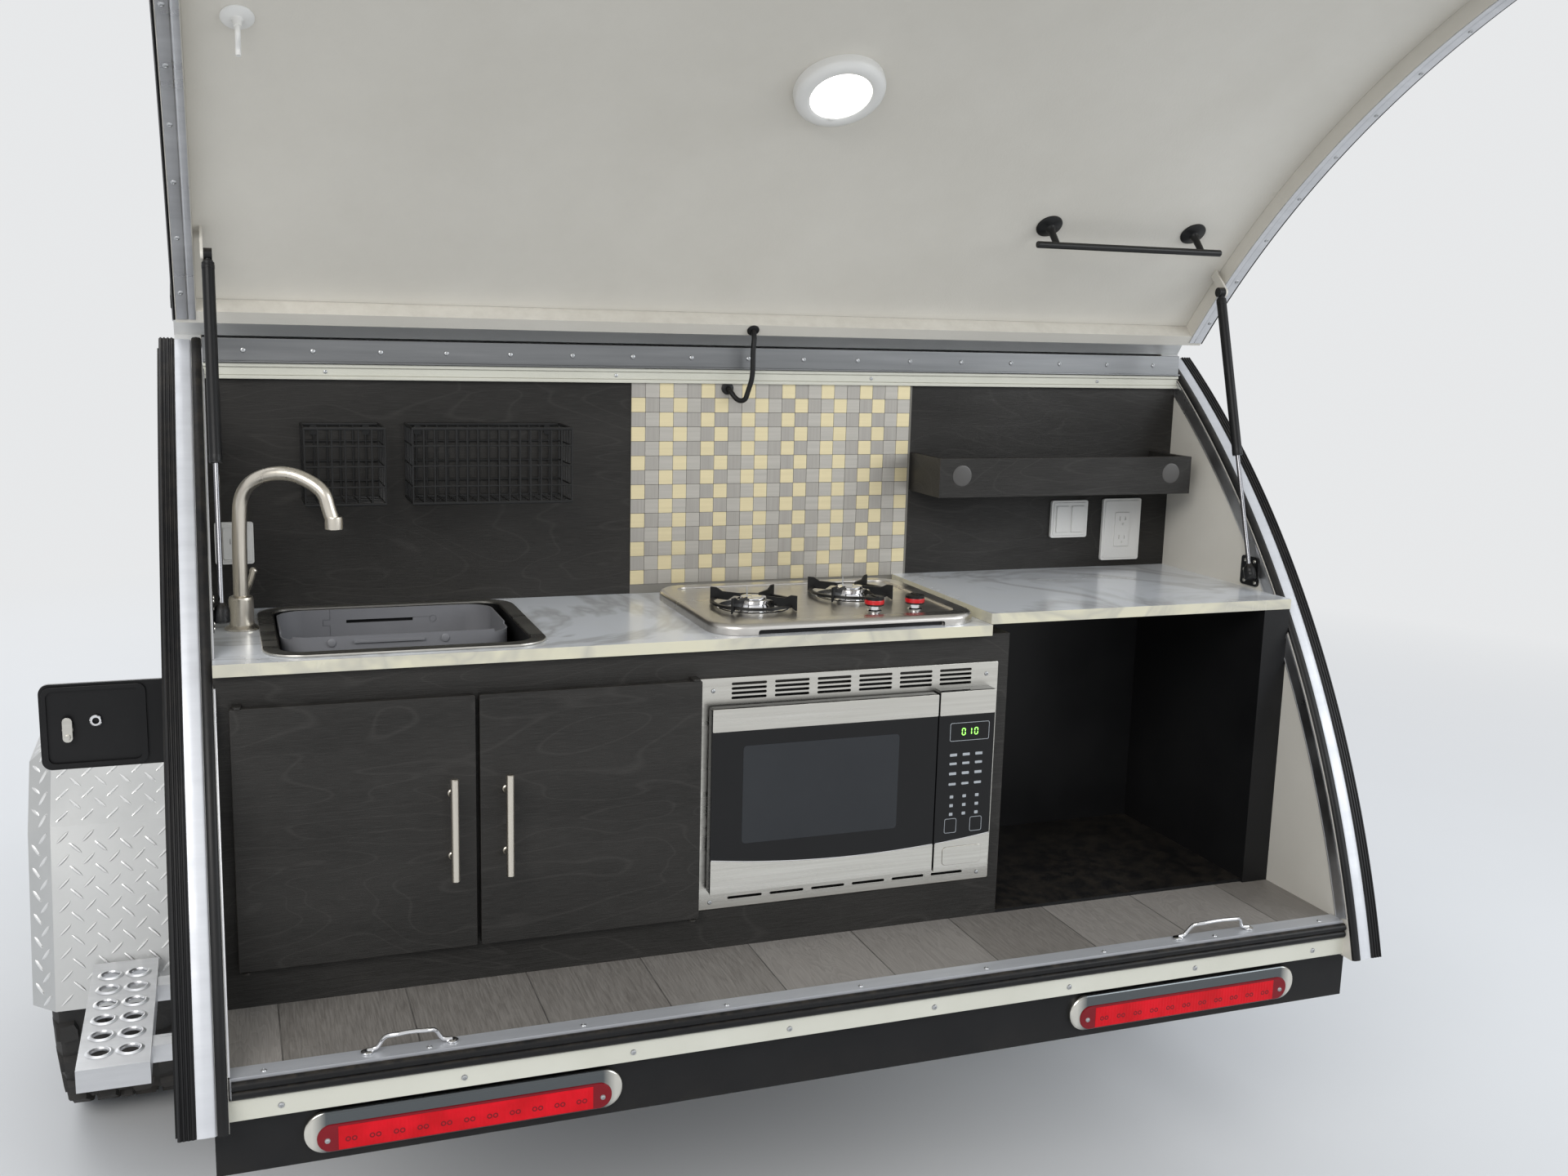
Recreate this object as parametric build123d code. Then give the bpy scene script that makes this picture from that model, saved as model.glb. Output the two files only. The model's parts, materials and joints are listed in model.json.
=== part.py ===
from build123d import *
import math
import os

# Teardrop trailer with a rear galley under a lifted hatch, parked on its wheels and tongue jack.
# Millimetres. X runs forward to the coupler, Y to the left, Z up.
# Pieces are laid out from the bumper's rear face (X = 0), the middle (Y = 0) and the galley floor
# (Z = 0), and are moved so that the part's origin is the centre of the coupler's ball socket.

# Body shell: the side profile is tangent arcs, each from one slope in degrees to the next
WALL_IN = 905.0
WALL_T = 40.0
WALL_OUT = WALL_IN + WALL_T
SILL_Z = -60.0
SKIN_T = 54.0
HINGE_X = 643.5
HINGE_Z = 948.0
HINGE_SLOPE = 36.7
REAR_R = 1860.0
ROOF_R = 1100.0
NOSE_R = 1900.0
CHIN_R = 750.0
NOSE_SLOPE = -45.0
CHIN_SLOPE = -85.0
DECK_REAR = -10.0
BULKHEAD_X = 590.0
BULKHEAD_T = 25.0
HEADER_H = 64.0
HEADER_LEAD = 5.0
HEADER_GAP = 6.7
HEADER_SLOPE = 35.1
HEADER_BEVEL = 36.0
HEADER_STEP = 12.0
VENT_HALF = 210.0
VENT_AHEAD = 60.0
VENT_RIM = 14.0
VENT_DOME = 48.0
VENT_STEP = 15.0

# Edge trims and the strip over the deck's rear edge
TRIM_BASE = 12.0
TRIM_RIB = 22.0
TRIM_LIP = 26.0
TRIM_DEEP = 62.0
STRIP_T = 3.0
STRIP_BACK = 14.0
STRIP_FRONT = 16.0

# Running gear
GROUND_Z = -636.0
TYRE_R = 366.0
TYRE_W = 235.0
TYRE_GAP = 45.0
BEAD_R = 192.0
BEAD_HALF = 82.0
BEAD_T = 22.0
TREAD_T = 26.0
LUG_PITCHES = 26
LUG_SHARE = 0.58
LUG_DEEP = 11.0
LUG_REACH = 34.0
LUG_W = 52.0
LUG_GROOVE = 21.0
RIM_W = 180.0
RIM_T = 12.0
RIM_LIP = 11.0
RIM_LIP_W = 7.0
WHEEL_DISC_T = 9.0
WHEEL_DISC_Y = 22.0
WHEEL_WINDOW_R = 27.0
WHEEL_WINDOW_AT = 118.0
SPINDLE_R = 16.0
SPINDLE_GAP = 0.3
HUB_R = 44.0
HUB_L = 110.0
AXLE_TUBE = 76.0
AXLE_LEAD = 150.0
AXLE_Z = -190.0
AXLE_SEAT = 30.0
ARM_T = 32.0
ARM_R = 42.0
ARM_IN = 70.0
DRUM_R = 125.0
DRUM_T = 6.0
WHEEL_X = 1310.0
WHEEL_Y = WALL_OUT + TYRE_GAP + TYRE_W / 2
WHEEL_Z = GROUND_Z + TYRE_R

# Fenders, from the wheel's centre, and steps
FENDER_SIDE = 20.0
FENDER_OUT = WHEEL_Y + TYRE_W / 2 + FENDER_SIDE
FENDER_T = 4.0
FENDER_BEVEL = 42.0
FENDER_FOOT = 410.0
FENDER_KNEE = 325.0
FENDER_SHOULDER = 220.0
FENDER_LOW = -15.0
FENDER_KNEE_Z = 310.0
FENDER_TOP = 445.0
FENDER_LIP = 66.0
STEP_REAR = 480.0
STEP_L = 418.0
STEP_OFF = 80.0
STEP_W = 110.0
STEP_TOP = -200.0
STEP_H = 38.0
STEP_T = 4.0
STEP_HOLE_R = 15.0
STEP_HOLE_X = 55.0
STEP_HOLE_Y = 32.0
STEP_PITCH = 61.0
STEP_HOLES = 6
STEP_ARM = 40.0
STEP_ARM_X = 70.0
STEP_ARM_LOW = 8.0
STEP_ARM_HIGH = 20.0
STEP_IN = WALL_OUT + STEP_OFF
STEP_OUT = STEP_IN + STEP_W
STEP_FRONT = STEP_REAR + STEP_L

# Chassis and tongue
TUBE_H = 79.0
TUBE_W = 50.0
TUBE_PAD = 2.5
RAIL_Y = 500.0
CROSS_REAR = 650.0
CROSS_MIDDLE = 1400.0
CROSS_FORE = 2100.0
BUMPER_SIDE = 21.0
LAMP_BAR_IN = 371.8
LAMP_BAR_L = 441.8
LAMP_BAR_H = 62.0
LAMP_BAR_OUT = 12.0
LAMP_BAR_DROP = 4.5
BALL_X = 4000.0
BALL_Z = -135.0
BALL_R = 25.4
BALL_CLEAR = 0.5
SKIRT = 18.0
COUPLER_W = 68.0
COUPLER_LIP = 6.0
COUPLER_HEAD = 34.0
COUPLER_TOP = 12.0
COUPLER_NECK = 190.0
COUPLER_CHEEK = 112.0
TONGUE_END = 130.0
JACK_BACK = 260.0
JACK_R = 28.5
JACK_WALL = 4.0
JACK_CLEAR = 0.6
JACK_TOP = 310.0
JACK_BOTTOM = -290.0
JACK_PLUG = 30.0
JACK_LEG_TOP = -110.0
JACK_FOOT = 160.0
JACK_FOOT_T = 8.0
JACK_PLATE_T = 8.0
JACK_PLATE_W = 125.0
JACK_PLATE_BACK = 90.0
JACK_PLATE_FRONT = 70.0
CRANK_R = 6.0
CRANK_L = 120.0
CRANK_GRIP = 84.0
TONGUE_BOX_GAP = 52.0
TONGUE_BOX_L = 400.0
TONGUE_BOX_HALF = 440.0
TONGUE_BOX_H = 340.0
TONGUE_BOX_T = 5.0
LID_H = 50.0
LID_GAP = 5.0
LID_PIN_R = 6.0
LID_KNUCKLE = 40.0
LID_MIDDLE = 60.0
LID_LEAF = 20.0
TUBE_TOP = SILL_Z - TUBE_PAD
TUBE_BOTTOM = TUBE_TOP - TUBE_H
JACK_X = BALL_X - JACK_BACK

# Galley
PANEL_T = 18.0
FACE_X = 200.0
OVERHANG = 14.0
COUNTER_TOP = 512.0
COUNTER_T = 18.0
COUNTER_SPLIT = -300.0
COUNTER_JOINT = 0.5
STEP_BACK = 6.0
BAY_LEFT = -340.0
BAY_RIGHT = -851.0
BAY_LINING = 6.0
MICRO_LEFT = 202.0
MICRO_RIGHT = -319.0
MICRO_LOW = 69.0
MICRO_TOP = 448.0
TRIM_T = 5.0
TRIM_LAP = 12.0
OVEN_SIDE = 14.0
OVEN_LOW = 30.0
OVEN_TOP = 40.0
OVEN_BACK = 40.0
OVEN_WALL = 24.0
OVEN_CHEEK = 16.0
CONTROL_W = 104.0
MICRO_DOOR_T = 18.0
MICRO_PIVOT_BACK = 13.0
DOOR_LOW = 62.5
DOOR_TOP = 449.0
DOOR_SPLIT = 546.0
DOOR_LEFT = 886.0
DOOR_GAP = 6.0
DOOR_LAP = 16.0
CLEAR = 5.0
DOOR_T = 15.0
PIVOT_IN = 10.0
PIVOT_BACK = 12.0
PIN_GAP = 0.5
TAB_T = 3.0
TAB_R = 6.0
PULL_L = 156.0
PULL_R = 6.0
PULL_OUT = 30.0
PULL_Z = 255.5
PULL_POST = 48.0
PULL_LEFT_IN = 35.5
PULL_RIGHT_IN = 38.6

# Sink, hob and tap on the counter
SINK_X0 = 203.0
SINK_X1 = 576.0
SINK_Y0 = 430.0
SINK_Y1 = 838.0
SINK_CORNER = 56.0
SINK_RIM = 20.0
SINK_HOLE = 14.0
SINK_DEPTH = 130.0
SINK_T = 3.0
HOB_X0 = 198.0
HOB_X1 = 566.0
HOB_Y0 = -288.0
HOB_Y1 = 176.0
HOB_CORNER = 55.0
HOB_T = 18.0
HOB_NOTCH = 12.0
HOB_NOTCH_H = 9.0
HOB_NOTCH_IN = 70.0
BURNER_R = 38.0
BURNER_H = 10.0
BURNER_LEFT_X = 352.0
BURNER_LEFT_Y = 62.0
BURNER_RIGHT_X = 412.0
BURNER_RIGHT_Y = -138.0
GRATE_R = 80.0
GRATE_IN = 30.0
GRATE_T = 4.0
GRATE_H = 24.0
KNOB_R = 16.0
KNOB_H = 22.0
KNOB_X = 272.0
KNOB_Y = -123.0
KNOB_PITCH = 74.0
TAP_X = 428.0
TAP_Y = 862.0
TAP_BASE_R = 19.0
TAP_BASE_H = 50.0
TAP_R = 11.0
TAP_RISE = 190.0
TAP_CROWN = 226.0
TAP_REACH = 66.0
TAP_SIDE = 128.0
TAP_DROP = 160.0
LEVER_R = 6.0

# Bulkhead fittings, each with its own place
SHELF_X = 465.0
SHELF_Y0 = -867.0
SHELF_Y1 = -330.0
SHELF_Z = 689.0
SHELF_H = 71.0
SHELF_LIP = 12.0
BASKET_D = 110.0
BASKET_Z = 690.0
BASKET_H = 125.0
BASKET_T = 3.0
PLATE_T = 6.0

# Entry doors, placed from the roof's crest
ENTRY_AFT = 449.0
ENTRY_HEAD = 316.0
ENTRY_W = 600.0
ENTRY_LOW = 60.0
ENTRY_CORNER = 120.0
ENTRY_GAP = 7.0
ENTRY_PIN_OUT = 9.0
ENTRY_KNUCKLE = 30.0
ENTRY_HINGE_LOW = 170.0
ENTRY_HINGE_HIGH = 200.0
ENTRY_LEAF = 45.0
ENTRY_ENDS = 22.0
PIN_R = 5.0
WINDOW_SIDE = 120.0
WINDOW_DROP = 110.0
WINDOW_H = 310.0
WINDOW_CORNER = 60.0
GLASS_T = 6.0
LATCH_IN = 30.0
LATCH_L = 90.0
LATCH_H = 80.0
LATCH_Z = 420.0
LATCH_T = 14.0

# Hatch and its struts; slopes in degrees place things along its arc
SEAL_GAP = 12.0
HATCH_OPEN = 87.0
HATCH_GAP_DEG = 0.18
HATCH_TIP_SLOPE = 73.0
PIVOT_OFF = 60.0
HATCH_INSET = 5.0
RECESS_SKIN = 12.0
RIM_CLEAR = 5.0
RIM_TIP_DEG = 1.3
RIM_ROOT_DEG = 0.7
HATCH_LAMP_SLOPE = 52.8
HATCH_LAMP_R = 70.0
HATCH_LAMP_T = 22.0
TOWEL_SLOPE = 44.6
TOWEL_OUT = 48.0
TOWEL_R = 6.0
TOWEL_Y0 = -835.0
TOWEL_Y1 = -455.0
TOWEL_FOOT_IN = 40.0
TOWEL_FOOT_R = 24.0
TOWEL_FOOT_T = 8.0
SEAT_GAP = 0.3
STRUT_Y = 890.0
STRUT_SLOPE = 41.7
STRUT_OFF = -10.0
STRUT_X = 293.0
STRUT_Z = 559.0
STRUT_BODY = 311.0
STRUT_R = 9.0
STRUT_BORE = 100.0
ROD_R = 4.0
ROD_CLEAR = 0.3
ROD_HOLD = 25.0
EYE_R = 9.0
EYE_T = 12.0
EAR_T = 4.0

# Utility hatch on the left wall
UTILITY_X = 450.0
UTILITY_L = 190.0
UTILITY_LOW = 303.0
UTILITY_H = 132.0
UTILITY_T = 6.0
UTILITY_CORNER = 15.0
UTILITY_FLANGE = 3.0
UTILITY_LAP = 14.0
UTILITY_WALL = 3.0
UTILITY_DEEP = 52.0
UTILITY_PIN_IN = 24.0
UTILITY_LEAF = 14.0
UTILITY_LATCH_R = 9.0
UTILITY_LATCH_IN = 38.0


def outward(slope):
    """The outward direction of the skin where it climbs at this slope."""
    a = math.radians(slope)
    return (-math.sin(a), math.cos(a))


def arc_table():
    """Rows of (centre x, centre z, radius, slope at its rear end, slope at its front end)."""
    n = outward(HINGE_SLOPE)
    x = HINGE_X - n[0] * REAR_R
    z = HINGE_Z - n[1] * REAR_R
    sill = math.degrees(math.acos((SILL_Z - z) / REAR_R))
    rows = [(x, z, REAR_R, sill, HINGE_SLOPE)]
    for radius, end in ((ROOF_R, 0.0), (NOSE_R, NOSE_SLOPE), (CHIN_R, CHIN_SLOPE)):
        x, z, before, first, last = rows[-1]
        n = outward(last)
        rows.append((x + n[0] * (before - radius), z + n[1] * (before - radius), radius, last, end))
    return rows


ARCS = arc_table()


def skin_point(slope, off):
    """The point (x, z) of the profile at a slope, moved outward by off."""
    row = next((r for r in ARCS if r[3] >= slope >= r[4]), None)
    if row is None:
        row = ARCS[0] if slope > ARCS[0][3] else ARCS[-1]
    n = outward(slope)
    return (row[0] + n[0] * (row[2] + off), row[1] + n[1] * (row[2] + off))


def foot_point(off):
    """Where the straight front below the chin meets the sill."""
    x, z = skin_point(CHIN_SLOPE, off)
    return (x + (z - SILL_Z) / math.tan(math.radians(-CHIN_SLOPE)), SILL_Z)


PIVOT = skin_point(HINGE_SLOPE, PIVOT_OFF)
CREST = skin_point(0, 0)
FRONT_FOOT = foot_point(0)[0]
TONGUE_BOX_X = foot_point(SKIN_T)[0] + TONGUE_BOX_GAP
ENTRY_REAR = CREST[0] + ENTRY_AFT
ENTRY_FRONT = ENTRY_REAR + ENTRY_W
ENTRY_TOP = CREST[1] - ENTRY_HEAD
ENTRY_PIN_X = ENTRY_FRONT + ENTRY_GAP / 2
ENTRY_PIN_Y = WALL_OUT + ENTRY_PIN_OUT
BULKHEAD_TOP = HINGE_Z - HEADER_H
UTILITY_PIN_X = UTILITY_X + PIN_R
UTILITY_PIN_Y = WALL_OUT + UTILITY_FLANGE + CLEAR + UTILITY_T / 2
COUNTER_X = FACE_X - OVERHANG
OVEN_FRONT = FACE_X - TRIM_T - CLEAR - MICRO_DOOR_T
OVEN_Y0 = MICRO_RIGHT + OVEN_SIDE
OVEN_Y1 = MICRO_LEFT - OVEN_SIDE
OVEN_Z0 = MICRO_LOW + OVEN_LOW
OVEN_Z1 = MICRO_TOP - OVEN_TOP
CAVITY_Y0 = OVEN_Y0 + CONTROL_W + OVEN_CHEEK - 8.0
CAVITY_Y1 = OVEN_Y1 - OVEN_CHEEK


def lifted_point(x, z):
    """A point of the closed hatch, where it is with the hatch open."""
    a = math.radians(HATCH_OPEN)
    dx = x - PIVOT[0]
    dz = z - PIVOT[1]
    return (PIVOT[0] + dx * math.cos(a) + dz * math.sin(a), PIVOT[1] - dx * math.sin(a) + dz * math.cos(a))


def lid_pin():
    """The tongue box lid's axis (x, z), along the box's rear top edge."""
    return (TONGUE_BOX_X - LID_PIN_R, TUBE_TOP + TONGUE_BOX_H + 1)


STRUT_TOP = lifted_point(*skin_point(STRUT_SLOPE, STRUT_OFF))


# Shapes used throughout

def span(x0, x1, y0, y1, z0, z1):
    """A box between two corners."""
    return Pos((x0 + x1) / 2, (y0 + y1) / 2, (z0 + z1) / 2) * Box(x1 - x0, y1 - y0, z1 - z0)


def slab_xz(x0, x1, z0, z1, r, y0, y1):
    """A round-cornered plate that faces sideways."""
    face = Plane.XZ * RectangleRounded(x1 - x0, z1 - z0, r)
    return extrude(Pos((x0 + x1) / 2, y0, (z0 + z1) / 2) * face, amount=y1 - y0, dir=(0, 1, 0))


def slab_yz(y0, y1, z0, z1, r, x0, x1):
    """A round-cornered plate that faces forward."""
    face = Plane.YZ * RectangleRounded(y1 - y0, z1 - z0, r)
    return extrude(Pos(x0, (y0 + y1) / 2, (z0 + z1) / 2) * face, amount=x1 - x0, dir=(1, 0, 0))


def slab_xy(x0, x1, y0, y1, r, z0, z1):
    """A round-cornered plate that lies flat."""
    face = RectangleRounded(x1 - x0, y1 - y0, r)
    return extrude(Pos((x0 + x1) / 2, (y0 + y1) / 2, z0) * face, amount=z1 - z0, dir=(0, 0, 1))


def bar(start, end, r):
    """A round bar from one point to another."""
    along = Vector(*end) - Vector(*start)
    lined = Plane(origin=start, z_dir=along)
    return lined * Cylinder(r, along.length, align=(Align.CENTER, Align.CENTER, Align.MIN))


def line_xz(a, b):
    return Line((a[0], 0, a[1]), (b[0], 0, b[1]))


def prism(edges, y0, y1):
    """A prism across the trailer from a closed run of edges in the XZ plane."""
    face = make_face(edges)
    return Pos(0, y0, 0) * extrude(face, amount=y1 - y0, dir=(0, 1, 0))


def polygon_xz(points, y0, y1):
    """A prism across the trailer from corners given as (x, z)."""
    corners = [(x, 0, z) for x, z in points]
    return prism(Polyline(*corners, close=True), y0, y1)


def turned(points):
    """A ring about the wheel's axle from corners given as (radius, y)."""
    face = make_face(Polyline(*[(r, y, 0) for r, y in points], close=True))
    return revolve(face, Axis.Y, 360)


def mirrored(shape):
    """The same shape on the right side."""
    return mirror(shape, about=Plane.XZ)


def pair(shape):
    """The shape and its mirror image, as two solids of one node."""
    return Compound(children=[shape, mirrored(shape)])


def skin_arcs(first, last, off):
    """The profile's arcs from one slope down to another, moved outward by off."""
    arcs = []
    for x, z, radius, rear, front in ARCS:
        a = first if rear == ARCS[0][3] else min(first, rear)
        b = max(last, front)
        if a <= b:
            continue
        points = []
        for slope in (a, (a + b) / 2, b):
            n = outward(slope)
            points.append((x + n[0] * (radius + off), 0, z + n[1] * (radius + off)))
        arcs.append(ThreePointArc(*points))
    return arcs


def band(first, last, inner, outer, y0, y1, to_sill=False):
    """A curved panel between two offsets of the profile."""
    edges = skin_arcs(first, last, inner) + skin_arcs(first, last, outer)
    edges.append(line_xz(skin_point(first, inner), skin_point(first, outer)))
    if to_sill:
        edges.append(line_xz(skin_point(last, inner), foot_point(inner)))
        edges.append(line_xz(skin_point(last, outer), foot_point(outer)))
        edges.append(line_xz(foot_point(inner), foot_point(outer)))
    else:
        edges.append(line_xz(skin_point(last, inner), skin_point(last, outer)))
    return prism(edges, y0, y1)


def lifted(shape):
    """A piece of the closed hatch, turned up to where the hatch stands open."""
    return shape.rotate(Axis((PIVOT[0], 0, PIVOT[1]), (0, 1, 0)), HATCH_OPEN)


# Shell panels

def entry_cut(y0, y1, grow):
    return slab_xz(ENTRY_REAR - grow, ENTRY_FRONT + grow, ENTRY_LOW - grow, ENTRY_TOP + grow,
                   ENTRY_CORNER + grow, y0, y1)


def entry_hinge_heights():
    return (ENTRY_LOW + ENTRY_HINGE_LOW, ENTRY_TOP - ENTRY_HINGE_HIGH)


def side_wall():
    """The left wall: the whole profile with the entry door cut out, and its hinge knuckles."""
    edges = skin_arcs(ARCS[0][3], CHIN_SLOPE, 0)
    rear_foot = skin_point(ARCS[0][3], 0)
    edges.append(line_xz(skin_point(CHIN_SLOPE, 0), foot_point(0)))
    edges.append(line_xz(foot_point(0), rear_foot))
    wall = prism(edges, WALL_IN, WALL_OUT)
    wall -= entry_cut(WALL_IN - 1, WALL_OUT + 1, ENTRY_GAP)
    x, y = ENTRY_PIN_X, ENTRY_PIN_Y
    near = ENTRY_KNUCKLE + PIN_GAP
    far = ENTRY_KNUCKLE + ENTRY_ENDS
    web = PIN_R - 2
    for z in entry_hinge_heights():
        for z0, z1 in ((z - far, z - near), (z + near, z + far)):
            wall += bar((x, y, z0), (x, y, z1), PIN_R)
            wall += span(x + ENTRY_GAP, x + ENTRY_LEAF, WALL_OUT, WALL_OUT + PIN_R, z0, z1)
            wall += span(x, x + ENTRY_GAP + 1, y - web, y + web, z0, z1)
            wall += span(x + ENTRY_GAP, x + ENTRY_GAP + 8, WALL_OUT, y + web, z0, z1)
    return wall


def utility_hole(y0, y1, grow):
    return slab_xz(UTILITY_X - UTILITY_L - grow, UTILITY_X + grow, UTILITY_LOW - grow,
                   UTILITY_LOW + UTILITY_H + grow, UTILITY_CORNER, y0, y1)


def utility_box():
    """A flanged pocket in the left wall behind the utility hatch, with its hinge pins."""
    flange = utility_hole(WALL_OUT, WALL_OUT + UTILITY_FLANGE, 4)
    pocket = utility_hole(WALL_OUT - UTILITY_DEEP, WALL_OUT, -UTILITY_LAP)
    space = utility_hole(WALL_OUT - UTILITY_DEEP + UTILITY_WALL, WALL_OUT + UTILITY_FLANGE + 1,
                         -UTILITY_LAP - UTILITY_WALL)
    box = flange + pocket - space
    x, y = UTILITY_PIN_X, UTILITY_PIN_Y
    top = UTILITY_LOW + UTILITY_H
    inset = UTILITY_PIN_IN - PIN_GAP
    for z0, z1 in ((UTILITY_LOW - 2, UTILITY_LOW + inset), (top - inset, top + 2)):
        box += bar((x, y, z0), (x, y, z1), PIN_R)
        box += span(x, x + UTILITY_LEAF, WALL_OUT, y, z0, z1)
        box += span(x - 6, x + UTILITY_LEAF, WALL_OUT, WALL_OUT + UTILITY_FLANGE, z0, z1)
    return box


def utility_door():
    """Closed over its flange, then swung open to face the rear."""
    y0 = WALL_OUT + UTILITY_FLANGE + CLEAR
    x = UTILITY_PIN_X
    z0 = UTILITY_LOW + UTILITY_PIN_IN
    z1 = UTILITY_LOW + UTILITY_H - UTILITY_PIN_IN
    plate = utility_hole(y0, y0 + UTILITY_T, 0)
    pin = bar((x, UTILITY_PIN_Y, z0), (x, UTILITY_PIN_Y, z1), PIN_R)
    web = span(UTILITY_X - 10, x, y0, y0 + UTILITY_T, z0, z1)
    latch_x = UTILITY_X - UTILITY_L + UTILITY_LATCH_IN
    latch_z = UTILITY_LOW + UTILITY_H / 2
    latch = bar((latch_x, y0 - 4, latch_z), (latch_x, y0, latch_z), UTILITY_LATCH_R)
    door = plate + pin + web + latch
    return door.rotate(Axis((x, UTILITY_PIN_Y, 0), (0, 0, 1)), -90)


def floor_deck():
    lean = -SILL_Z / math.tan(math.radians(-CHIN_SLOPE))
    return span(DECK_REAR, FRONT_FOOT - lean, -WALL_IN, WALL_IN, SILL_Z, 0)


def threshold():
    """The angle strip along the deck's rear edge."""
    y = WALL_IN - 2
    top = span(-STRIP_BACK, STRIP_FRONT, -y, y, 0, STRIP_T)
    drop = span(-STRIP_BACK, DECK_REAR, -y, y, SILL_Z + 2, STRIP_T)
    return top + drop


def rear_trims():
    """Ribbed edge trims outside both walls, along the curved rear edge."""
    ribs = ((-TRIM_DEEP, 2, TRIM_BASE), (-54, -40, TRIM_RIB), (-32, -18, TRIM_LIP), (-12, 2, TRIM_RIB))
    trim = None
    for inner, outer, proud in ribs:
        strip = band(ARCS[0][3], HINGE_SLOPE + 0.3, inner, outer, WALL_OUT, WALL_OUT + proud)
        trim = strip if trim is None else trim + strip
    return pair(trim)


def bulkhead():
    return span(BULKHEAD_X, BULKHEAD_X + BULKHEAD_T, -WALL_IN, WALL_IN, 0, BULKHEAD_TOP)


def galley_header():
    """The beam over the bulkhead, under the hatch's hinge."""
    rear = BULKHEAD_X - HEADER_LEAD
    front = skin_point(HEADER_SLOPE, -HEADER_GAP)
    ridge = skin_point(HINGE_SLOPE, -HEADER_GAP)
    flat = ridge[1] - HEADER_STEP
    points = ((rear, BULKHEAD_TOP), (front[0], BULKHEAD_TOP), front, ridge,
              (ridge[0] - HEADER_BEVEL, flat), (rear, flat))
    return polygon_xz(points, -WALL_IN, WALL_IN)


def roof_vent():
    """A low vent over the cabin."""
    top = skin_point(0, SKIN_T)[1]
    x = CREST[0] + VENT_AHEAD
    rim_top = top + VENT_RIM
    inner = VENT_HALF - VENT_STEP
    frame = slab_xy(x - VENT_HALF, x + VENT_HALF, -VENT_HALF, VENT_HALF, 30, top - 22, rim_top)
    dome = slab_xy(x - inner, x + inner, -inner, inner, 40, rim_top, rim_top + VENT_DOME)
    roof = band(HINGE_SLOPE - 10, NOSE_SLOPE, 0, SKIN_T, -VENT_HALF - 90, VENT_HALF + 90)
    return frame + dome - roof


# Hatch

def hatch_shell():
    """A curved panel with a rim that is thicker than its middle, its hinge and its strut ears."""
    first = HATCH_TIP_SLOPE
    last = HINGE_SLOPE + HATCH_GAP_DEG
    half = WALL_OUT - HATCH_INSET
    inside = SKIN_T - RECESS_SKIN
    panel = band(first, last, SEAL_GAP, SKIN_T, -half, half)
    rim = WALL_IN + RIM_CLEAR
    pocket = band(first - RIM_TIP_DEG, last + RIM_ROOT_DEG, SEAL_GAP - 1, inside, -rim, rim)
    n = outward(HINGE_SLOPE)
    knuckle = bar((PIVOT[0], -WALL_IN, PIVOT[1]), (PIVOT[0], WALL_IN, PIVOT[1]), PIN_R)
    root = skin_point(last + 0.4, SKIN_T - 2)
    leaf = polygon_xz([(PIVOT[0], PIVOT[1] + 2), (PIVOT[0], PIVOT[1] - 2), root,
                       (root[0] + 4 * n[0], root[1] + 4 * n[1])], -WALL_IN, WALL_IN)
    top = skin_point(STRUT_SLOPE, inside + 2)
    ball = skin_point(STRUT_SLOPE, STRUT_OFF)
    y0 = STRUT_Y + EYE_T / 2 + PIN_GAP
    ear = bar((top[0], y0 + 2, top[1]), (ball[0], y0 + 2, ball[1]), EYE_R)
    ear &= span(0, HINGE_X, y0, y0 + EAR_T, 0, PIVOT[1])
    ear += bar((ball[0], y0, ball[1]), (ball[0], y0 + EAR_T, ball[1]), EYE_R)
    return lifted(panel - pocket + knuckle + leaf + ear + mirrored(ear))


def hatch_lamp():
    """A flat ring lamp on the hatch's inner face."""
    sag = HATCH_LAMP_R ** 2 / (2 * REAR_R)
    x, z = skin_point(HATCH_LAMP_SLOPE, SKIN_T - RECESS_SKIN - sag - SEAT_GAP)
    n = outward(HATCH_LAMP_SLOPE)
    t = HATCH_LAMP_T
    return lifted(bar((x, 0, z), (x - t * n[0], 0, z - t * n[1]), HATCH_LAMP_R))


def towel_bar():
    """A rail on two round feet."""
    x, z = skin_point(TOWEL_SLOPE, SKIN_T - RECESS_SKIN - SEAT_GAP - 0.1)
    n = outward(TOWEL_SLOPE)
    t = TOWEL_FOOT_T
    px, pz = x - TOWEL_OUT * n[0], z - TOWEL_OUT * n[1]
    rail = bar((px, TOWEL_Y0, pz), (px, TOWEL_Y1, pz), TOWEL_R)
    for y in (TOWEL_Y0 + TOWEL_FOOT_IN, TOWEL_Y1 - TOWEL_FOOT_IN):
        rail += bar((x, y, z), (x - t * n[0], y, z - t * n[1]), TOWEL_FOOT_R)
        rail += bar((x, y, z), (px, y, pz), TOWEL_R + 1)
    return lifted(rail)


def strut_line():
    """The strut's length between its eyes, and its direction downward."""
    dx = STRUT_X - STRUT_TOP[0]
    dz = STRUT_Z - STRUT_TOP[1]
    length = math.hypot(dx, dz)
    return length, dx / length, dz / length


def on_strut(along, side):
    length, ux, uz = strut_line()
    return (STRUT_TOP[0] + ux * along, side * STRUT_Y, STRUT_TOP[1] + uz * along)


def strut_eye(along, side):
    x, y, z = on_strut(along, side)
    return bar((x, y - EYE_T / 2, z), (x, y + EYE_T / 2, z), EYE_R)


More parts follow.
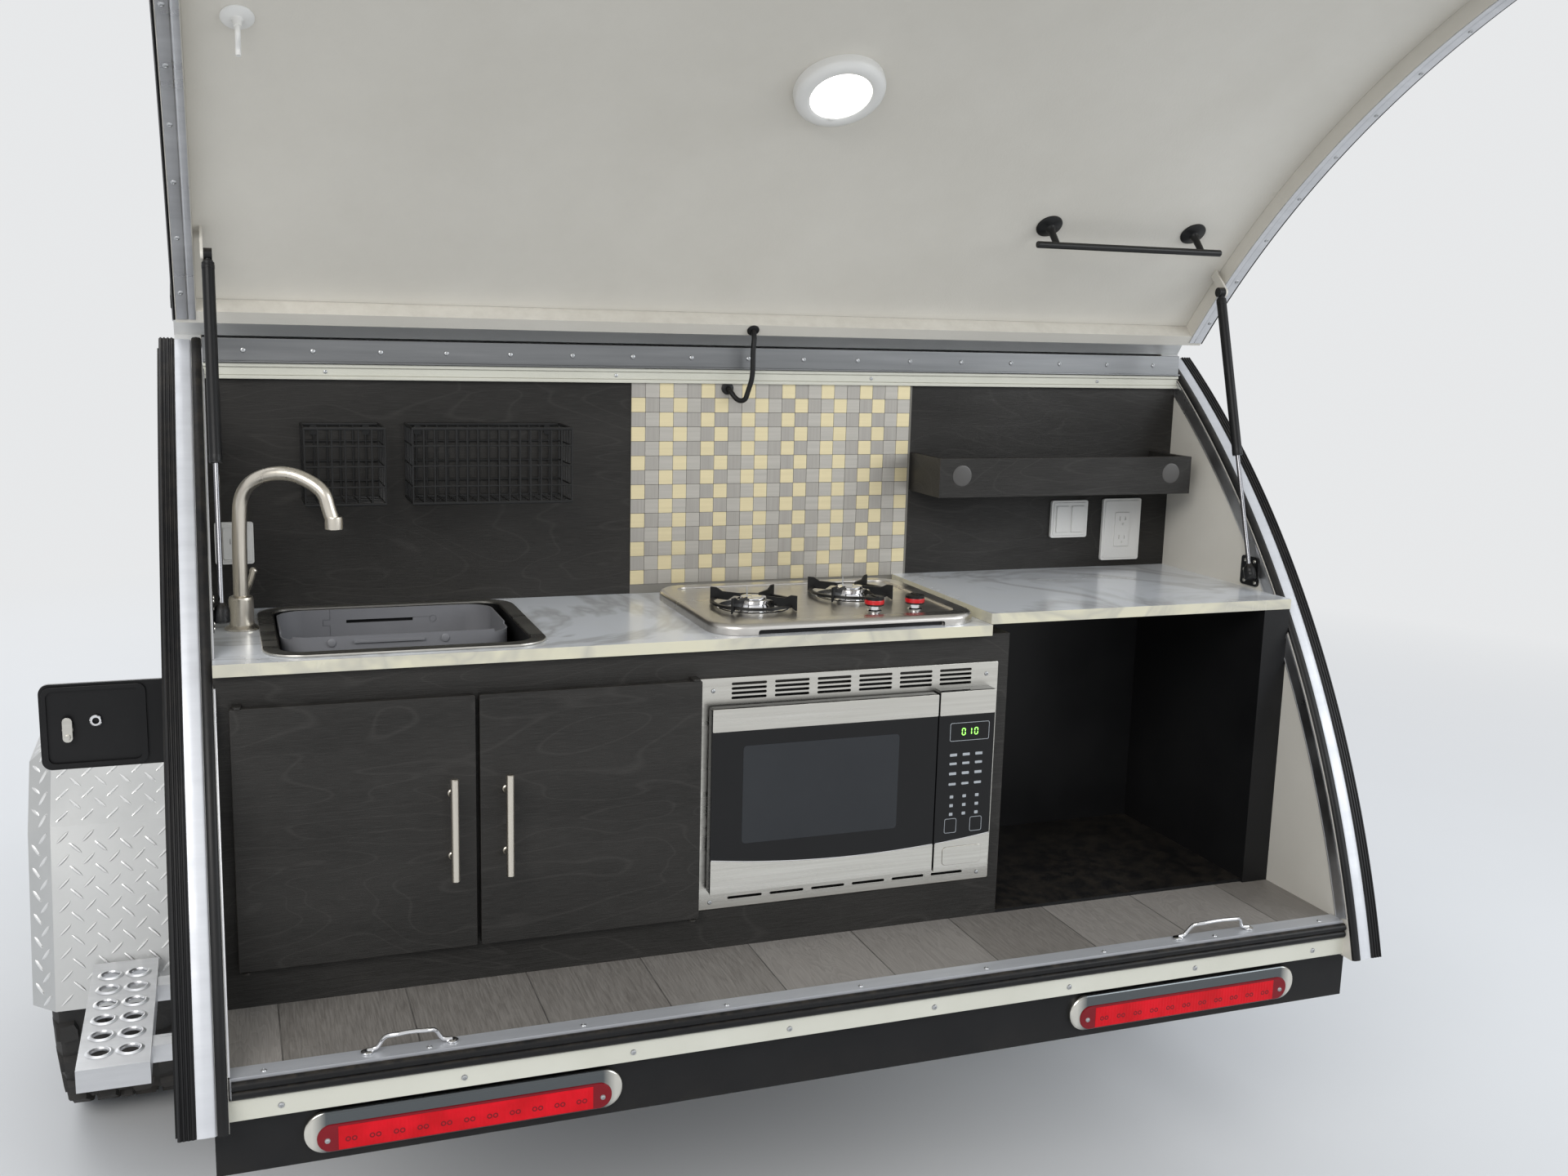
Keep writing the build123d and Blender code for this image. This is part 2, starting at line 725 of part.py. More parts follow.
def strut_cylinder(side):
    """The gas cylinder, hung from the hatch's bracket."""
    tube = bar(on_strut(EYE_R + 4, side), on_strut(STRUT_BODY, side), STRUT_R)
    tube += bar(on_strut(0, side), on_strut(EYE_R + 6, side), ROD_R + 1)
    tube -= bar(on_strut(STRUT_BORE, side), on_strut(STRUT_BODY + 1, side), ROD_R + ROD_CLEAR)
    return tube + strut_eye(0, side)


def strut_rod(side):
    """The polished rod with its eye by the wall's stud."""
    length = strut_line()[0]
    rod = bar(on_strut(STRUT_BODY - ROD_HOLD, side), on_strut(length, side), ROD_R)
    return rod + strut_eye(length, side)


def strut_brackets():
    """A plate and stud on each wall for the struts' lower eyes."""
    y0 = WALL_IN - 4
    plate = slab_xz(STRUT_X - 8, STRUT_X + 42, STRUT_Z - 24, STRUT_Z + 30, 6, y0, WALL_IN)
    inner = STRUT_Y + EYE_T / 2 + PIN_GAP
    stud = bar((STRUT_X, WALL_IN - 2, STRUT_Z), (STRUT_X, inner, STRUT_Z), PIN_R)
    return pair(plate + stud)


# Running gear

def on_tyre(radius, y, turn):
    """A point of the tyre at a share of a turn from its foot."""
    a = 2 * math.pi * turn
    return Vector(radius * math.sin(a), y, -radius * math.cos(a))


def tyre():
    """An off-road tyre about its own axle: shoulder lugs in turn at left and right, and a middle rib."""
    half = TYRE_W / 2
    tip = TYRE_R
    floor = tip - LUG_DEEP
    inner = half - LUG_W
    bore = BEAD_R / math.cos(math.pi * max(LUG_SHARE, 1 - LUG_SHARE) / LUG_PITCHES)
    side = [(bore, BEAD_HALF), (BEAD_R + 13, BEAD_HALF), (BEAD_R + 40, half - 2), (BEAD_R + 95, half),
            (tip - LUG_REACH, half - 8)]
    lug = [(tip - 8, half - 12), (tip, half - 24), (tip, inner), (floor, inner)]
    gap = [(floor, half - 26), (floor, inner)]
    rib = [(floor, inner - LUG_GROOVE), (tip, inner - LUG_GROOVE - 3)]
    raised = side + lug + rib
    sunk = side + gap + rib
    end = [side[-1]] + lug + [gap[0]]
    faces = []
    for k in range(LUG_PITCHES):
        turns = [(k + share) / LUG_PITCHES for share in (0, LUG_SHARE, 1)]
        for first, last, left, right in ((turns[0], turns[1], raised, sunk), (turns[1], turns[2], sunk, raised)):
            loop = left + [(r, -y) for r, y in reversed(right)]
            for (r0, y0), (r1, y1) in zip(loop, loop[1:] + loop[:1]):
                corners = ((r0, y0, first), (r1, y1, first), (r1, y1, last), (r0, y0, last))
                faces.append(Face(Wire.make_polygon([on_tyre(*c) for c in corners], close=True)))
            for way in (1, -1):
                faces.append(Face(Wire.make_polygon([on_tyre(r, way * y, first) for r, y in end], close=True)))
    depth = BEAD_HALF - BEAD_T
    hollow = Plane.XZ * RegularPolygon(floor - TREAD_T, LUG_PITCHES)
    return Solid(Shell(faces)) - extrude(Pos(0, -depth, 0) * hollow, amount=2 * depth, dir=(0, 1, 0))


def rim():
    """A pressed steel wheel with round windows and its hub."""
    half = RIM_W / 2
    lip = BEAD_R + RIM_LIP
    ring = turned([(BEAD_R - RIM_T, -half), (lip, -half), (lip, -half + RIM_LIP_W),
                   (BEAD_R, -half + RIM_LIP_W), (BEAD_R, half - RIM_LIP_W), (lip, half - RIM_LIP_W),
                   (lip, half), (BEAD_R - RIM_T, half)])
    disc = Pos(0, WHEEL_DISC_Y, 0) * (Plane.XZ * Cylinder(BEAD_R - RIM_T + 1, WHEEL_DISC_T))
    hub = Pos(0, -10, 0) * (Plane.XZ * Cylinder(HUB_R, HUB_L))
    wheel = ring + disc + hub
    windows = 8
    for i in range(windows):
        a = math.radians((i + 0.5) * 360 / windows)
        x, z = WHEEL_WINDOW_AT * math.cos(a), WHEEL_WINDOW_AT * math.sin(a)
        wheel -= Pos(x, WHEEL_DISC_Y, z) * (Plane.XZ * Cylinder(WHEEL_WINDOW_R, 2 * WHEEL_DISC_T + 2))
    bore = Pos(0, -30, 0) * (Plane.XZ * Cylinder(SPINDLE_R + SPINDLE_GAP, HUB_L - 20))
    return wheel - bore


def at_wheel(shape, side):
    placed = Pos(WHEEL_X, WHEEL_Y, WHEEL_Z) * shape
    return placed if side > 0 else mirrored(placed)


def axle_beam():
    """A rubber-sprung axle: square tube, trailing arms, spindles and brake shields."""
    tube_x = WHEEL_X + AXLE_LEAD
    arm_in = WHEEL_Y - TYRE_W / 2 - ARM_IN
    half = AXLE_TUBE / 2
    beam = span(tube_x - half, tube_x + half, -arm_in, arm_in, AXLE_Z - half, AXLE_Z + half)
    for y in (-RAIL_Y, RAIL_Y):
        beam += span(tube_x - half - 20, tube_x + half + 20, y - AXLE_SEAT, y + AXLE_SEAT,
                     AXLE_Z + half, TUBE_BOTTOM)
    y0 = arm_in - 2
    y1 = arm_in + ARM_T
    arm = bar((WHEEL_X, y0, WHEEL_Z), (WHEEL_X, y1, WHEEL_Z), ARM_R)
    arm += bar((tube_x, y0, AXLE_Z), (tube_x, y1, AXLE_Z), ARM_R)
    dx, dz = WHEEL_X - tube_x, WHEEL_Z - AXLE_Z
    wide = ARM_R * 0.8 / math.hypot(dx, dz)
    ox, oz = -dz * wide, dx * wide
    arm += polygon_xz([(tube_x + ox, AXLE_Z + oz), (WHEEL_X + ox, WHEEL_Z + oz),
                       (WHEEL_X - ox, WHEEL_Z - oz), (tube_x - ox, AXLE_Z - oz)], y0, y1)
    arm += bar((WHEEL_X, y1 - 1, WHEEL_Z), (WHEEL_X, WHEEL_Y + 10, WHEEL_Z), SPINDLE_R)
    arm += bar((WHEEL_X, y1, WHEEL_Z), (WHEEL_X, y1 + DRUM_T, WHEEL_Z), DRUM_R)
    return beam + arm + mirrored(arm)


def fender_profile(inset, drop):
    """The fender's outline about its wheel, moved in by inset and down at its feet by drop."""
    half = [(FENDER_FOOT - inset, FENDER_LOW - drop), (FENDER_KNEE - 0.75 * inset, FENDER_KNEE_Z - inset / 2),
            (FENDER_SHOULDER - inset / 2, FENDER_TOP - inset)]
    outline = [(-x, z) for x, z in half] + list(reversed(half))
    return [(WHEEL_X + x, WHEEL_Z + z) for x, z in outline]


def bevelled(shape, y, size):
    """The shape with its outer edges at y chamfered, apart from those along its feet."""
    low = WHEEL_Z + FENDER_LOW + 1
    edges = [e for e in shape.edges() if abs(e.center().Y - y) < 0.1 and e.center().Z > low]
    return chamfer(edges, size)


def fender():
    """A folded sheet over the left wheel, bevelled along its outer edge."""
    t = FENDER_T
    shell = bevelled(polygon_xz(fender_profile(0, 0), WALL_OUT, FENDER_OUT), FENDER_OUT, FENDER_BEVEL)
    space = polygon_xz(fender_profile(t, t + 1), WALL_OUT - 1, FENDER_OUT - t)
    space = bevelled(space, FENDER_OUT - t, FENDER_BEVEL - 0.6 * t)
    mouth = polygon_xz(fender_profile(FENDER_LIP, t + 1), WALL_OUT, FENDER_OUT + 1)
    return shell - space - mouth


def step():
    """A perforated channel behind the wheel, on two arms from the chassis."""
    low = STEP_TOP - STEP_H
    tread = span(STEP_REAR, STEP_FRONT, STEP_IN, STEP_OUT, low, STEP_TOP)
    tread -= span(STEP_REAR + STEP_T, STEP_FRONT - STEP_T, STEP_IN + STEP_T, STEP_OUT - STEP_T,
                  low - 1, STEP_TOP - STEP_T)
    for i in range(STEP_HOLES):
        for y in (STEP_IN + STEP_HOLE_Y, STEP_OUT - STEP_HOLE_Y):
            tread -= Pos(STEP_REAR + STEP_HOLE_X + i * STEP_PITCH, y, STEP_TOP) * Cylinder(STEP_HOLE_R, 20)
    for x in (STEP_REAR + STEP_ARM_X, STEP_FRONT - STEP_ARM_X - STEP_ARM):
        inner = RAIL_Y - STEP_ARM / 2
        tread += span(x, x + STEP_ARM, inner, STEP_IN + 2, low, STEP_TOP - STEP_ARM_LOW)
        tread += span(x, x + STEP_ARM, inner, RAIL_Y + STEP_ARM / 2, STEP_TOP - STEP_ARM_HIGH, TUBE_BOTTOM)
    return tread


# Chassis

def chassis_frame():
    """Two rails under the deck with cross tubes."""
    frame = None
    for y in (-RAIL_Y, RAIL_Y):
        rail = span(TUBE_W, FRONT_FOOT - TUBE_W, y - TUBE_W / 2, y + TUBE_W / 2, TUBE_BOTTOM, TUBE_TOP)
        frame = rail if frame is None else frame + rail
    for x in (CROSS_REAR, CROSS_MIDDLE, CROSS_FORE, FRONT_FOOT - TUBE_W):
        frame += span(x, x + TUBE_W, -WALL_IN, WALL_IN, TUBE_BOTTOM, TUBE_TOP)
        frame += span(x, x + TUBE_W, -RAIL_Y, RAIL_Y, TUBE_TOP, SILL_Z)
    return frame


def bumper():
    half = WALL_OUT - BUMPER_SIDE
    return span(0, TUBE_W, -half, half, TUBE_BOTTOM, TUBE_TOP)


def tail_lamps():
    """Long round-ended lamps on the bumper's rear face."""
    top = TUBE_TOP - LAMP_BAR_DROP
    lamp = slab_yz(LAMP_BAR_IN, LAMP_BAR_IN + LAMP_BAR_L, top - LAMP_BAR_H, top,
                   LAMP_BAR_H / 2 - 2, -LAMP_BAR_OUT, 0)
    return pair(lamp)


def tongue_frame():
    """Two tubes that meet at the coupler, with the jack's plate across them."""
    end_x = BALL_X - TONGUE_END
    end_y = COUPLER_W / 2 - 4
    tube = None
    for side in (-1, 1):
        a = Vector(FRONT_FOOT, side * (RAIL_Y - 10), 0)
        b = Vector(end_x, side * end_y, 0)
        d = (b - a).normalized()
        n = Vector(-d.Y, d.X, 0) * (TUBE_W / 2)
        face = make_face(Polyline(*[(p.X, p.Y, 0) for p in (a + n, b + n, b - n, a - n)], close=True))
        rail = Pos(0, 0, TUBE_BOTTOM) * extrude(face, amount=TUBE_H, dir=(0, 0, 1))
        tube = rail if tube is None else tube + rail
    tube -= span(0, FRONT_FOOT, -WALL_OUT, WALL_OUT, TUBE_BOTTOM - 1, TUBE_TOP + 1)
    plate = span(JACK_X - JACK_PLATE_BACK, JACK_X + JACK_PLATE_FRONT, -JACK_PLATE_W, JACK_PLATE_W,
                 TUBE_TOP, TUBE_TOP + JACK_PLATE_T)
    plate -= Pos(JACK_X, 0, TUBE_TOP) * Cylinder(JACK_R, 4 * JACK_PLATE_T)
    return tube + plate


def coupler():
    """The socket that drops over a ball, with its latch lever."""
    w = COUPLER_W / 2
    top = TUBE_TOP + COUPLER_TOP
    head_h = SKIRT + COUPLER_HEAD
    head = Pos(BALL_X, 0, BALL_Z - SKIRT + head_h / 2) * Cylinder(w + COUPLER_LIP, head_h)
    neck = span(BALL_X - COUPLER_NECK, BALL_X, -w, w, TUBE_TOP, top)
    cheeks = span(BALL_X - COUPLER_CHEEK, BALL_X - 20, -w, w, BALL_Z - SKIRT, top)
    lever = span(BALL_X - 150, BALL_X - 50, -10, 10, top, top + SKIRT)
    socket_r = BALL_R + BALL_CLEAR
    socket = Pos(BALL_X, 0, BALL_Z - SKIRT) * Cylinder(socket_r, 2 * SKIRT)
    socket += Pos(BALL_X, 0, BALL_Z) * Sphere(socket_r)
    return head + neck + cheeks + lever - socket


def jack_tube():
    """The jack's outer tube with its crank."""
    tube = bar((JACK_X, 0, JACK_BOTTOM), (JACK_X, 0, JACK_TOP), JACK_R)
    tube -= bar((JACK_X, 0, JACK_BOTTOM - 1), (JACK_X, 0, JACK_TOP - JACK_PLUG), JACK_R - JACK_WALL)
    half = 1.5 * CRANK_R
    crank = span(JACK_X - half, JACK_X + half, -2 * CRANK_R, CRANK_L + 14, JACK_TOP, JACK_TOP + CRANK_R)
    grip = bar((JACK_X, CRANK_L, JACK_TOP + CRANK_R), (JACK_X, CRANK_L, JACK_TOP + CRANK_R + CRANK_GRIP),
               CRANK_R + 4)
    return tube + crank + grip


def jack_leg():
    """The inner tube and foot, down on the ground."""
    r = JACK_R - JACK_WALL - JACK_CLEAR
    leg = bar((JACK_X, 0, GROUND_Z + 2), (JACK_X, 0, JACK_LEG_TOP), r)
    half = JACK_FOOT / 2
    foot = slab_xy(JACK_X - half, JACK_X + half, -half, half, 20, GROUND_Z, GROUND_Z + JACK_FOOT_T)
    return leg + foot


def tongue_box():
    x0 = TONGUE_BOX_X
    x1 = x0 + TONGUE_BOX_L
    y = TONGUE_BOX_HALF
    t = TONGUE_BOX_T
    top = TUBE_TOP + TONGUE_BOX_H
    box = span(x0, x1, -y, y, TUBE_TOP, top)
    box -= span(x0 + t, x1 - t, -y + t, y - t, TUBE_TOP + t, top + 1)
    x, z = lid_pin()
    for y0, y1 in ((-y, -y + LID_KNUCKLE), (-LID_MIDDLE, LID_MIDDLE), (y - LID_KNUCKLE, y)):
        box += bar((x, y0, z), (x, y1, z), LID_PIN_R)
        box += span(x, x0 + 1, y0, y1, z - 2 * LID_LEAF, z - 1)
    return box


def tongue_lid():
    z0 = TUBE_TOP + TONGUE_BOX_H + LID_GAP
    x0 = TONGUE_BOX_X
    x1 = x0 + TONGUE_BOX_L
    y = TONGUE_BOX_HALF
    t = TONGUE_BOX_T
    lid = span(x0, x1, -y, y, z0, z0 + LID_H)
    lid -= span(x0 + t, x1 - t, -y + t, y - t, z0 - 1, z0 + LID_H - t)
    x, z = lid_pin()
    near = LID_MIDDLE + PIN_GAP
    far = y - LID_KNUCKLE - PIN_GAP
    for y0, y1 in ((-far, -near), (near, far)):
        lid += bar((x, y0, z), (x, y1, z), LID_PIN_R)
        lid += span(x - LID_PIN_R + 2, x + 2, y0, y1, z, z0 + LID_LEAF)
        lid += span(x - LID_PIN_R + 2, x0 + 1, y0, y1, z0 + 2, z0 + LID_LEAF)
    return lid


# Galley pieces

def pivot_tabs(y, low, top, seat_x, back):
    """Two flat tabs that carry a slab door's pivots, under and over its corner."""
    x = seat_x - CLEAR - back
    tabs = None
    for z0, z1 in ((low - PIN_GAP - TAB_T, low - PIN_GAP), (top + PIN_GAP, top + PIN_GAP + TAB_T)):
        tab = span(x, seat_x, y - TAB_R, y + TAB_R, z0, z1) + bar((x, y, z0), (x, y, z1), TAB_R)
        tabs = tab if tabs is None else tabs + tab
    return tabs


def cabinet_frame():
    """The face frame, dividers and base board under the counter."""
    low = COUNTER_TOP - COUNTER_T
    divider = MICRO_LEFT - 2
    face = span(FACE_X, FACE_X + PANEL_T, BAY_LEFT, WALL_IN, 0, low)
    for y0, y1 in ((DOOR_SPLIT + 14, DOOR_LEFT - DOOR_LAP), (divider + PANEL_T + 4, DOOR_SPLIT - 14)):
        face -= span(FACE_X - 1, FACE_X + PANEL_T + 1, y0, y1, DOOR_LOW + DOOR_LAP, DOOR_TOP - DOOR_LAP)
    face -= span(FACE_X - 1, FACE_X + PANEL_T + 1, MICRO_RIGHT + TRIM_LAP, MICRO_LEFT - TRIM_LAP,
                 MICRO_LOW + TRIM_LAP, MICRO_TOP - TRIM_LAP)
    x0 = FACE_X + PANEL_T
    for y in (BAY_LEFT, divider, WALL_IN - PANEL_T):
        face += span(x0, BULKHEAD_X, y, y + PANEL_T, 0, low)
    face += span(x0, BULKHEAD_X, BAY_LEFT, WALL_IN, DOOR_LOW - PANEL_T, DOOR_LOW)
    for y in (DOOR_LEFT - PIVOT_IN, MICRO_LEFT + PIVOT_IN):
        face += pivot_tabs(y, DOOR_LOW, DOOR_TOP, FACE_X, PIVOT_BACK)
    return face - utility_hole(WALL_IN - PANEL_T - 1, WALL_IN + 1, SEAT_GAP + 0.2 - UTILITY_LAP)


def cooler_bay():
    """The black-lined open bay at the right."""
    t = BAY_LINING
    wall = BAY_RIGHT - PANEL_T
    back = span(BULKHEAD_X - t, BULKHEAD_X, BAY_RIGHT, BAY_LEFT, t, COUNTER_TOP)
    base = span(FACE_X, BULKHEAD_X, BAY_RIGHT, BAY_LEFT, 0, t)
    side = span(FACE_X - t, BULKHEAD_X, wall, BAY_RIGHT, 0, COUNTER_TOP)
    stile = span(FACE_X - t, FACE_X + PANEL_T, -WALL_IN, wall, 0, COUNTER_TOP)
    return back + base + side + stile


def cabinet_door(y0, y1, pull_y):
    """A slab door with its bar pull."""
    x1 = FACE_X - CLEAR
    x0 = x1 - DOOR_T
    out = x0 - PULL_OUT
    door = slab_yz(y0, y1, DOOR_LOW, DOOR_TOP, 3, x0, x1)
    door += bar((out, pull_y, PULL_Z - PULL_L / 2), (out, pull_y, PULL_Z + PULL_L / 2), PULL_R)
    for z in (PULL_Z - PULL_POST, PULL_Z + PULL_POST):
        door += bar((out, pull_y, z), (x0 + 1, pull_y, z), PULL_R - 1)
    return door


def counter_left():
    z0 = COUNTER_TOP - COUNTER_T
    h = SINK_HOLE
    slab = span(COUNTER_X, BULKHEAD_X, COUNTER_SPLIT, WALL_IN, z0, COUNTER_TOP)
    return slab - slab_xy(SINK_X0 + h, SINK_X1 - h, SINK_Y0 + h, SINK_Y1 - h, SINK_CORNER - h,
                          z0 - 1, COUNTER_TOP + 1)


def counter_right():
    return span(COUNTER_X + STEP_BACK, BULKHEAD_X, -WALL_IN, COUNTER_SPLIT - COUNTER_JOINT, COUNTER_TOP,
                COUNTER_TOP + COUNTER_T)


def sink():
    """A flat-rimmed basin dropped into the counter."""
    low = COUNTER_TOP - SINK_DEPTH
    rim_plate = slab_xy(SINK_X0, SINK_X1, SINK_Y0, SINK_Y1, SINK_CORNER, COUNTER_TOP, COUNTER_TOP + SINK_T)
    a = SINK_RIM
    b = SINK_RIM + SINK_T
    bowl = slab_xy(SINK_X0 + a, SINK_X1 - a, SINK_Y0 + a, SINK_Y1 - a, SINK_CORNER - a, low, COUNTER_TOP)
    space = slab_xy(SINK_X0 + b, SINK_X1 - b, SINK_Y0 + b, SINK_Y1 - b, SINK_CORNER - b, low + SINK_T,
                    COUNTER_TOP + SINK_T + 1)
    return rim_plate + bowl - space


def cooktop():
    """A two-burner hob on the counter, with its grates and knobs."""
    z = COUNTER_TOP
    top = z + HOB_T
    hob = slab_xy(HOB_X0, HOB_X1, HOB_Y0, HOB_Y1, HOB_CORNER, z, top)
    hob -= span(HOB_X0 - 1, HOB_X0 + HOB_NOTCH, HOB_Y0 + HOB_NOTCH_IN, HOB_Y1 - HOB_NOTCH_IN,
                z - 1, z + HOB_NOTCH_H)
    for x, y in ((BURNER_LEFT_X, BURNER_LEFT_Y), (BURNER_RIGHT_X, BURNER_RIGHT_Y)):
        hob += bar((x, y, top - 1), (x, y, top + BURNER_H), BURNER_R)
        arm = span(GRATE_IN, GRATE_R, -GRATE_T / 2, GRATE_T / 2, -1, GRATE_H)
        for k in range(4):
            hob += Pos(x, y, top) * Rot(0, 0, 45 + 90 * k) * arm
    for y in (KNOB_Y, KNOB_Y - KNOB_PITCH):
        hob += bar((KNOB_X, y, top - 1), (KNOB_X, y, top + KNOB_H), KNOB_R)
    return hob


def faucet():
    """A swan-neck tap behind the sink's left corner."""
    x, y, z = TAP_X, TAP_Y, COUNTER_TOP
    base = bar((x, y, z), (x, y, z + TAP_BASE_H), TAP_BASE_R)
    reach, side = TAP_REACH, TAP_SIDE
    neck = [(x, y, z + TAP_BASE_H - 10), (x, y, z + TAP_RISE),
            (x - reach / 2, y - side / 2, z + TAP_CROWN), (x - reach, y - side, z + TAP_RISE),
            (x - reach - 4, y - side - 8, z + TAP_DROP)]
    path = FilletPolyline(*neck, radius=[40, 45, 18])
    tube = sweep(Plane(origin=neck[0], z_dir=(0, 0, 1)) * Circle(TAP_R), path=path)
    high = z + TAP_BASE_H - 4
    lever = bar((x, y, high), (x + 60, y - 20, high + 32), LEVER_R)
    return base + tube + lever


def microwave_case():
    """The trim frame, the oven box behind it and its control panel."""
    trim = slab_yz(MICRO_RIGHT, MICRO_LEFT, MICRO_LOW, MICRO_TOP, 3, FACE_X - TRIM_T, FACE_X)
    oven = span(FACE_X - 2, BULKHEAD_X - OVEN_BACK, OVEN_Y0, OVEN_Y1, OVEN_Z0, OVEN_Z1)
    panel = slab_yz(OVEN_Y0, OVEN_Y0 + CONTROL_W - 1, OVEN_Z0, OVEN_Z1, 4, OVEN_FRONT, FACE_X - TRIM_T)
    cavity = span(FACE_X - TRIM_T - 1, BULKHEAD_X - OVEN_BACK - 20, CAVITY_Y0, CAVITY_Y1,
                  OVEN_Z0 + OVEN_WALL, OVEN_Z1 - OVEN_WALL)
    low, high = micro_door_z()
    tabs = pivot_tabs(OVEN_Y1 - TAB_R, low, high, FACE_X - TRIM_T, MICRO_PIVOT_BACK)
    return trim + oven + panel - cavity + tabs


def micro_door_z():
    edge = TAB_T + PIN_GAP
    return (OVEN_Z0 + edge, OVEN_Z1 - edge)


def microwave_door():
    low, high = micro_door_z()
    x1 = FACE_X - TRIM_T - CLEAR
    return slab_yz(OVEN_Y0 + CONTROL_W, OVEN_Y1, low, high, 4, x1 - MICRO_DOOR_T, x1)


def bulkhead_shelf():
    """A tray shelf on the bulkhead with upright edges."""
    floor = SHELF_Z + PANEL_T
    top = SHELF_Z + SHELF_H
    board = span(SHELF_X, BULKHEAD_X, SHELF_Y0, SHELF_Y1, SHELF_Z, floor)
    board += span(SHELF_X, SHELF_X + SHELF_LIP, SHELF_Y0, SHELF_Y1, floor, top)
    for y in (SHELF_Y0, SHELF_Y1 - SHELF_LIP):
        board += span(SHELF_X, BULKHEAD_X, y, y + SHELF_LIP, floor, top)
    return board


# Each basket's right and left side
BASKETS = ((635.0, 765.0), (335.0, 600.0))


def wire_baskets():
    """Two open baskets on the bulkhead."""
    t = BASKET_T
    x0 = BULKHEAD_X - BASKET_D
    top = BASKET_Z + BASKET_H
    shells = []
    for y0, y1 in BASKETS:
        shell = span(x0, BULKHEAD_X, y0, y1, BASKET_Z, top)
        shells.append(shell - span(x0 + t, BULKHEAD_X - t, y0 + t, y1 - t, BASKET_Z + t, top + 1))
    return Compound(children=shells)


# Each plate's right side, left side, foot and top
PLATES = ((-718, -637, 591, 664), (-841, -754, 543, 666), (838, 897, 587, 655))


def wall_plates():
    """Switch and socket plates on the bulkhead."""
    x0 = BULKHEAD_X - PLATE_T
    return Compound(children=[slab_yz(*row, 4, x0, BULKHEAD_X) for row in PLATES])


# Entry doors

def window_box():
    """The entry window's sides and heights."""
    top = ENTRY_TOP - WINDOW_DROP
    return (ENTRY_REAR + WINDOW_SIDE, ENTRY_FRONT - WINDOW_SIDE, top - WINDOW_H, top)


def entry_door():
    """The left door, as thick as its wall, with its window cut out."""
    door = entry_cut(WALL_IN, WALL_OUT, 0)
    door -= slab_xz(*window_box(), WINDOW_CORNER, WALL_IN - 1, WALL_OUT + 1)
    x, y = ENTRY_PIN_X, ENTRY_PIN_Y
    web = PIN_R - 2
    for z in entry_hinge_heights():
        z0, z1 = z - ENTRY_KNUCKLE, z + ENTRY_KNUCKLE
        door += bar((x, y, z0), (x, y, z1), PIN_R)
        door += span(x - ENTRY_LEAF - 5, x - 8, WALL_OUT, y + 2, z0, z1)
        door += span(x - 9, x, y - web, y + web, z0, z1)
    x0 = ENTRY_REAR + LATCH_IN
    return door + slab_xz(x0, x0 + LATCH_L, LATCH_Z, LATCH_Z + LATCH_H, 10, WALL_OUT, WALL_OUT + LATCH_T)


def entry_window():
    middle = (WALL_IN + WALL_OUT) / 2
    return slab_xz(*window_box(), WINDOW_CORNER, middle - GLASS_T / 2, middle + GLASS_T / 2)


def build():
    """Every node by name."""
    left_wall = side_wall()
    nodes = {
        "chassis_frame": chassis_frame(),
        "tongue_frame": tongue_frame(),
        "coupler": coupler(),
        "jack_tube": jack_tube(),
        "axle_beam": axle_beam(),
        "bumper": bumper(),
        "tail_lamps": tail_lamps(),
        "floor_deck": floor_deck(),
        "side_wall_left": left_wall - utility_hole(WALL_IN - 1, WALL_OUT + 1,
                                                   SEAT_GAP + 0.2 - UTILITY_LAP),
        "side_wall_right": mirrored(left_wall),
        "roof_shell": band(HINGE_SLOPE - HATCH_GAP_DEG, NOSE_SLOPE, 0, SKIN_T, -WALL_OUT, WALL_OUT),
        "front_panel": band(NOSE_SLOPE, CHIN_SLOPE, 0, SKIN_T, -WALL_OUT, WALL_OUT, to_sill=True),
        "bulkhead": bulkhead(),
        "galley_header": galley_header(),
        "rear_trims": rear_trims(),
        "threshold": threshold(),
        "utility_box": utility_box(),
        "cabinet_frame": cabinet_frame(),
        "cooler_bay": cooler_bay(),
        "counter_left": counter_left(),
        "counter_right": counter_right(),
        "sink": sink(),
        "cooktop": cooktop(),
        "faucet": faucet(),
        "microwave_case": microwave_case(),
        "shelf": bulkhead_shelf(),
        "wire_baskets": wire_baskets(),
        "wall_plates": wall_plates(),
        "strut_brackets": strut_brackets(),
        "roof_vent": roof_vent(),
        "tongue_box": tongue_box(),
        "tongue_lid": tongue_lid(),
        "jack_leg": jack_leg(),
        "hatch_shell": hatch_shell(),
        "hatch_lamp": hatch_lamp(),
        "towel_bar": towel_bar(),
        "utility_door": utility_door(),
        "cabinet_door_left": cabinet_door(DOOR_SPLIT + DOOR_GAP / 2, DOOR_LEFT,
                                          DOOR_SPLIT + DOOR_GAP / 2 + PULL_LEFT_IN),
        "cabinet_door_right": cabinet_door(MICRO_LEFT, DOOR_SPLIT - DOOR_GAP / 2,
                                           DOOR_SPLIT - DOOR_GAP / 2 - PULL_RIGHT_IN),
        "microwave_door": microwave_door(),
        "fenders": pair(fender()),
        "steps": pair(step()),
    }
    door = entry_door()
    glass = entry_window()
    for name, side in (("left", 1), ("right", -1)):
        nodes["tyre_" + name] = at_wheel(tyre(), side)
        nodes["rim_" + name] = at_wheel(rim(), side)
        nodes["entry_door_" + name] = door if side > 0 else mirrored(door)
        nodes["entry_window_" + name] = glass if side > 0 else mirrored(glass)
        nodes["strut_cylinder_" + name] = strut_cylinder(side)
        nodes["strut_rod_" + name] = strut_rod(side)
    return nodes


os.makedirs("parts", exist_ok=True)
for node, shape in build().items():
    export_step(Pos(-BALL_X, 0, -BALL_Z) * shape, "parts/" + node + ".step")
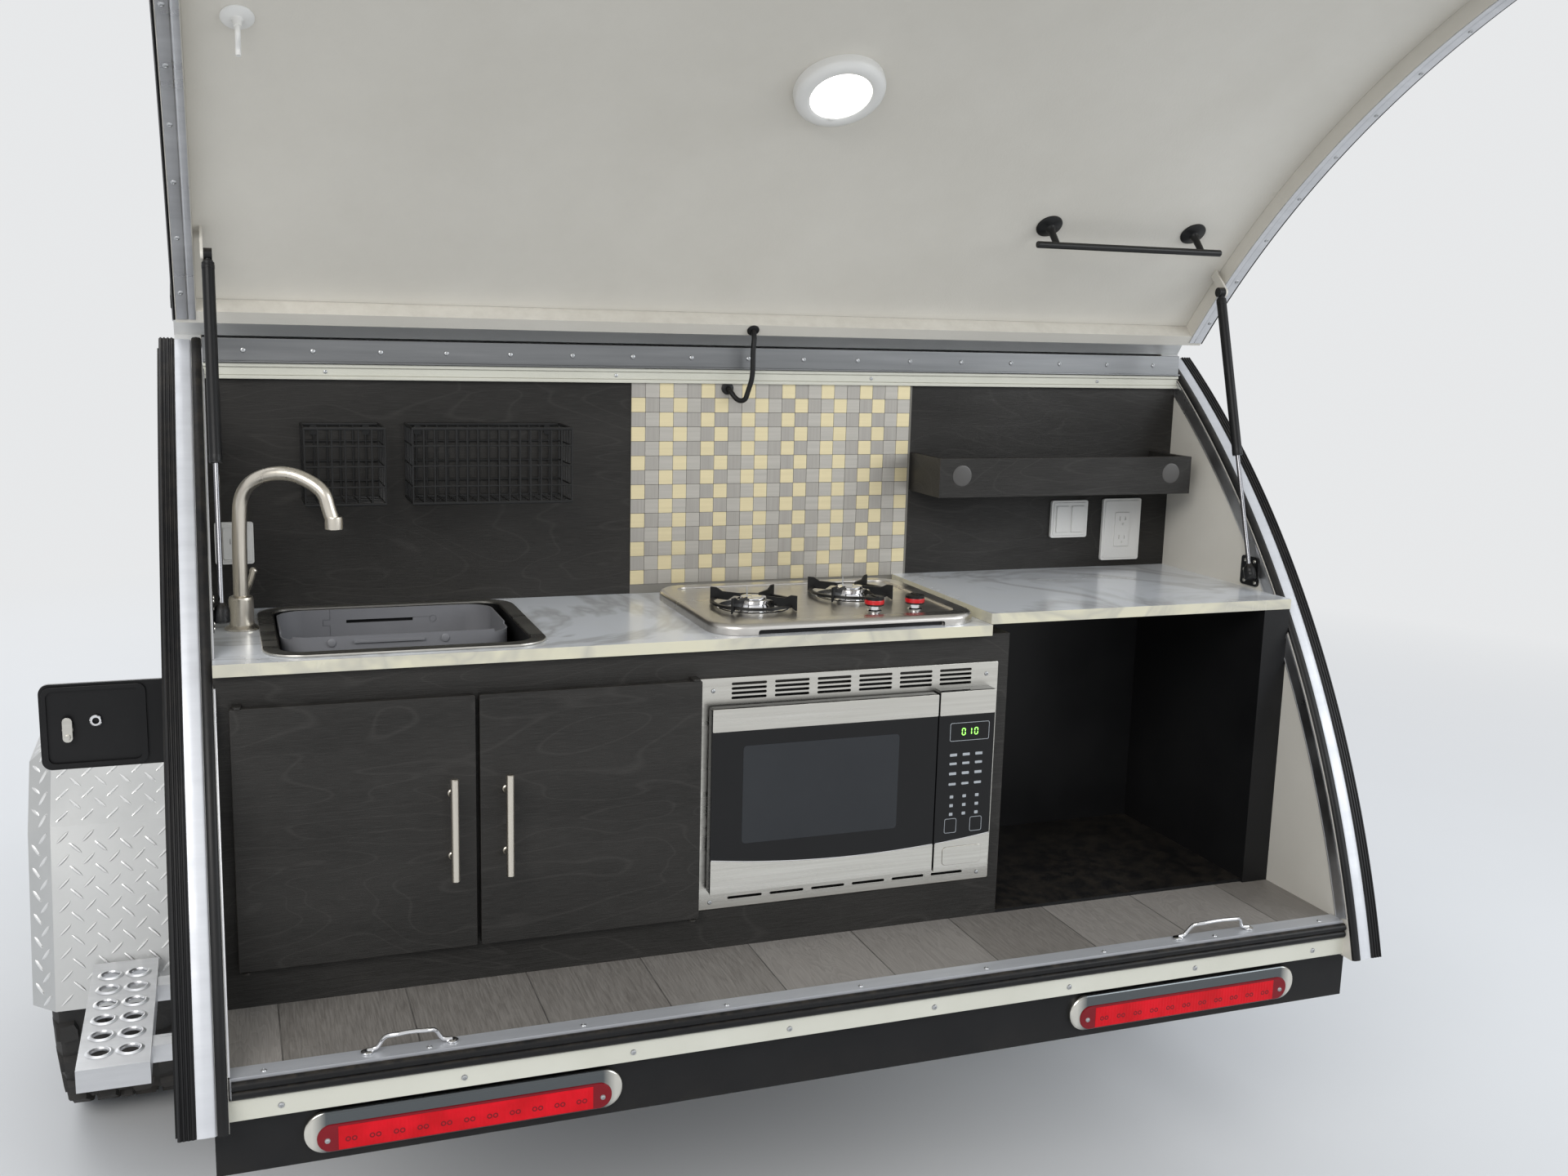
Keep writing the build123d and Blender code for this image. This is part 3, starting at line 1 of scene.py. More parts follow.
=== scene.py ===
import json
import math

import bmesh
import bpy
from mathutils import Matrix, Vector

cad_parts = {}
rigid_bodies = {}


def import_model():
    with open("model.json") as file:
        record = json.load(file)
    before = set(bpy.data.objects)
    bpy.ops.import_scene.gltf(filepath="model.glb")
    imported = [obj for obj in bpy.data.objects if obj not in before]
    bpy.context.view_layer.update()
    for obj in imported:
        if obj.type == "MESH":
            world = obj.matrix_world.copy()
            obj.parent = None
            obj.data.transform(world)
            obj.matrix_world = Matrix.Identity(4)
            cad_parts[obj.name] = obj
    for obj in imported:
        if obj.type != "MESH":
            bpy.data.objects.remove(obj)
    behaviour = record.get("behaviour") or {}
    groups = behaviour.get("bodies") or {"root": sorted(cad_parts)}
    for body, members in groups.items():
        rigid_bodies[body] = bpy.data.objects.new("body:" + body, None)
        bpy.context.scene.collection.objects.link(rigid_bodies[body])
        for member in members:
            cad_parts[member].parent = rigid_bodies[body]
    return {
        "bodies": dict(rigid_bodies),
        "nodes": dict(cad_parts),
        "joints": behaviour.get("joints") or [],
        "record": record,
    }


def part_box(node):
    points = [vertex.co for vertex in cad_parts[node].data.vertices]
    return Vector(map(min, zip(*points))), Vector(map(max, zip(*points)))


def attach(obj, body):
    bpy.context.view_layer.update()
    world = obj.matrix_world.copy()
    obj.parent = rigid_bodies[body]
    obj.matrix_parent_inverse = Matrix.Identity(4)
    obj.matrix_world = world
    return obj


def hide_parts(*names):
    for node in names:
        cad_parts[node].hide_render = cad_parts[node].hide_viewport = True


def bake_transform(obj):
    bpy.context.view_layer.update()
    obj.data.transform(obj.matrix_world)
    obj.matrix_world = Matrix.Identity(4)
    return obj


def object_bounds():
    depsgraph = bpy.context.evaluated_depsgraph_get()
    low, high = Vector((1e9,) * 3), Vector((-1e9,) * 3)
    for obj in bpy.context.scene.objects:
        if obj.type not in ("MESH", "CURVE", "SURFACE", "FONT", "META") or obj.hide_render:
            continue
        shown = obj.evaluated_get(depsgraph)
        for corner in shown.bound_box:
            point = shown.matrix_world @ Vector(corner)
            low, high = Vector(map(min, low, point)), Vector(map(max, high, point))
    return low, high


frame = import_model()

# Looks of the teardrop trailer around its solids. Metres and degrees, X forward, Y to the left, Z up,
# and the origin in the coupler's ball socket.
frame_low, frame_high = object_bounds()
node = frame["nodes"]

# The photograph's viewpoint, and its frame
CAMERA_AT = (-5.9581, 0.885, 1.1336)
CAMERA_RIGHT = (-0.3505, -0.9362, 0.0266)
CAMERA_UP = (0.1742, -0.0373, 0.984)
CAMERA_AHEAD = (0.9202, -0.3495, -0.1761)
FOCAL_PIXELS = 1835.0
PHOTO_WIDTH = 1920.0
SENSOR = 36.0

# The arc of the body's rear edge, and the hatch's hinge, opening and skin
ARC_X = -2.2449
ARC_Z = -0.4083
ARC_R = 1.86
HINGE_SLOPE = 36.7
HINGE_X = -3.39236
HINGE_Z = 1.13111
HATCH_OPEN = 87.0
HATCH_TIP_SLOPE = 73.0
SKIN_T = 0.054
INNER_SKIN = 0.042
SEAL_GAP = 0.012
WALL_IN = 0.905
WALL_OUT = 0.945
GROUND = frame_low.z

ARC = (ARC_X, ARC_Z, ARC_R)
SIDES = (("left", 1), ("right", -1))
# Turns what is modelled on the closed hatch up to the open one
LIFT = (Matrix.Translation((HINGE_X, 0, HINGE_Z)) @ Matrix.Rotation(math.radians(HATCH_OPEN), 4, "Y")
    @ Matrix.Translation((-HINGE_X, 0, -HINGE_Z)))


# Modelling

def clear():
    bpy.ops.object.select_all(action="DESELECT")


def select_only(piece):
    clear()
    piece.select_set(True)
    bpy.context.view_layer.objects.active = piece


def settle(piece, name):
    """Names a new piece and puts its place and size into its mesh."""
    piece.name = name
    piece.data.name = name
    bpy.ops.object.transform_apply(location=True, rotation=True, scale=True)
    return piece


def block(name, low, high):
    """A box between two corners, to be shaped."""
    low, high = Vector(low), Vector(high)
    clear()
    bpy.ops.mesh.primitive_cube_add(size=1, location=(low + high) / 2)
    piece = bpy.context.active_object
    piece.scale = high - low
    return settle(piece, name)


def round_bar(name, start, end, radius, sides):
    """A round bar between two points."""
    start, end = Vector(start), Vector(end)
    along = end - start
    clear()
    bpy.ops.mesh.primitive_cone_add(vertices=sides, radius1=radius, radius2=radius, depth=along.length,
        location=(start + end) / 2)
    piece = bpy.context.active_object
    piece.rotation_mode = "QUATERNION"
    piece.rotation_quaternion = along.to_track_quat("Z", "Y")
    return settle(piece, name)


def ball(name, at, radius, squash=(1, 1, 1), segments=24):
    clear()
    bpy.ops.mesh.primitive_uv_sphere_add(segments=segments, ring_count=segments // 2, radius=radius,
        location=at)
    piece = bpy.context.active_object
    piece.scale = squash
    return settle(piece, name)


def open_edit(piece):
    select_only(piece)
    bpy.ops.object.mode_set(mode="EDIT")
    bpy.ops.mesh.select_all(action="DESELECT")


def close_edit():
    bpy.ops.object.mode_set(mode="OBJECT")


def pick_faces(piece, test):
    """Selects the open piece's faces whose middle and normal pass a test."""
    bpy.ops.mesh.select_mode(type="FACE")
    mesh = bmesh.from_edit_mesh(piece.data)
    for face in mesh.faces:
        face.select_set(bool(test(face.calc_center_median(), face.normal)))
    bmesh.update_edit_mesh(piece.data)


def pick_edges(piece, test):
    """Selects the open piece's edges whose ends pass a test."""
    bpy.ops.mesh.select_mode(type="EDGE")
    mesh = bmesh.from_edit_mesh(piece.data)
    for edge in mesh.edges:
        a, b = edge.verts
        edge.select_set(bool(test(a.co, b.co)))
    bmesh.update_edit_mesh(piece.data)


def reshaped(piece, axis, cuts, place):
    """Divides a piece's edges along an axis and puts its points where a function says."""
    open_edit(piece)
    pick_edges(piece, along_axis(axis))
    bpy.ops.mesh.subdivide(number_cuts=cuts)
    mesh = bmesh.from_edit_mesh(piece.data)
    for vert in mesh.verts:
        vert.co = place(vert.co)
    bmesh.update_edit_mesh(piece.data)
    close_edit()
    return piece


def outline_of(name, places, fill):
    """A new piece, left open: one outline through the places, all selected."""
    clear()
    bpy.ops.mesh.primitive_circle_add(vertices=len(places), radius=0.01, fill_type=fill)
    piece = settle(bpy.context.active_object, name)
    open_edit(piece)
    mesh = bmesh.from_edit_mesh(piece.data)
    for vert, place in zip(mesh.verts, places):
        vert.co = place
    bmesh.update_edit_mesh(piece.data)
    bpy.ops.mesh.select_all(action="SELECT")
    return piece


def bevel_edges(piece, width, test=None, segments=3):
    """Rounds the edges that pass a test, or all of them."""
    open_edit(piece)
    pick_edges(piece, test or (lambda a, b: True))
    bpy.ops.mesh.bevel(offset=width, segments=segments, affect="EDGES", clamp_overlap=True)
    close_edit()
    return piece


def along_axis(axis):
    """A test for edges that run along one axis."""
    others = [i for i in range(3) if i != axis]
    return lambda a, b: all(abs(a[i] - b[i]) < 1e-6 for i in others) and abs(a[axis] - b[axis]) > 1e-6


def across_axis(axis):
    """A test for edges that lie square to one axis."""
    return lambda a, b: abs(a[axis] - b[axis]) < 1e-6


def below(axis, limit):
    """A test for edges that lie below a limit on one axis."""
    return lambda a, b: a[axis] < limit and b[axis] < limit


def plate(name, low, high, axis, corner, edge=0.001, segments=8):
    """A flat plate with round corners and softened rims, facing along an axis."""
    piece = block(name, low, high)
    bevel_edges(piece, corner, along_axis(axis), segments)
    if edge:
        bevel_edges(piece, edge, across_axis(axis), 2)
    return piece


def sink_in(piece, test, margin, depth):
    """Insets the faces that pass a test and pushes them in."""
    open_edit(piece)
    pick_faces(piece, test)
    bpy.ops.mesh.inset(thickness=margin, depth=0, use_boundary=True)
    mesh = bmesh.from_edit_mesh(piece.data)
    normal = Vector((0, 0, 0))
    for face in mesh.faces:
        if face.select:
            normal += face.normal
    normal.normalize()
    bpy.ops.mesh.extrude_region_move(TRANSFORM_OT_translate={"value": normal * -depth})
    close_edit()
    return piece


def spun(name, profile, centre, first, last, steps):
    """A strip whose section, (offset outward, y) corners, is spun along the arc about a centre.

    The slopes are in degrees, as along the body's profile."""
    cx, cz, radius = centre

    def on_arc(slope, off, y):
        a = math.radians(slope)
        return Vector((cx - math.sin(a) * (radius + off), y, cz + math.cos(a) * (radius + off)))

    piece = outline_of(name, [on_arc(first, off, y) for off, y in profile], "NGON")
    bpy.ops.mesh.spin(steps=steps, angle=math.radians(last - first), center=(cx, 0, cz), axis=(0, 1, 0))
    close_edit()
    return mended(piece)


def mended(piece, gap=1e-5):
    """Merges doubled points and turns every face outward."""
    open_edit(piece)
    bpy.ops.mesh.select_all(action="SELECT")
    bpy.ops.mesh.remove_doubles(threshold=gap)
    bpy.ops.mesh.normals_make_consistent(inside=False)
    close_edit()
    return piece


def lathed(name, outline, at, axis=(0, 0, 1), steps=48):
    """A turned piece: (radius, height) corners spun about an axis through a point."""
    piece = outline_of(name, [Vector((radius, 0, height)) for radius, height in outline], "NOTHING")
    bpy.ops.mesh.spin(steps=steps, angle=2 * math.pi, center=(0, 0, 0), axis=(0, 0, 1))
    close_edit()
    mended(piece, 1e-6)
    piece.rotation_mode = "QUATERNION"
    piece.rotation_quaternion = Vector(axis).to_track_quat("Z", "Y")
    piece.location = at
    select_only(piece)
    return settle(piece, name)


def turned(name, outline, at, axis=(0, 0, 1), steps=48):
    """A solid turned piece: its outline is closed to the axis at both ends."""
    return lathed(name, [(0.0, outline[0][1]), *outline, (0.0, outline[-1][1])], at, axis, steps)


def wire(name, points, radius, closed=False, smooth=True, sides=4):
    """A round wire through or near the given points."""
    curve = bpy.data.curves.new(name, "CURVE")
    curve.dimensions = "3D"
    curve.bevel_depth = radius
    curve.bevel_resolution = sides
    curve.use_fill_caps = True
    line = curve.splines.new("NURBS" if smooth else "POLY")
    line.points.add(len(points) - 1)
    for point, place in zip(line.points, points):
        point.co = (*place, 1.0)
    if smooth:
        line.order_u = 3
        line.use_endpoint_u = not closed
        line.resolution_u = 8
    line.use_cyclic_u = closed
    piece = bpy.data.objects.new(name, curve)
    bpy.context.scene.collection.objects.link(piece)
    select_only(piece)
    bpy.ops.object.convert(target="MESH")
    piece = bpy.context.active_object
    piece.data.name = name
    return mended(piece)


def discard(piece):
    bpy.data.objects.remove(piece)


def copied(piece, shift=(0, 0, 0), turn=None, name=None):
    """A copy with its own mesh, moved or turned by a matrix."""
    twin = piece.copy()
    twin.data = piece.data.copy()
    twin.name = name or piece.name + "_copy"
    bpy.context.scene.collection.objects.link(twin)
    if turn is not None:
        twin.data.transform(turn)
    twin.data.transform(Matrix.Translation(Vector(shift)))
    return twin


def mirrored(piece, name):
    """The same piece on the other side, with its faces turned outward again."""
    twin = copied(piece, turn=Matrix.Scale(-1, 4, (0, 1, 0)), name=name)
    return mended(twin)


def joined(pieces, name):
    """One piece made of several."""
    clear()
    for piece in pieces:
        piece.select_set(True)
    bpy.context.view_layer.objects.active = pieces[0]
    if len(pieces) > 1:
        bpy.ops.object.join()
    piece = bpy.context.active_object
    piece.name = name
    piece.data.name = name
    return piece


def cut(piece, tool):
    """Takes one piece's shape out of another."""
    select_only(piece)
    boolean = piece.modifiers.new("cut", "BOOLEAN")
    boolean.operation = "DIFFERENCE"
    boolean.solver = "EXACT"
    boolean.object = tool
    bpy.ops.object.modifier_apply(modifier=boolean.name)
    discard(tool)
    return piece


def hand_over(piece, slot, *nodes, body="trailer", finish=None, smooth=40.0):
    """Gives a piece its slot's material or another and its body, and hides the nodes it stands for."""
    select_only(piece)
    piece.data.materials.clear()
    piece.data.materials.append(finish or FINISH[slot])
    bpy.ops.object.shade_smooth_by_angle(angle=math.radians(smooth))
    weigh = piece.modifiers.new("weigh", "WEIGHTED_NORMAL")
    weigh.keep_sharp = True
    bpy.ops.object.modifier_apply(modifier=weigh.name)
    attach(piece, body)
    if nodes:
        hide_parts(*nodes)
    return piece


def on_both_sides(left, name, slot, move=None, **settings):
    """Hands over a left piece and its mirror image, both moved by a function first."""
    for piece in (left, mirrored(left, name + "_right")):
        hand_over(move(piece) if move else piece, slot, **settings)


# Tones of the warm white lining
LINING = ((0.66, 0.63, 0.565), (0.62, 0.59, 0.525))


# Shared effects of the materials, and helpers that wire them

def new_group(name, inputs, outputs):
    """A shader node group with named sockets: inputs as (name, kind, value), outputs as (name, kind)."""
    group = bpy.data.node_groups.new(name, "ShaderNodeTree")
    for label, kind, value in inputs:
        socket = group.interface.new_socket(label, in_out="INPUT", socket_type=kind)
        if value is not None:
            socket.default_value = value
    for label, kind in outputs:
        group.interface.new_socket(label, in_out="OUTPUT", socket_type=kind)
    return group, group.nodes.new("NodeGroupInput").outputs, group.nodes.new("NodeGroupOutput").inputs


def add(tree, kind, values=None, **settings):
    """A node with its settings, and its input values by name or number."""
    made = tree.nodes.new(kind)
    for key, value in settings.items():
        setattr(made, key, value)
    for key, value in (values or {}).items():
        made.inputs[key].default_value = value
    return made


def math_node(tree, operation, first, second=None):
    """A Math node fed by sockets or numbers."""
    made = add(tree, "ShaderNodeMath", operation=operation)
    for i, value in enumerate((first, second)):
        if value is None:
            continue
        if isinstance(value, (int, float)):
            made.inputs[i].default_value = value
        else:
            tree.links.new(value, made.inputs[i])
    return made.outputs[0]


def ramp(tree, value, low, high, to_low=0.0, to_high=1.0):
    """Maps a value's range to another, clamped."""
    made = add(tree, "ShaderNodeMapRange", {"From Min": low, "From Max": high, "To Min": to_low,
        "To Max": to_high})
    tree.links.new(value, made.inputs["Value"])
    return made.outputs["Result"]


def noise(tree, vector, scale, detail=3.0, rough=0.5, distortion=0.0):
    made = add(tree, "ShaderNodeTexNoise", {"Scale": scale, "Detail": detail, "Roughness": rough,
        "Distortion": distortion})
    tree.links.new(vector, made.inputs["Vector"])
    return made.outputs[0]


def stretched(tree, vector, scale):
    """The coordinates scaled by a factor on each axis."""
    made = add(tree, "ShaderNodeMapping", {"Scale": scale})
    tree.links.new(vector, made.inputs["Vector"])
    return made.outputs[0]


def split_xyz(tree, vector):
    """The three parts of a vector, as sockets."""
    made = add(tree, "ShaderNodeSeparateXYZ")
    tree.links.new(vector, made.inputs[0])
    return made.outputs


def seen_rays(tree):
    """1 for the rays that camera, mirrors and glass send."""
    path = add(tree, "ShaderNodeLightPath")
    either = math_node(tree, "MAXIMUM", path.outputs["Is Camera Ray"], path.outputs["Is Glossy Ray"])
    return math_node(tree, "MAXIMUM", either, path.outputs["Is Transmission Ray"])


def mottle_group():
    """Slow patches and fine specks over a surface."""
    group, inside, outside = new_group("mottle", [("Vector", "NodeSocketVector", None),
        ("Scale", "NodeSocketFloat", 6.0)], [("Patches", "NodeSocketFloat"), ("Specks", "NodeSocketFloat")])
    wide = add(group, "ShaderNodeTexNoise", {"Detail": 4.0, "Roughness": 0.6})
    fine = add(group, "ShaderNodeTexNoise", {"Detail": 2.0, "Roughness": 0.7})
    group.links.new(inside["Vector"], wide.inputs["Vector"])
    group.links.new(inside["Vector"], fine.inputs["Vector"])
    group.links.new(inside["Scale"], wide.inputs["Scale"])
    group.links.new(math_node(group, "MULTIPLY", inside["Scale"], 45.0), fine.inputs["Scale"])
    group.links.new(ramp(group, wide.outputs[0], 0.3, 0.7), outside["Patches"])
    group.links.new(ramp(group, fine.outputs[0], 0.3, 0.7), outside["Specks"])
    return group


def grain_group():
    """Wood veneer: contour lines of a slow pattern, and short pores along the grain."""
    group, inside, outside = new_group("grain", [("Vector", "NodeSocketVector", None),
        ("Rings", "NodeSocketFloat", 9.0)], [("Lines", "NodeSocketFloat"), ("Pores", "NodeSocketFloat"),
        ("Cloud", "NodeSocketFloat")])
    field = add(group, "ShaderNodeTexNoise", {"Scale": 2.6, "Detail": 1.5, "Roughness": 0.45,
        "Distortion": 0.5})
    group.links.new(inside["Vector"], field.inputs["Vector"])
    rings = math_node(group, "MULTIPLY", field.outputs[0], inside["Rings"])
    saw = math_node(group, "FRACT", rings)
    fold = math_node(group, "ABSOLUTE", math_node(group, "SUBTRACT", saw, 0.5))
    group.links.new(ramp(group, fold, 0.0, 0.07, 1.0, 0.0), outside["Lines"])
    pores = noise(group, stretched(group, inside["Vector"], (18.0, 5.0, 110.0)), 6.0, 2.0, 0.6)
    group.links.new(ramp(group, pores, 0.42, 0.68), outside["Pores"])
    cloud = noise(group, inside["Vector"], 3.4, 3.0, 0.55)
    group.links.new(ramp(group, cloud, 0.35, 0.7), outside["Cloud"])
    return group


def brushed_group():
    """Fine parallel scratches: the coordinates come stretched along the brushing."""
    group, inside, outside = new_group("brushed", [("Vector", "NodeSocketVector", None),
        ("Scale", "NodeSocketFloat", 1.0)], [("Streaks", "NodeSocketFloat"), ("Smears", "NodeSocketFloat")])
    streaks = add(group, "ShaderNodeTexNoise", {"Detail": 3.0, "Roughness": 0.65})
    group.links.new(inside["Vector"], streaks.inputs["Vector"])
    group.links.new(inside["Scale"], streaks.inputs["Scale"])
    smears = noise(group, inside["Vector"], 0.35, 2.0, 0.5)
    group.links.new(ramp(group, streaks.outputs[0], 0.25, 0.75), outside["Streaks"])
    group.links.new(ramp(group, smears, 0.3, 0.7), outside["Smears"])
    return group


def dust_group():
    """Dust that lies on what faces up, and grime that gathers low on the trailer."""
    group, inside, outside = new_group("dust", [("Vector", "NodeSocketVector", None),
        ("Settled", "NodeSocketFloat", 0.3), ("Splash", "NodeSocketFloat", 0.3),
        ("Height", "NodeSocketFloat", 0.2)], [("Mask", "NodeSocketFloat")])
    geometry = add(group, "ShaderNodeNewGeometry")
    up = ramp(group, split_xyz(group, geometry.outputs["Normal"])["Z"], 0.35, 0.95)
    speck = ramp(group, noise(group, inside["Vector"], 38.0, 6.0, 0.7), 0.4, 0.75)
    settled = math_node(group, "MULTIPLY", math_node(group, "MULTIPLY", up, speck), inside["Settled"])
    height = split_xyz(group, inside["Vector"])["Z"]
    low = ramp(group, math_node(group, "SUBTRACT", inside["Height"], height), 0.0, 0.5)
    blot = ramp(group, noise(group, inside["Vector"], 9.0, 8.0, 0.65), 0.35, 0.7)
    splash = math_node(group, "MULTIPLY", math_node(group, "MULTIPLY", low, blot), inside["Splash"])
    group.links.new(math_node(group, "MAXIMUM", settled, splash), outside["Mask"])
    return group


def edge_group():
    """Rubbed edges: where the surface bends within a small radius, broken up by a pattern."""
    group, inside, outside = new_group("edges", [("Vector", "NodeSocketVector", None),
        ("Radius", "NodeSocketFloat", 0.002)], [("Mask", "NodeSocketFloat")])
    bevel = add(group, "ShaderNodeBevel", samples=4)
    geometry = add(group, "ShaderNodeNewGeometry")
    dot = add(group, "ShaderNodeVectorMath", operation="DOT_PRODUCT")
    group.links.new(inside["Radius"], bevel.inputs["Radius"])
    group.links.new(bevel.outputs[0], dot.inputs[0])
    group.links.new(geometry.outputs["Normal"], dot.inputs[1])
    bent = ramp(group, dot.outputs["Value"], 0.97, 0.8)
    spots = ramp(group, noise(group, inside["Vector"], 60.0, 4.0, 0.7), 0.45, 0.62)
    group.links.new(math_node(group, "MULTIPLY", bent, spots), outside["Mask"])
    return group


GROUPS = {
    "mottle": mottle_group(),
    "grain": grain_group(),
    "brushed": brushed_group(),
    "dust": dust_group(),
    "edges": edge_group(),
}


class Finish:
    """A material in the making: a Principled shader and what feeds it."""

    def __init__(self, name, scale=(1, 1, 1), **values):
        self.material = bpy.data.materials.new(name)
        self.material.use_nodes = True
        self.tree = self.material.node_tree
        self.shader = self.tree.nodes["Principled BSDF"]
        for key, value in values.items():
            self.shader.inputs[key.replace("_", " ")].default_value = value
        coordinates = add(self.tree, "ShaderNodeTexCoord")
        self.place = coordinates.outputs["Object"]
        self.vector = stretched(self.tree, self.place, scale) if scale != (1, 1, 1) else self.place

    def group(self, name, vector=None, **values):
        """Places a shared effect and gives its outputs."""
        made = add(self.tree, "ShaderNodeGroup", values, node_tree=GROUPS[name])
        self.tree.links.new(vector or self.vector, made.inputs["Vector"])
        return made.outputs

    def mix(self, factor, first, second):
        """A mix of two colours, each a socket or a colour."""
        made = add(self.tree, "ShaderNodeMix", data_type="RGBA", blend_type="MIX")
        for socket, value in ((made.inputs[0], factor), (made.inputs[6], first), (made.inputs[7], second)):
            if isinstance(value, bpy.types.NodeSocket):
                self.tree.links.new(value, socket)
            elif isinstance(value, tuple):
                socket.default_value = (*value, 1.0)
            else:
                socket.default_value = value
        return made.outputs[2]

    def feed(self, **sockets):
        for key, value in sockets.items():
            self.tree.links.new(value, self.shader.inputs[key.replace("_", " ")])

    def dusted(self, tone, settled, splash, height, dust=(0.2, 0.16, 0.11)):
        """Feeds the base colour with a tone that dust lies on; grime reaches down from a height."""
        mask = self.group("dust", Settled=settled, Splash=splash, Height=height)["Mask"]
        self.feed(Base_Color=self.mix(mask, tone, dust))

    def rough(self, value, low, high):
        """Roughness between two values by a mask."""
        self.feed(Roughness=ramp(self.tree, value, 0.0, 1.0, low, high))

    def bump(self, height, depth):
        """Relief of a depth in metres; more of it is laid over what was there."""
        made = add(self.tree, "ShaderNodeBump", {"Strength": 1.0, "Distance": depth})
        self.tree.links.new(height, made.inputs["Height"])
        before = self.shader.inputs["Normal"]
        if before.is_linked:
            self.tree.links.new(before.links[0].from_socket, made.inputs["Normal"])
        self.tree.links.new(made.outputs[0], before)


def painted(name, colour, other, low, high, dust=(0.25, 0.3, 0.2), grit=0.00006, rubbed=None, **values):
    """Paint, plastic or gelcoat in two close tones, with uneven gloss, dust and perhaps rubbed edges."""
    finish = Finish(name, **values)
    mottle = finish.group("mottle", Scale=5.0)
    tone = finish.mix(mottle["Patches"], colour, other)
    finish.dusted(tone, *dust)
    finish.rough(mottle["Patches"], low, high)
    finish.bump(mottle["Specks"], grit)
    return worn(finish, rubbed) if rubbed else finish.material


def worn(finish, colour, radius=0.0015):
    """Shows another colour along a finish's rubbed edges."""
    mask = finish.group("edges", Radius=radius)["Mask"]
    socket = finish.shader.inputs["Base Color"]
    finish.feed(Base_Color=finish.mix(mask, socket.links[0].from_socket, colour))
    return finish.material


def metal(name, colour, other, low, high, stretch, depth=0.00002, **values):
    """Brushed metal: streaks along one way, with slow smears of gloss."""
    finish = Finish(name, scale=stretch, **{"Metallic": 1.0, **values})
    brushed = finish.group("brushed", Scale=1.0)
    mottle = finish.group("mottle", vector=finish.place, Scale=4.0)
    tone = finish.mix(brushed["Streaks"], colour, other)
    finish.feed(Base_Color=finish.mix(ramp(finish.tree, mottle["Patches"], 0, 1, 0, 0.2), tone, other))
    finish.rough(brushed["Smears"], low, high)
    finish.bump(brushed["Streaks"], depth)
    return finish.material


def stained_ply():
    """Black-stained plywood: thin pale grain lines, pores and a rubbed sheen."""
    finish = Finish("black_stained_ply", scale=(1.2, 0.9, 3.4), Roughness=0.5, Specular_IOR_Level=0.25)
    grain = finish.group("grain", Rings=13.0)
    cloudy = finish.mix(grain["Cloud"], (0.014, 0.013, 0.0115), (0.025, 0.0232, 0.0208))
    pored = finish.mix(ramp(finish.tree, grain["Pores"], 0, 1, 0, 0.4), cloudy, (0.052, 0.049, 0.046))
    lined = finish.mix(ramp(finish.tree, grain["Lines"], 0, 1, 0, 0.15), pored, (0.085, 0.079, 0.073))
    finish.feed(Base_Color=lined)
    finish.rough(grain["Cloud"], 0.52, 0.36)
    finish.bump(grain["Pores"], 0.00012)
    return worn(finish, (0.07, 0.055, 0.04), 0.001)


def deck_boards():
    """Grey wood-look planks that run forward, each with its own tone and grain."""
    finish = Finish("grey_planks", Roughness=0.5)
    tree = finish.tree
    laid = add(tree, "ShaderNodeMapping", {"Location": (0.35, 0.07, 0)})
    tree.links.new(finish.place, laid.inputs["Vector"])
    bricks = add(tree, "ShaderNodeTexBrick", {"Color1": (0.17, 0.155, 0.138, 1),
        "Color2": (0.29, 0.268, 0.245, 1), "Mortar": (0.05, 0.045, 0.04, 1), "Scale": 1.0,
        "Mortar Size": 0.0011, "Mortar Smooth": 0.3, "Bias": 0.0, "Brick Width": 0.92, "Row Height": 0.181},
        offset=0.37, offset_frequency=2)
    tree.links.new(laid.outputs[0], bricks.inputs["Vector"])
    shifted = add(tree, "ShaderNodeVectorMath", operation="MULTIPLY_ADD")
    tree.links.new(bricks.outputs["Color"], shifted.inputs[0])
    shifted.inputs[1].default_value = (60.0, 35.0, 20.0)
    tree.links.new(finish.place, shifted.inputs[2])
    rings = noise(tree, stretched(tree, shifted.outputs[0], (1.2, 6.0, 6.0)), 3.0, 2.0, 0.5, 1.2)
    saw = math_node(tree, "FRACT", math_node(tree, "MULTIPLY", rings, 16.0))
    fine = noise(tree, stretched(tree, shifted.outputs[0], (7.0, 120.0, 20.0)), 3.0, 3.0, 0.6)
    streaks = ramp(tree, fine, 0.35, 0.68)
    ringed = finish.mix(ramp(tree, saw, 0, 1, 0.0, 0.32), bricks.outputs["Color"], (0.1, 0.088, 0.076))
    finish.feed(Base_Color=finish.mix(ramp(tree, streaks, 0, 1, 0, 0.38), ringed, (0.36, 0.335, 0.305)))
    finish.rough(streaks, 0.42, 0.6)
    finish.bump(streaks, 0.00018)
    finish.bump(math_node(tree, "SUBTRACT", 1.0, bricks.outputs["Fac"]), 0.0006)
    return finish.material


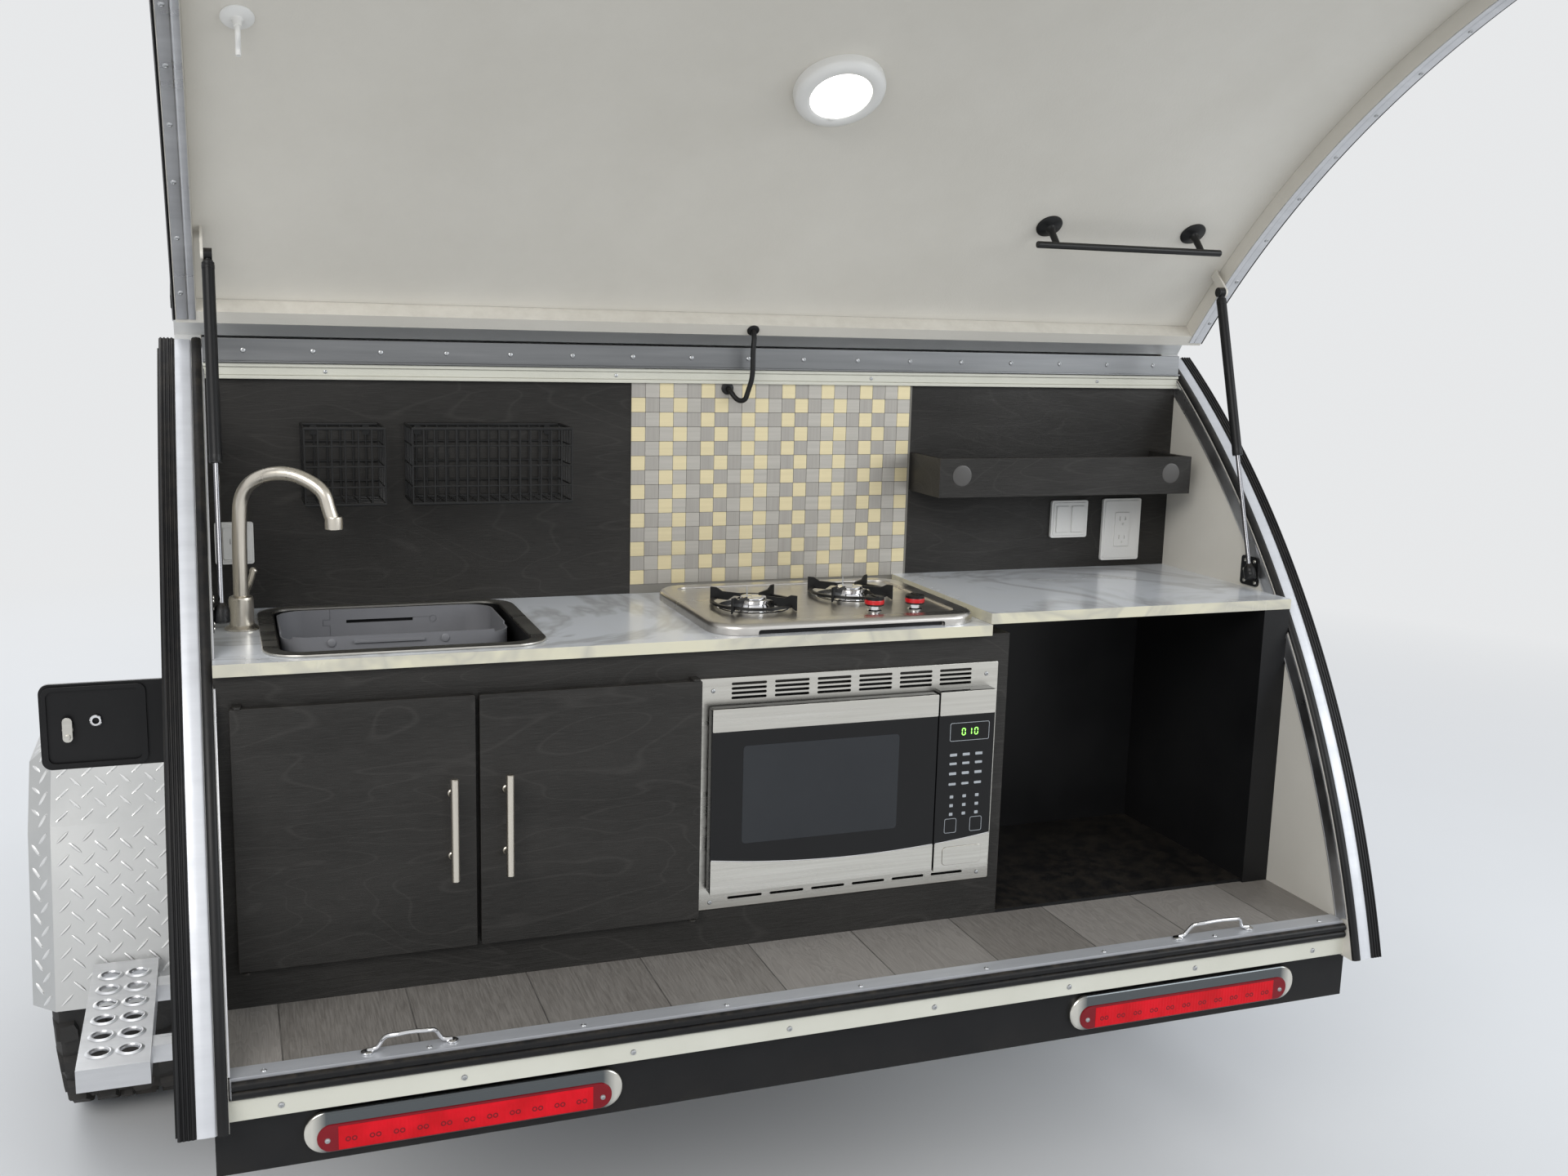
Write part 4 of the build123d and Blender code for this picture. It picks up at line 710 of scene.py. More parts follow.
def marble_top():
    """White laminate with soft grey veins, creamier along the edges."""
    finish = Finish("marble_laminate", Coat_Weight=0.3, Coat_Roughness=0.12)
    tree = finish.tree
    warped = noise(tree, finish.place, 2.2, 4.0, 0.6, 1.6)
    vein = math_node(tree, "ABSOLUTE", math_node(tree, "SUBTRACT", warped, 0.5))
    veins = ramp(tree, vein, 0.0, 0.055, 1.0, 0.0)
    faint = ramp(tree, noise(tree, finish.place, 5.5, 5.0, 0.6, 0.8), 0.45, 0.75)
    normal = add(tree, "ShaderNodeNewGeometry").outputs["Normal"]
    side = ramp(tree, split_xyz(tree, normal)["Z"], 0.2, 0.8, 1.0, 0.0)
    base = finish.mix(side, (0.74, 0.765, 0.8), (0.62, 0.585, 0.44))
    clouded = finish.mix(ramp(tree, faint, 0, 1, 0, 0.35), base, (0.5, 0.49, 0.46))
    finish.feed(Base_Color=finish.mix(ramp(tree, veins, 0, 1, 0, 0.5), clouded, (0.34, 0.33, 0.31)))
    finish.rough(faint, 0.22, 0.32)
    return finish.material


def lined_panel(name, mask_of):
    """Gelcoat that is white outside, and warm white where the mask says that it faces the galley."""
    finish = Finish(name, Coat_Weight=0.25, Coat_Roughness=0.12)
    mask = mask_of(finish)
    mottle = finish.group("mottle", Scale=5.0)
    white = finish.mix(mottle["Patches"], (0.7, 0.7, 0.685), (0.66, 0.66, 0.645))
    warm = finish.mix(mottle["Patches"], LINING[0], LINING[1])
    finish.dusted(finish.mix(mask, white, warm), 0.25, 0.28, 0.1)
    finish.rough(mask, 0.2, 0.46)
    finish.bump(mottle["Specks"], 0.00006)
    return finish.material


def within_walls(finish):
    """Where a wall faces inward."""
    aside = math_node(finish.tree, "ABSOLUTE", split_xyz(finish.tree, finish.place)["Y"])
    return math_node(finish.tree, "LESS_THAN", aside, WALL_IN + 0.002)


def under_hatch(finish):
    """Where the open hatch lies inward of its outer skin."""
    centre = LIFT @ Vector((ARC_X, 0, ARC_Z))
    far = add(finish.tree, "ShaderNodeVectorMath", operation="DISTANCE")
    finish.tree.links.new(stretched(finish.tree, finish.place, (1, 0, 1)), far.inputs[0])
    far.inputs[1].default_value = (centre.x, 0, centre.z)
    return math_node(finish.tree, "LESS_THAN", far.outputs["Value"], ARC_R + SKIN_T - 0.003)


def tile_finish(name, colour, other, stretch):
    """A small metal tile, brushed one way, part bare and part lacquered."""
    return metal(name, colour, other, 0.36, 0.5, stretch, 0.00001, Metallic=0.55)


def tread_aluminium():
    """Bright rolled aluminium with smears and fine scratches."""
    finish = Finish("rolled_aluminium", Metallic=1.0)
    mottle = finish.group("mottle", Scale=7.0)
    fine = noise(finish.tree, finish.place, 14.0, 3.0, 0.5)
    tone = finish.mix(mottle["Patches"], (0.6, 0.605, 0.6), (0.53, 0.535, 0.53))
    finish.dusted(tone, 0.1, 0.35, -0.05, (0.22, 0.18, 0.13))
    finish.rough(ramp(finish.tree, fine, 0.3, 0.7), 0.28, 0.36)
    return finish.material


def tyre_rubber():
    finish = Finish("tyre_rubber", Roughness=0.8)
    mottle = finish.group("mottle", Scale=9.0)
    tone = finish.mix(mottle["Patches"], (0.014, 0.014, 0.014), (0.024, 0.023, 0.022))
    finish.dusted(tone, 0.2, 0.55, -0.15, (0.13, 0.105, 0.08))
    finish.rough(mottle["Patches"], 0.62, 0.85)
    finish.bump(mottle["Specks"], 0.00025)
    return finish.material


def red_lens():
    """Red lamp plastic with moulded prisms."""
    finish = Finish("red_lens", Coat_Weight=0.12, Coat_Roughness=0.06, Roughness=0.25,
        Specular_IOR_Level=0.15)
    tree = finish.tree
    waves = add(tree, "ShaderNodeTexWave", {"Scale": 55.0, "Distortion": 0.3}, bands_direction="Y")
    tree.links.new(finish.place, waves.inputs["Vector"])
    patches = noise(tree, finish.place, 26.0, 3.0, 0.5)
    finish.feed(Base_Color=finish.mix(ramp(tree, patches, 0.35, 0.65), (0.46, 0.001, 0.006),
        (0.58, 0.002, 0.01)))
    finish.feed(Emission_Color=finish.mix(ramp(tree, patches, 0.35, 0.65), (0.3, 0.0, 0.003),
        (0.42, 0.001, 0.008)))
    finish.shader.inputs["Emission Strength"].default_value = 0.16
    finish.bump(waves.outputs["Fac"], 0.0002)
    return finish.material


def glass(name, colour):
    """Tinted clear plastic or glass with faint smears."""
    finish = Finish(name, Metallic=0.0, Transmission_Weight=1.0, IOR=1.45)
    finish.shader.inputs["Base Color"].default_value = (*colour, 1.0)
    mottle = finish.group("mottle", Scale=3.0)
    finish.rough(mottle["Patches"], 0.0, 0.02)
    return finish.material


def glowing(name, colour, strength):
    """A lit diffuser, brighter in its middle patches."""
    finish = Finish(name, Roughness=0.4)
    finish.shader.inputs["Emission Strength"].default_value = strength
    mottle = finish.group("mottle", Scale=20.0)
    bright = finish.mix(mottle["Patches"], colour, tuple(0.9 * c for c in colour))
    finish.feed(Base_Color=bright, Emission_Color=bright)
    return finish.material


FINISH = {
    "wall_panel": painted("white_gelcoat", (0.7, 0.7, 0.685), (0.66, 0.66, 0.645), 0.16, 0.28,
        dust=(0.3, 0.28, 0.15), Coat_Weight=0.4, Coat_Roughness=0.08),
    "lining": painted("warm_white_lining", *LINING, 0.36, 0.52, dust=(0.1, 0.08, 0.3), grit=0.0001),
    "frame_black": painted("black_powder_coat", (0.007, 0.007, 0.0075), (0.011, 0.011, 0.0115), 0.34, 0.5,
        dust=(0.25, 0.3, 0.05), Specular_IOR_Level=0.2, rubbed=(0.1, 0.1, 0.1)),
    "trim_black": painted("black_rubber_trim", (0.006, 0.006, 0.0065), (0.01, 0.01, 0.0105), 0.3, 0.45,
        dust=(0.2, 0.2, 0.1), Specular_IOR_Level=0.22),
    "tread_plate": tread_aluminium(),
    "aluminium": metal("satin_aluminium", (0.66, 0.665, 0.68), (0.56, 0.565, 0.58), 0.26, 0.42,
        (50, 5, 50)),
    "zinc_steel": metal("zinc_plated_steel", (0.52, 0.53, 0.54), (0.4, 0.41, 0.42), 0.32, 0.5, (20, 20, 8)),
    "stainless": metal("brushed_stainless", (0.66, 0.645, 0.6), (0.54, 0.525, 0.48), 0.22, 0.36,
        (90, 4, 220)),
    "stained_ply": stained_ply(),
    "deck_boards": deck_boards(),
    "marble_top": marble_top(),
    "tyre": tyre_rubber(),
    "wheel_paint": painted("black_wheel_paint", (0.01, 0.01, 0.011), (0.017, 0.017, 0.018), 0.25, 0.4,
        dust=(0.3, 0.5, -0.1), Coat_Weight=0.2, Specular_IOR_Level=0.3, rubbed=(0.12, 0.12, 0.12)),
    "lamp_lens": red_lens(),
    "clear_glass": glass("smoked_window", (0.12, 0.13, 0.135)),
    "dark_glass": painted("black_glass", (0.003, 0.003, 0.0035), (0.005, 0.005, 0.0055), 0.04, 0.1,
        dust=(0.05, 0.0, 0.0), grit=0.0, Specular_IOR_Level=0.3),
    "white_plastic": painted("white_plastic", (0.74, 0.73, 0.7), (0.7, 0.69, 0.66), 0.28, 0.4,
        dust=(0.12, 0.05, 0.2)),
    "black_plastic": painted("black_plastic", (0.007, 0.007, 0.0075), (0.011, 0.011, 0.0115), 0.3, 0.48,
        dust=(0.15, 0.05, 0.2), Specular_IOR_Level=0.25),
    "wire_black": painted("black_coated_wire", (0.007, 0.007, 0.007), (0.011, 0.011, 0.011), 0.3, 0.45,
        dust=(0.1, 0.0, 0.2), Specular_IOR_Level=0.3),
    "chrome": metal("chrome", (0.78, 0.78, 0.79), (0.72, 0.72, 0.73), 0.05, 0.12, (20, 20, 20), 0.0),
    "nickel": metal("satin_nickel", (0.7, 0.655, 0.575), (0.6, 0.56, 0.49), 0.24, 0.36, (160, 160, 8)),
}
TILE_FLAT = tile_finish("silver_tile_flat", (0.5, 0.475, 0.43), (0.42, 0.4, 0.36), (60, 5, 220))
TILE_CREAM = tile_finish("cream_tile", (0.75, 0.655, 0.42), (0.68, 0.59, 0.37), (60, 5, 220))
# The tiles brushed upright are a darker copy of the same silver: painted shade for how brushed metal catches
# the light.
TILE_UPRIGHT_PAINTED_SHADE = tile_finish("silver_tile_upright_painted_shade", (0.42, 0.4, 0.365), (0.35, 0.33, 0.3), (60, 220, 5))
GROUT = painted("tile_backing", (0.16, 0.15, 0.13), (0.2, 0.19, 0.165), 0.6, 0.7, dust=(0, 0, 0))
MICRO_SCREEN = painted("grey_window", (0.018, 0.02, 0.023), (0.023, 0.025, 0.028), 0.1, 0.18,
    dust=(0, 0, 0), grit=0.0, Specular_IOR_Level=0.3)
SINK_GREY = painted("grey_sink_plastic", (0.17, 0.17, 0.18), (0.2, 0.2, 0.21), 0.34, 0.48, dust=(0.1, 0, 0))
RED_BAND = painted("red_knob_band", (0.52, 0.008, 0.012), (0.6, 0.012, 0.016), 0.2, 0.3, dust=(0, 0, 0))
LAMP_GLOW = glowing("lit_diffuser", (1.0, 0.985, 0.95), 4.0)
DIGITS = glowing("green_digits", (0.35, 1.0, 0.15), 1.6)
LEGEND = painted("grey_legends", (0.34, 0.36, 0.38), (0.4, 0.42, 0.44), 0.4, 0.5, dust=(0, 0, 0))
AMBER = painted("amber_lens", (0.8, 0.22, 0.01), (0.9, 0.28, 0.015), 0.15, 0.25, Coat_Weight=1.0)
GALVANISED = metal("bright_strip", (0.63, 0.64, 0.665), (0.56, 0.57, 0.595), 0.4, 0.55, (60, 3, 60),
    Metallic=0.55)
CREAM_STRIP = painted("cream_aluminium", (0.62, 0.61, 0.53), (0.56, 0.55, 0.47), 0.3, 0.45,
    dust=(0.3, 0.1, 0.2))
DARK_STRIP = metal("dark_strip", (0.24, 0.245, 0.25), (0.17, 0.175, 0.18), 0.3, 0.45, (60, 3, 60))
HOB_STEEL = metal("hob_steel", (0.62, 0.6, 0.57), (0.55, 0.53, 0.5), 0.26, 0.36, (70, 4, 70), 0.000006)
DARK_ROD = metal("dark_rod", (0.2, 0.2, 0.21), (0.15, 0.15, 0.16), 0.14, 0.24, (20, 20, 20), 0.0)
DISC_PLY = painted("ply_disc", (0.06, 0.057, 0.054), (0.075, 0.071, 0.067), 0.3, 0.45, dust=(0.1, 0, 0))
LENS_DARK = painted("dark_red_lens", (0.15, 0.001, 0.006), (0.2, 0.002, 0.008), 0.12, 0.2, dust=(0, 0, 0),
    Coat_Weight=0.2, Coat_Roughness=0.05, Specular_IOR_Level=0.2)
WALL_SKIN = lined_panel("wall_skin", within_walls)
HATCH_SKIN = lined_panel("hatch_skin", under_hatch)
# Raised tread bars: the plate's aluminium made much lighter, a painted highlight on the bars.
TREAD_PAINTED_HIGHLIGHT = metal("raised_tread_painted_highlight", (0.9, 0.9, 0.89), (0.8, 0.8, 0.79), 0.16, 0.28, (9, 9, 9), 0.00001)

# The solids that each slot's finish dresses
NODE_FINISH = {
    "wall_panel": "side_wall_left side_wall_right roof_shell front_panel hatch_shell entry_door_left "
        "entry_door_right",
    "frame_black": "chassis_frame tongue_frame axle_beam bumper strut_brackets strut_cylinder_left "
        "strut_cylinder_right",
    "trim_black": "rear_trims utility_box",
    "tread_plate": "tongue_box tongue_lid fenders",
    "aluminium": "galley_header threshold steps",
    "zinc_steel": "coupler jack_tube jack_leg",
    "stainless": "sink cooktop microwave_case",
    "stained_ply": "bulkhead cabinet_frame shelf cabinet_door_left cabinet_door_right",
    "deck_boards": "floor_deck",
    "marble_top": "counter_left counter_right",
    "tyre": "tyre_left tyre_right",
    "wheel_paint": "rim_left rim_right",
    "lamp_lens": "tail_lamps",
    "clear_glass": "entry_window_left entry_window_right",
    "dark_glass": "microwave_door",
    "white_plastic": "wall_plates roof_vent hatch_lamp",
    "black_plastic": "cooler_bay utility_door",
    "wire_black": "wire_baskets towel_bar",
    "chrome": "strut_rod_left strut_rod_right",
    "nickel": "faucet",
}
# Solids that wear another finish than their slot's usual one
OWN_FINISH = {"side_wall_left": WALL_SKIN, "side_wall_right": WALL_SKIN, "hatch_shell": HATCH_SKIN,
    "threshold": GALVANISED, "strut_rod_left": DARK_ROD, "strut_rod_right": DARK_ROD}


def dress_nodes():
    """Gives every solid its material."""
    for slot, names in NODE_FINISH.items():
        for name in names.split():
            piece = node[name]
            piece.data.materials.clear()
            piece.data.materials.append(OWN_FINISH.get(name, FINISH[slot]))
            select_only(piece)
            bpy.ops.object.shade_smooth_by_angle(angle=math.radians(35))


# Small parts used in several places

def screw_heads(name, places, axis, radius, slot="zinc_steel"):
    """Domed screw heads at the places, each with a sunk middle, facing along an axis."""
    head = turned("screw", [(radius * 0.34, radius * 0.22), (radius * 0.42, radius * 0.5),
        (radius * 0.82, radius * 0.34), (radius, 0.0)], (0, 0, 0), axis, 12)
    copies = [copied(head, place) for place in places]
    discard(head)
    hand_over(joined(copies, name), slot)


def spread(first, last, count):
    """Evenly spaced numbers from one to another."""
    return [first + (last - first) * i / (count - 1) for i in range(count)]


# Bulkhead: tiles and header

TILE_PITCH = 0.0254
TILE_GAP = 0.0005
TILE_T = 0.0016
TILES_LEFT = 0.211
TILES_RIGHT = -0.327


def mosaic():
    """Brushed tiles on the bulkhead behind the hob; every third is cream, shifted from row to row, and the
    silver ones brushed upright are darker, a painted shade.
    """
    low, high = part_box("bulkhead")
    face = low.x
    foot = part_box("counter_left")[1].z
    across = round((TILES_LEFT - TILES_RIGHT) / TILE_PITCH)
    up = int((high.z - foot) / TILE_PITCH) + 1
    backing = plate("mosaic_backing", (face - 0.001, TILES_RIGHT, foot),
        (face - 0.0002, TILES_LEFT, high.z), 0, 0.001, 0)
    hand_over(backing, "stainless", finish=GROUT)
    half = (TILE_PITCH - TILE_GAP) / 2
    tile = plate("tile", (face - 0.001 - TILE_T, -half, -half), (face - 0.001, half, half), 0, 0.0006,
        0.0003, 1)
    tones = {"flat": [], "upright": [], "cream": []}
    for j in range(up):
        for i in range(across):
            z = high.z - (j + 0.5) * TILE_PITCH
            if z - half < foot:
                continue
            tone = "cream" if i % 3 == (0 if j % 2 else 2) else ("flat" if (i + j) % 2 else "upright")
            tones[tone].append(copied(tile, (0, TILES_LEFT - (i + 0.5) * TILE_PITCH, z)))
    discard(tile)
    finishes = {"flat": TILE_FLAT, "upright": TILE_UPRIGHT_PAINTED_SHADE, "cream": TILE_CREAM}
    for tone, tiles in tones.items():
        hand_over(joined(tiles, "mosaic_" + tone), "stainless", finish=finishes[tone])


def header_strips():
    """The screwed strip under the hatch's hinge, over a ribbed cream one."""
    low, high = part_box("galley_header")
    y = WALL_IN - 0.001
    x = low.x
    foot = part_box("bulkhead")[1].z
    ribs = []
    for z0, z1, proud in ((0.0, 0.006, 0.005), (0.006, 0.019, 0.0025), (0.019, 0.025, 0.006)):
        ribs.append(plate("rib", (x - proud, -y, foot + z0), (x - 0.0003, y, foot + z1), 1, 0.0012, 0, 3))
    hand_over(joined(ribs, "header_cream_strip"), "aluminium", finish=CREAM_STRIP)
    top = high.z - 0.0125
    ledge = plate("header_ledge", (x - 0.004, -y, foot + 0.026), (x - 0.0003, y, top), 1, 0.0012, 0, 3)
    lip = plate("lip", (x - 0.011, -y, foot + 0.0255), (x - 0.0003, y, foot + 0.0285), 1, 0.001, 0, 3)
    hand_over(joined([ledge, lip], "header_strip"), "aluminium", finish=DARK_STRIP)
    z = (foot + 0.026 + top) / 2
    screw_heads("header_screws", [(x - 0.004, s, z) for s in spread(-y + 0.06, y - 0.06, 17)],
        (-1, 0, 0.05), 0.0042)
    screw_heads("cream_strip_screws", [(x - 0.0025, s, foot + 0.0125) for s in spread(-0.72, 0.72, 4)],
        (-1, 0, 0), 0.0034)


# Rear edge of the body: strips and seals along the arc

SILL_SLOPE = math.degrees(math.acos((0.075 - ARC_Z) / ARC_R))
EDGE_STEPS = 60
# Sections of the strips along a wall's rear edge, as (outward, y) corners
SEAL_SECTION = ((0.0003, 0.9056), (0.005, 0.9056), (0.0074, 0.9078), (0.0085, 0.9128), (0.0074, 0.9178),
    (0.005, 0.92), (0.0003, 0.92))
BRIGHT_SECTION = ((0.0003, 0.921), (0.002, 0.9212), (0.0034, 0.924), (0.003, 0.93), (0.004, 0.933),
    (0.0034, 0.94), (0.0022, 0.9446), (0.0003, 0.9446))
ANGLE_SECTION = ((-0.001, 0.9048), (-0.001, 0.9022), (-0.005, 0.9018), (-0.006, 0.903), (-0.024, 0.903),
    (-0.025, 0.9022), (-0.027, 0.9024), (-0.027, 0.9048))


def edge_strips():
    """Seal, bright strip and inner angle along both walls' rear edges."""
    last = HINGE_SLOPE + 0.4
    for name, section, first, slot, finish in (
            ("edge_seal", SEAL_SECTION, SILL_SLOPE, "trim_black", FINISH["trim_black"]),
            ("edge_bright_strip", BRIGHT_SECTION, SILL_SLOPE, "aluminium", GALVANISED),
            ("edge_inner_angle", ANGLE_SECTION, SILL_SLOPE - 2.2, "aluminium", FINISH["aluminium"])):
        left = spun(name + "_left", section, ARC, first, last, EDGE_STEPS)
        on_both_sides(left, name, slot, finish=finish)


def rear_sill():
    """Seal and cream strip across the rear, under the threshold, and two wire handles on it."""
    low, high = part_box("threshold")
    y = WALL_IN - 0.004
    x = low.x
    bulbs = [round_bar("bulb", (x - 0.005, -y, high.z - drop), (x - 0.005, y, high.z - drop), 0.0066, 20)
        for drop in (0.0095, 0.0215)]
    web = plate("web", (x - 0.003, -y, high.z - 0.029), (x - 0.0003, y, high.z - 0.004), 1, 0.001, 0, 2)
    hand_over(joined(bulbs + [web], "rear_seal"), "trim_black")
    strip = plate("rear_cream_strip", (x - 0.0035, -WALL_OUT + 0.004, low.z + 0.001),
        (x - 0.0003, WALL_OUT - 0.004, high.z - 0.03), 1, 0.0012, 0, 3)
    hand_over(strip, "aluminium", finish=CREAM_STRIP)
    z = (low.z + high.z - 0.03) / 2
    screw_heads("rear_strip_screws", [(x - 0.0035, s, z) for s in spread(-0.84, 0.84, 8)], (-1, 0, 0),
        0.0045)
    screw_heads("threshold_screws", [(x + 0.01, s, high.z) for s in spread(-0.86, 0.86, 9)], (0, 0, 1),
        0.004)
    for name, a, b in (("threshold_handle_left", 0.717, 0.623), ("threshold_handle_right", -0.588, -0.709)):
        top = high.z + 0.0006
        foot = (low.x + high.x) / 2 + 0.004
        lean = 0.012
        rise = 0.026
        route = [(foot, a + 0.01, top + 0.0032), (foot, a, top + 0.0034), (foot, a - 0.005, top + 0.007),
            (foot - lean / 2, a - 0.013, top + rise * 0.9), (foot - lean, a - 0.024, top + rise),
            (foot - lean, (a + b) / 2, top + rise + 0.002), (foot - lean, b + 0.024, top + rise),
            (foot - lean / 2, b + 0.013, top + rise * 0.9), (foot, b + 0.005, top + 0.007),
            (foot, b, top + 0.0034), (foot, b - 0.01, top + 0.0032)]
        handle = wire(name, route, 0.0031)
        eyes = [lathed("eye", [(0.0026, 0), (0.0085, 0), (0.0085, 0.0016), (0.006, 0.003),
            (0.0026, 0.0034)], (foot, s, top), (0, 0, 1), 20) for s in (a + 0.01, b - 0.01)]
        hand_over(joined([handle] + eyes, name), "chrome")


# Microwave

CABINET_FACE = -3.8
OVEN_Z0 = 0.234
OVEN_Z1 = 0.543
PANEL_Y0 = -0.305
PANEL_Y1 = -0.202
DOOR_Y0 = -0.201
DOOR_Y1 = 0.188
STRIP_HIGH = 0.041
APRON_MIDDLE = 0.043
APRON_RISE = 0.017


def apron_top(y):
    """Height of the stainless foot's edge across the oven's front, a shallow arc."""
    middle = (PANEL_Y0 + DOOR_Y1) / 2
    half = (DOOR_Y1 - PANEL_Y0) / 2
    return OVEN_Z0 + APRON_MIDDLE + APRON_RISE * ((y - middle) / half) ** 2


def oven_apron(name, y0, y1, x, low):
    """A stainless foot strip whose top edge follows the arc, and the bright line along it."""
    foot = reshaped(block(name, (x, y0, low), (x + 0.004, y1, low + 0.02)), 1, 15,
        lambda at: Vector((at.x, at.y, apron_top(at.y))) if at.z > low + 0.01 else at)
    bevel_edges(foot, 0.001, lambda a, b: a.x < x + 1e-5 and b.x < x + 1e-5
        and (abs(a.y - b.y) < 1e-6 or (a.z > low + 0.01 and b.z > low + 0.01)), 2)
    line = [(x + 0.0012, y, apron_top(y) + 0.0004) for y in spread(y0 + 0.001, y1 - 0.001, 9)]
    return foot, wire(name + "_line", line, 0.0011)


def microwave_front():
    """Trim frame with its vents, the oven's cavity and the control panel."""
    low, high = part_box("microwave_case")
    face = CABINET_FACE
    y0, y1 = low.y, high.y
    z0, z1 = low.z, high.z
    trim = plate("microwave_trim", (face - 0.005, y0, z0), (face, y1, z1), 0, 0.003, 0.0012, 4)
    slots = []
    wide, pitch = 0.0585, 0.0722
    for g in range(6):
        left = y1 - 0.052 - g * pitch
        heights = [z1 - 0.0105 - k * 0.0075 for k in range(4)] + [z0 + 0.0165]
        for z in heights:
            slots.append(plate("slot", (face - 0.02, left - wide, z - 0.0022),
                (face + 0.004, left, z + 0.0022), 0, 0.002, 0, 3))
    cut(trim, joined(slots, "slots"))
    mouth = plate("mouth", (face - 0.02, PANEL_Y0 + 0.006, OVEN_Z0 + 0.006),
        (face + 0.02, DOOR_Y1 - 0.006, OVEN_Z1 - 0.006), 0, 0.003, 0, 3)
    cut(trim, mouth)
    hand_over(trim, "stainless", "microwave_case")
    # A black sheet behind the vent slots and round the mouth: painted shade for the dark inside.
    shade = plate("microwave_vent_painted_shade", (face + 0.006, y0 + 0.02, z0 + 0.008),
        (face + 0.008, y1 - 0.02, z1 - 0.008), 0, 0.003, 0, 3)
    cut(shade, plate("mouth", (face - 0.02, PANEL_Y0 + 0.004, OVEN_Z0 + 0.004),
        (face + 0.02, DOOR_Y1 - 0.004, OVEN_Z1 - 0.004), 0, 0.003, 0, 3))
    hand_over(shade, "black_plastic")
    corners = [(face - 0.005, y, z) for y in (y0 + 0.022, y1 - 0.022) for z in (z0 + 0.012, z1 - 0.02)]
    screw_heads("microwave_screws", corners, (-1, 0, 0), 0.0038)
    box = block("microwave_cavity", (face - 0.004, PANEL_Y0 + 0.002, OVEN_Z0 + 0.002),
        (high.x, DOOR_Y1 - 0.002, OVEN_Z1 - 0.002))
    room = plate("room", (face - 0.05, DOOR_Y0 + 0.006, OVEN_Z0 + 0.024),
        (high.x - 0.02, DOOR_Y1 - 0.016, OVEN_Z1 - 0.024), 0, 0.012, 0, 4)
    cut(box, room)
    hand_over(box, "black_plastic", finish=SINK_GREY)
    turntable = turned("microwave_turntable", [(0.118, 0.01), (0.126, 0.014), (0.128, 0.012), (0.12, 0.006),
        (0.02, 0.006), (0.018, 0.0)], ((face + high.x) / 2, (DOOR_Y0 + DOOR_Y1) / 2, OVEN_Z0 + 0.0242),
        (0, 0, 1), 40)
    hand_over(turntable, "dark_glass")
    control_panel(low.x, face)


def control_panel(front, back):
    """The oven's control panel: black glass between stainless ends, a display and rows of legends."""
    body = plate("control_panel", (front + 0.001, PANEL_Y0, OVEN_Z0), (back - 0.004, PANEL_Y1, OVEN_Z1), 0,
        0.004, 0.001, 4)
    hand_over(body, "dark_glass")
    top = plate("panel_top", (front - 0.0006, PANEL_Y0 + 0.0008, OVEN_Z1 - STRIP_HIGH),
        (front + 0.004, PANEL_Y1 - 0.0008, OVEN_Z1 - 0.001), 0, 0.002, 0.0008, 3)
    foot, line = oven_apron("panel_foot", PANEL_Y0 + 0.0008, PANEL_Y1 - 0.0008, front - 0.0006,
        OVEN_Z0 + 0.001)
    middle = (PANEL_Y0 + PANEL_Y1) / 2
    z = OVEN_Z0 + 0.026
    key = plate("push_button", (front - 0.0022, middle - 0.036, z - 0.016),
        (front, middle + 0.036, z + 0.016), 0, 0.007, 0.0012, 5)
    hand_over(joined([top, foot, key], "panel_stainless"), "stainless")
    hand_over(line, "chrome")
    legends = []
    for row, (drop, high) in enumerate(((0.109, 0.0045), (0.124, 0.004), (0.141, 0.0045), (0.159, 0.004),
            (0.181, 0.005), (0.196, 0.005), (0.211, 0.005))):
        for col in range(3):
            y = PANEL_Y1 - 0.029 - col * 0.0235
            wide = 0.0065 if row < 4 else 0.0032
            legends.append(plate("legend", (front + 0.0004, y - wide, OVEN_Z1 - drop - high / 2),
                (front + 0.0012, y + wide, OVEN_Z1 - drop + high / 2), 0, 0.0008, 0, 2))
    hand_over(joined(legends, "panel_legends"), "white_plastic", finish=LEGEND)
    outlines = []
    for y, drop, wide, high in ((PANEL_Y1 - 0.029, 0.231, 0.011, 0.0125),
            (PANEL_Y1 - 0.076, 0.231, 0.011, 0.0125), (PANEL_Y1 - 0.057, 0.07, 0.036, 0.0155)):
        ring = plate("outline", (front + 0.0004, y - wide, OVEN_Z1 - drop - high),
            (front + 0.0011, y + wide, OVEN_Z1 - drop + high), 0, 0.003, 0, 4)
        hole = plate("hole", (front - 0.002, y - wide + 0.0007, OVEN_Z1 - drop - high + 0.0007),
            (front + 0.003, y + wide - 0.0007, OVEN_Z1 - drop + high - 0.0007), 0, 0.0025, 0, 4)
        outlines.append(cut(ring, hole))
    hand_over(joined(outlines, "panel_outlines"), "white_plastic", finish=LEGEND)
    bars = []
    # Segments of a digit that are lit: top, upper sides, lower sides and foot
    lit = {"0": "tlrLRb", "1": "rR"}
    for k, digit in enumerate("010"):
        y = PANEL_Y1 - 0.046 - k * 0.0115
        z = OVEN_Z1 - 0.07
        for mark in lit[digit]:
            dy, dz, across = {"t": (0, 0.0055, 1), "b": (0, -0.0055, 1), "l": (0.0028, 0.0028, 0),
                "r": (-0.0028, 0.0028, 0), "L": (0.0028, -0.0028, 0), "R": (-0.0028, -0.0028, 0)}[mark]
            w, h = (0.0022, 0.0006) if across else (0.0006, 0.0022)
            bars.append(plate("segment", (front + 0.0002, y + dy - w, z + dz - h),
                (front + 0.0012, y + dy + w, z + dz + h), 0, 0.0005, 0, 1))
    hand_over(joined(bars, "panel_digits"), "white_plastic", finish=DIGITS)


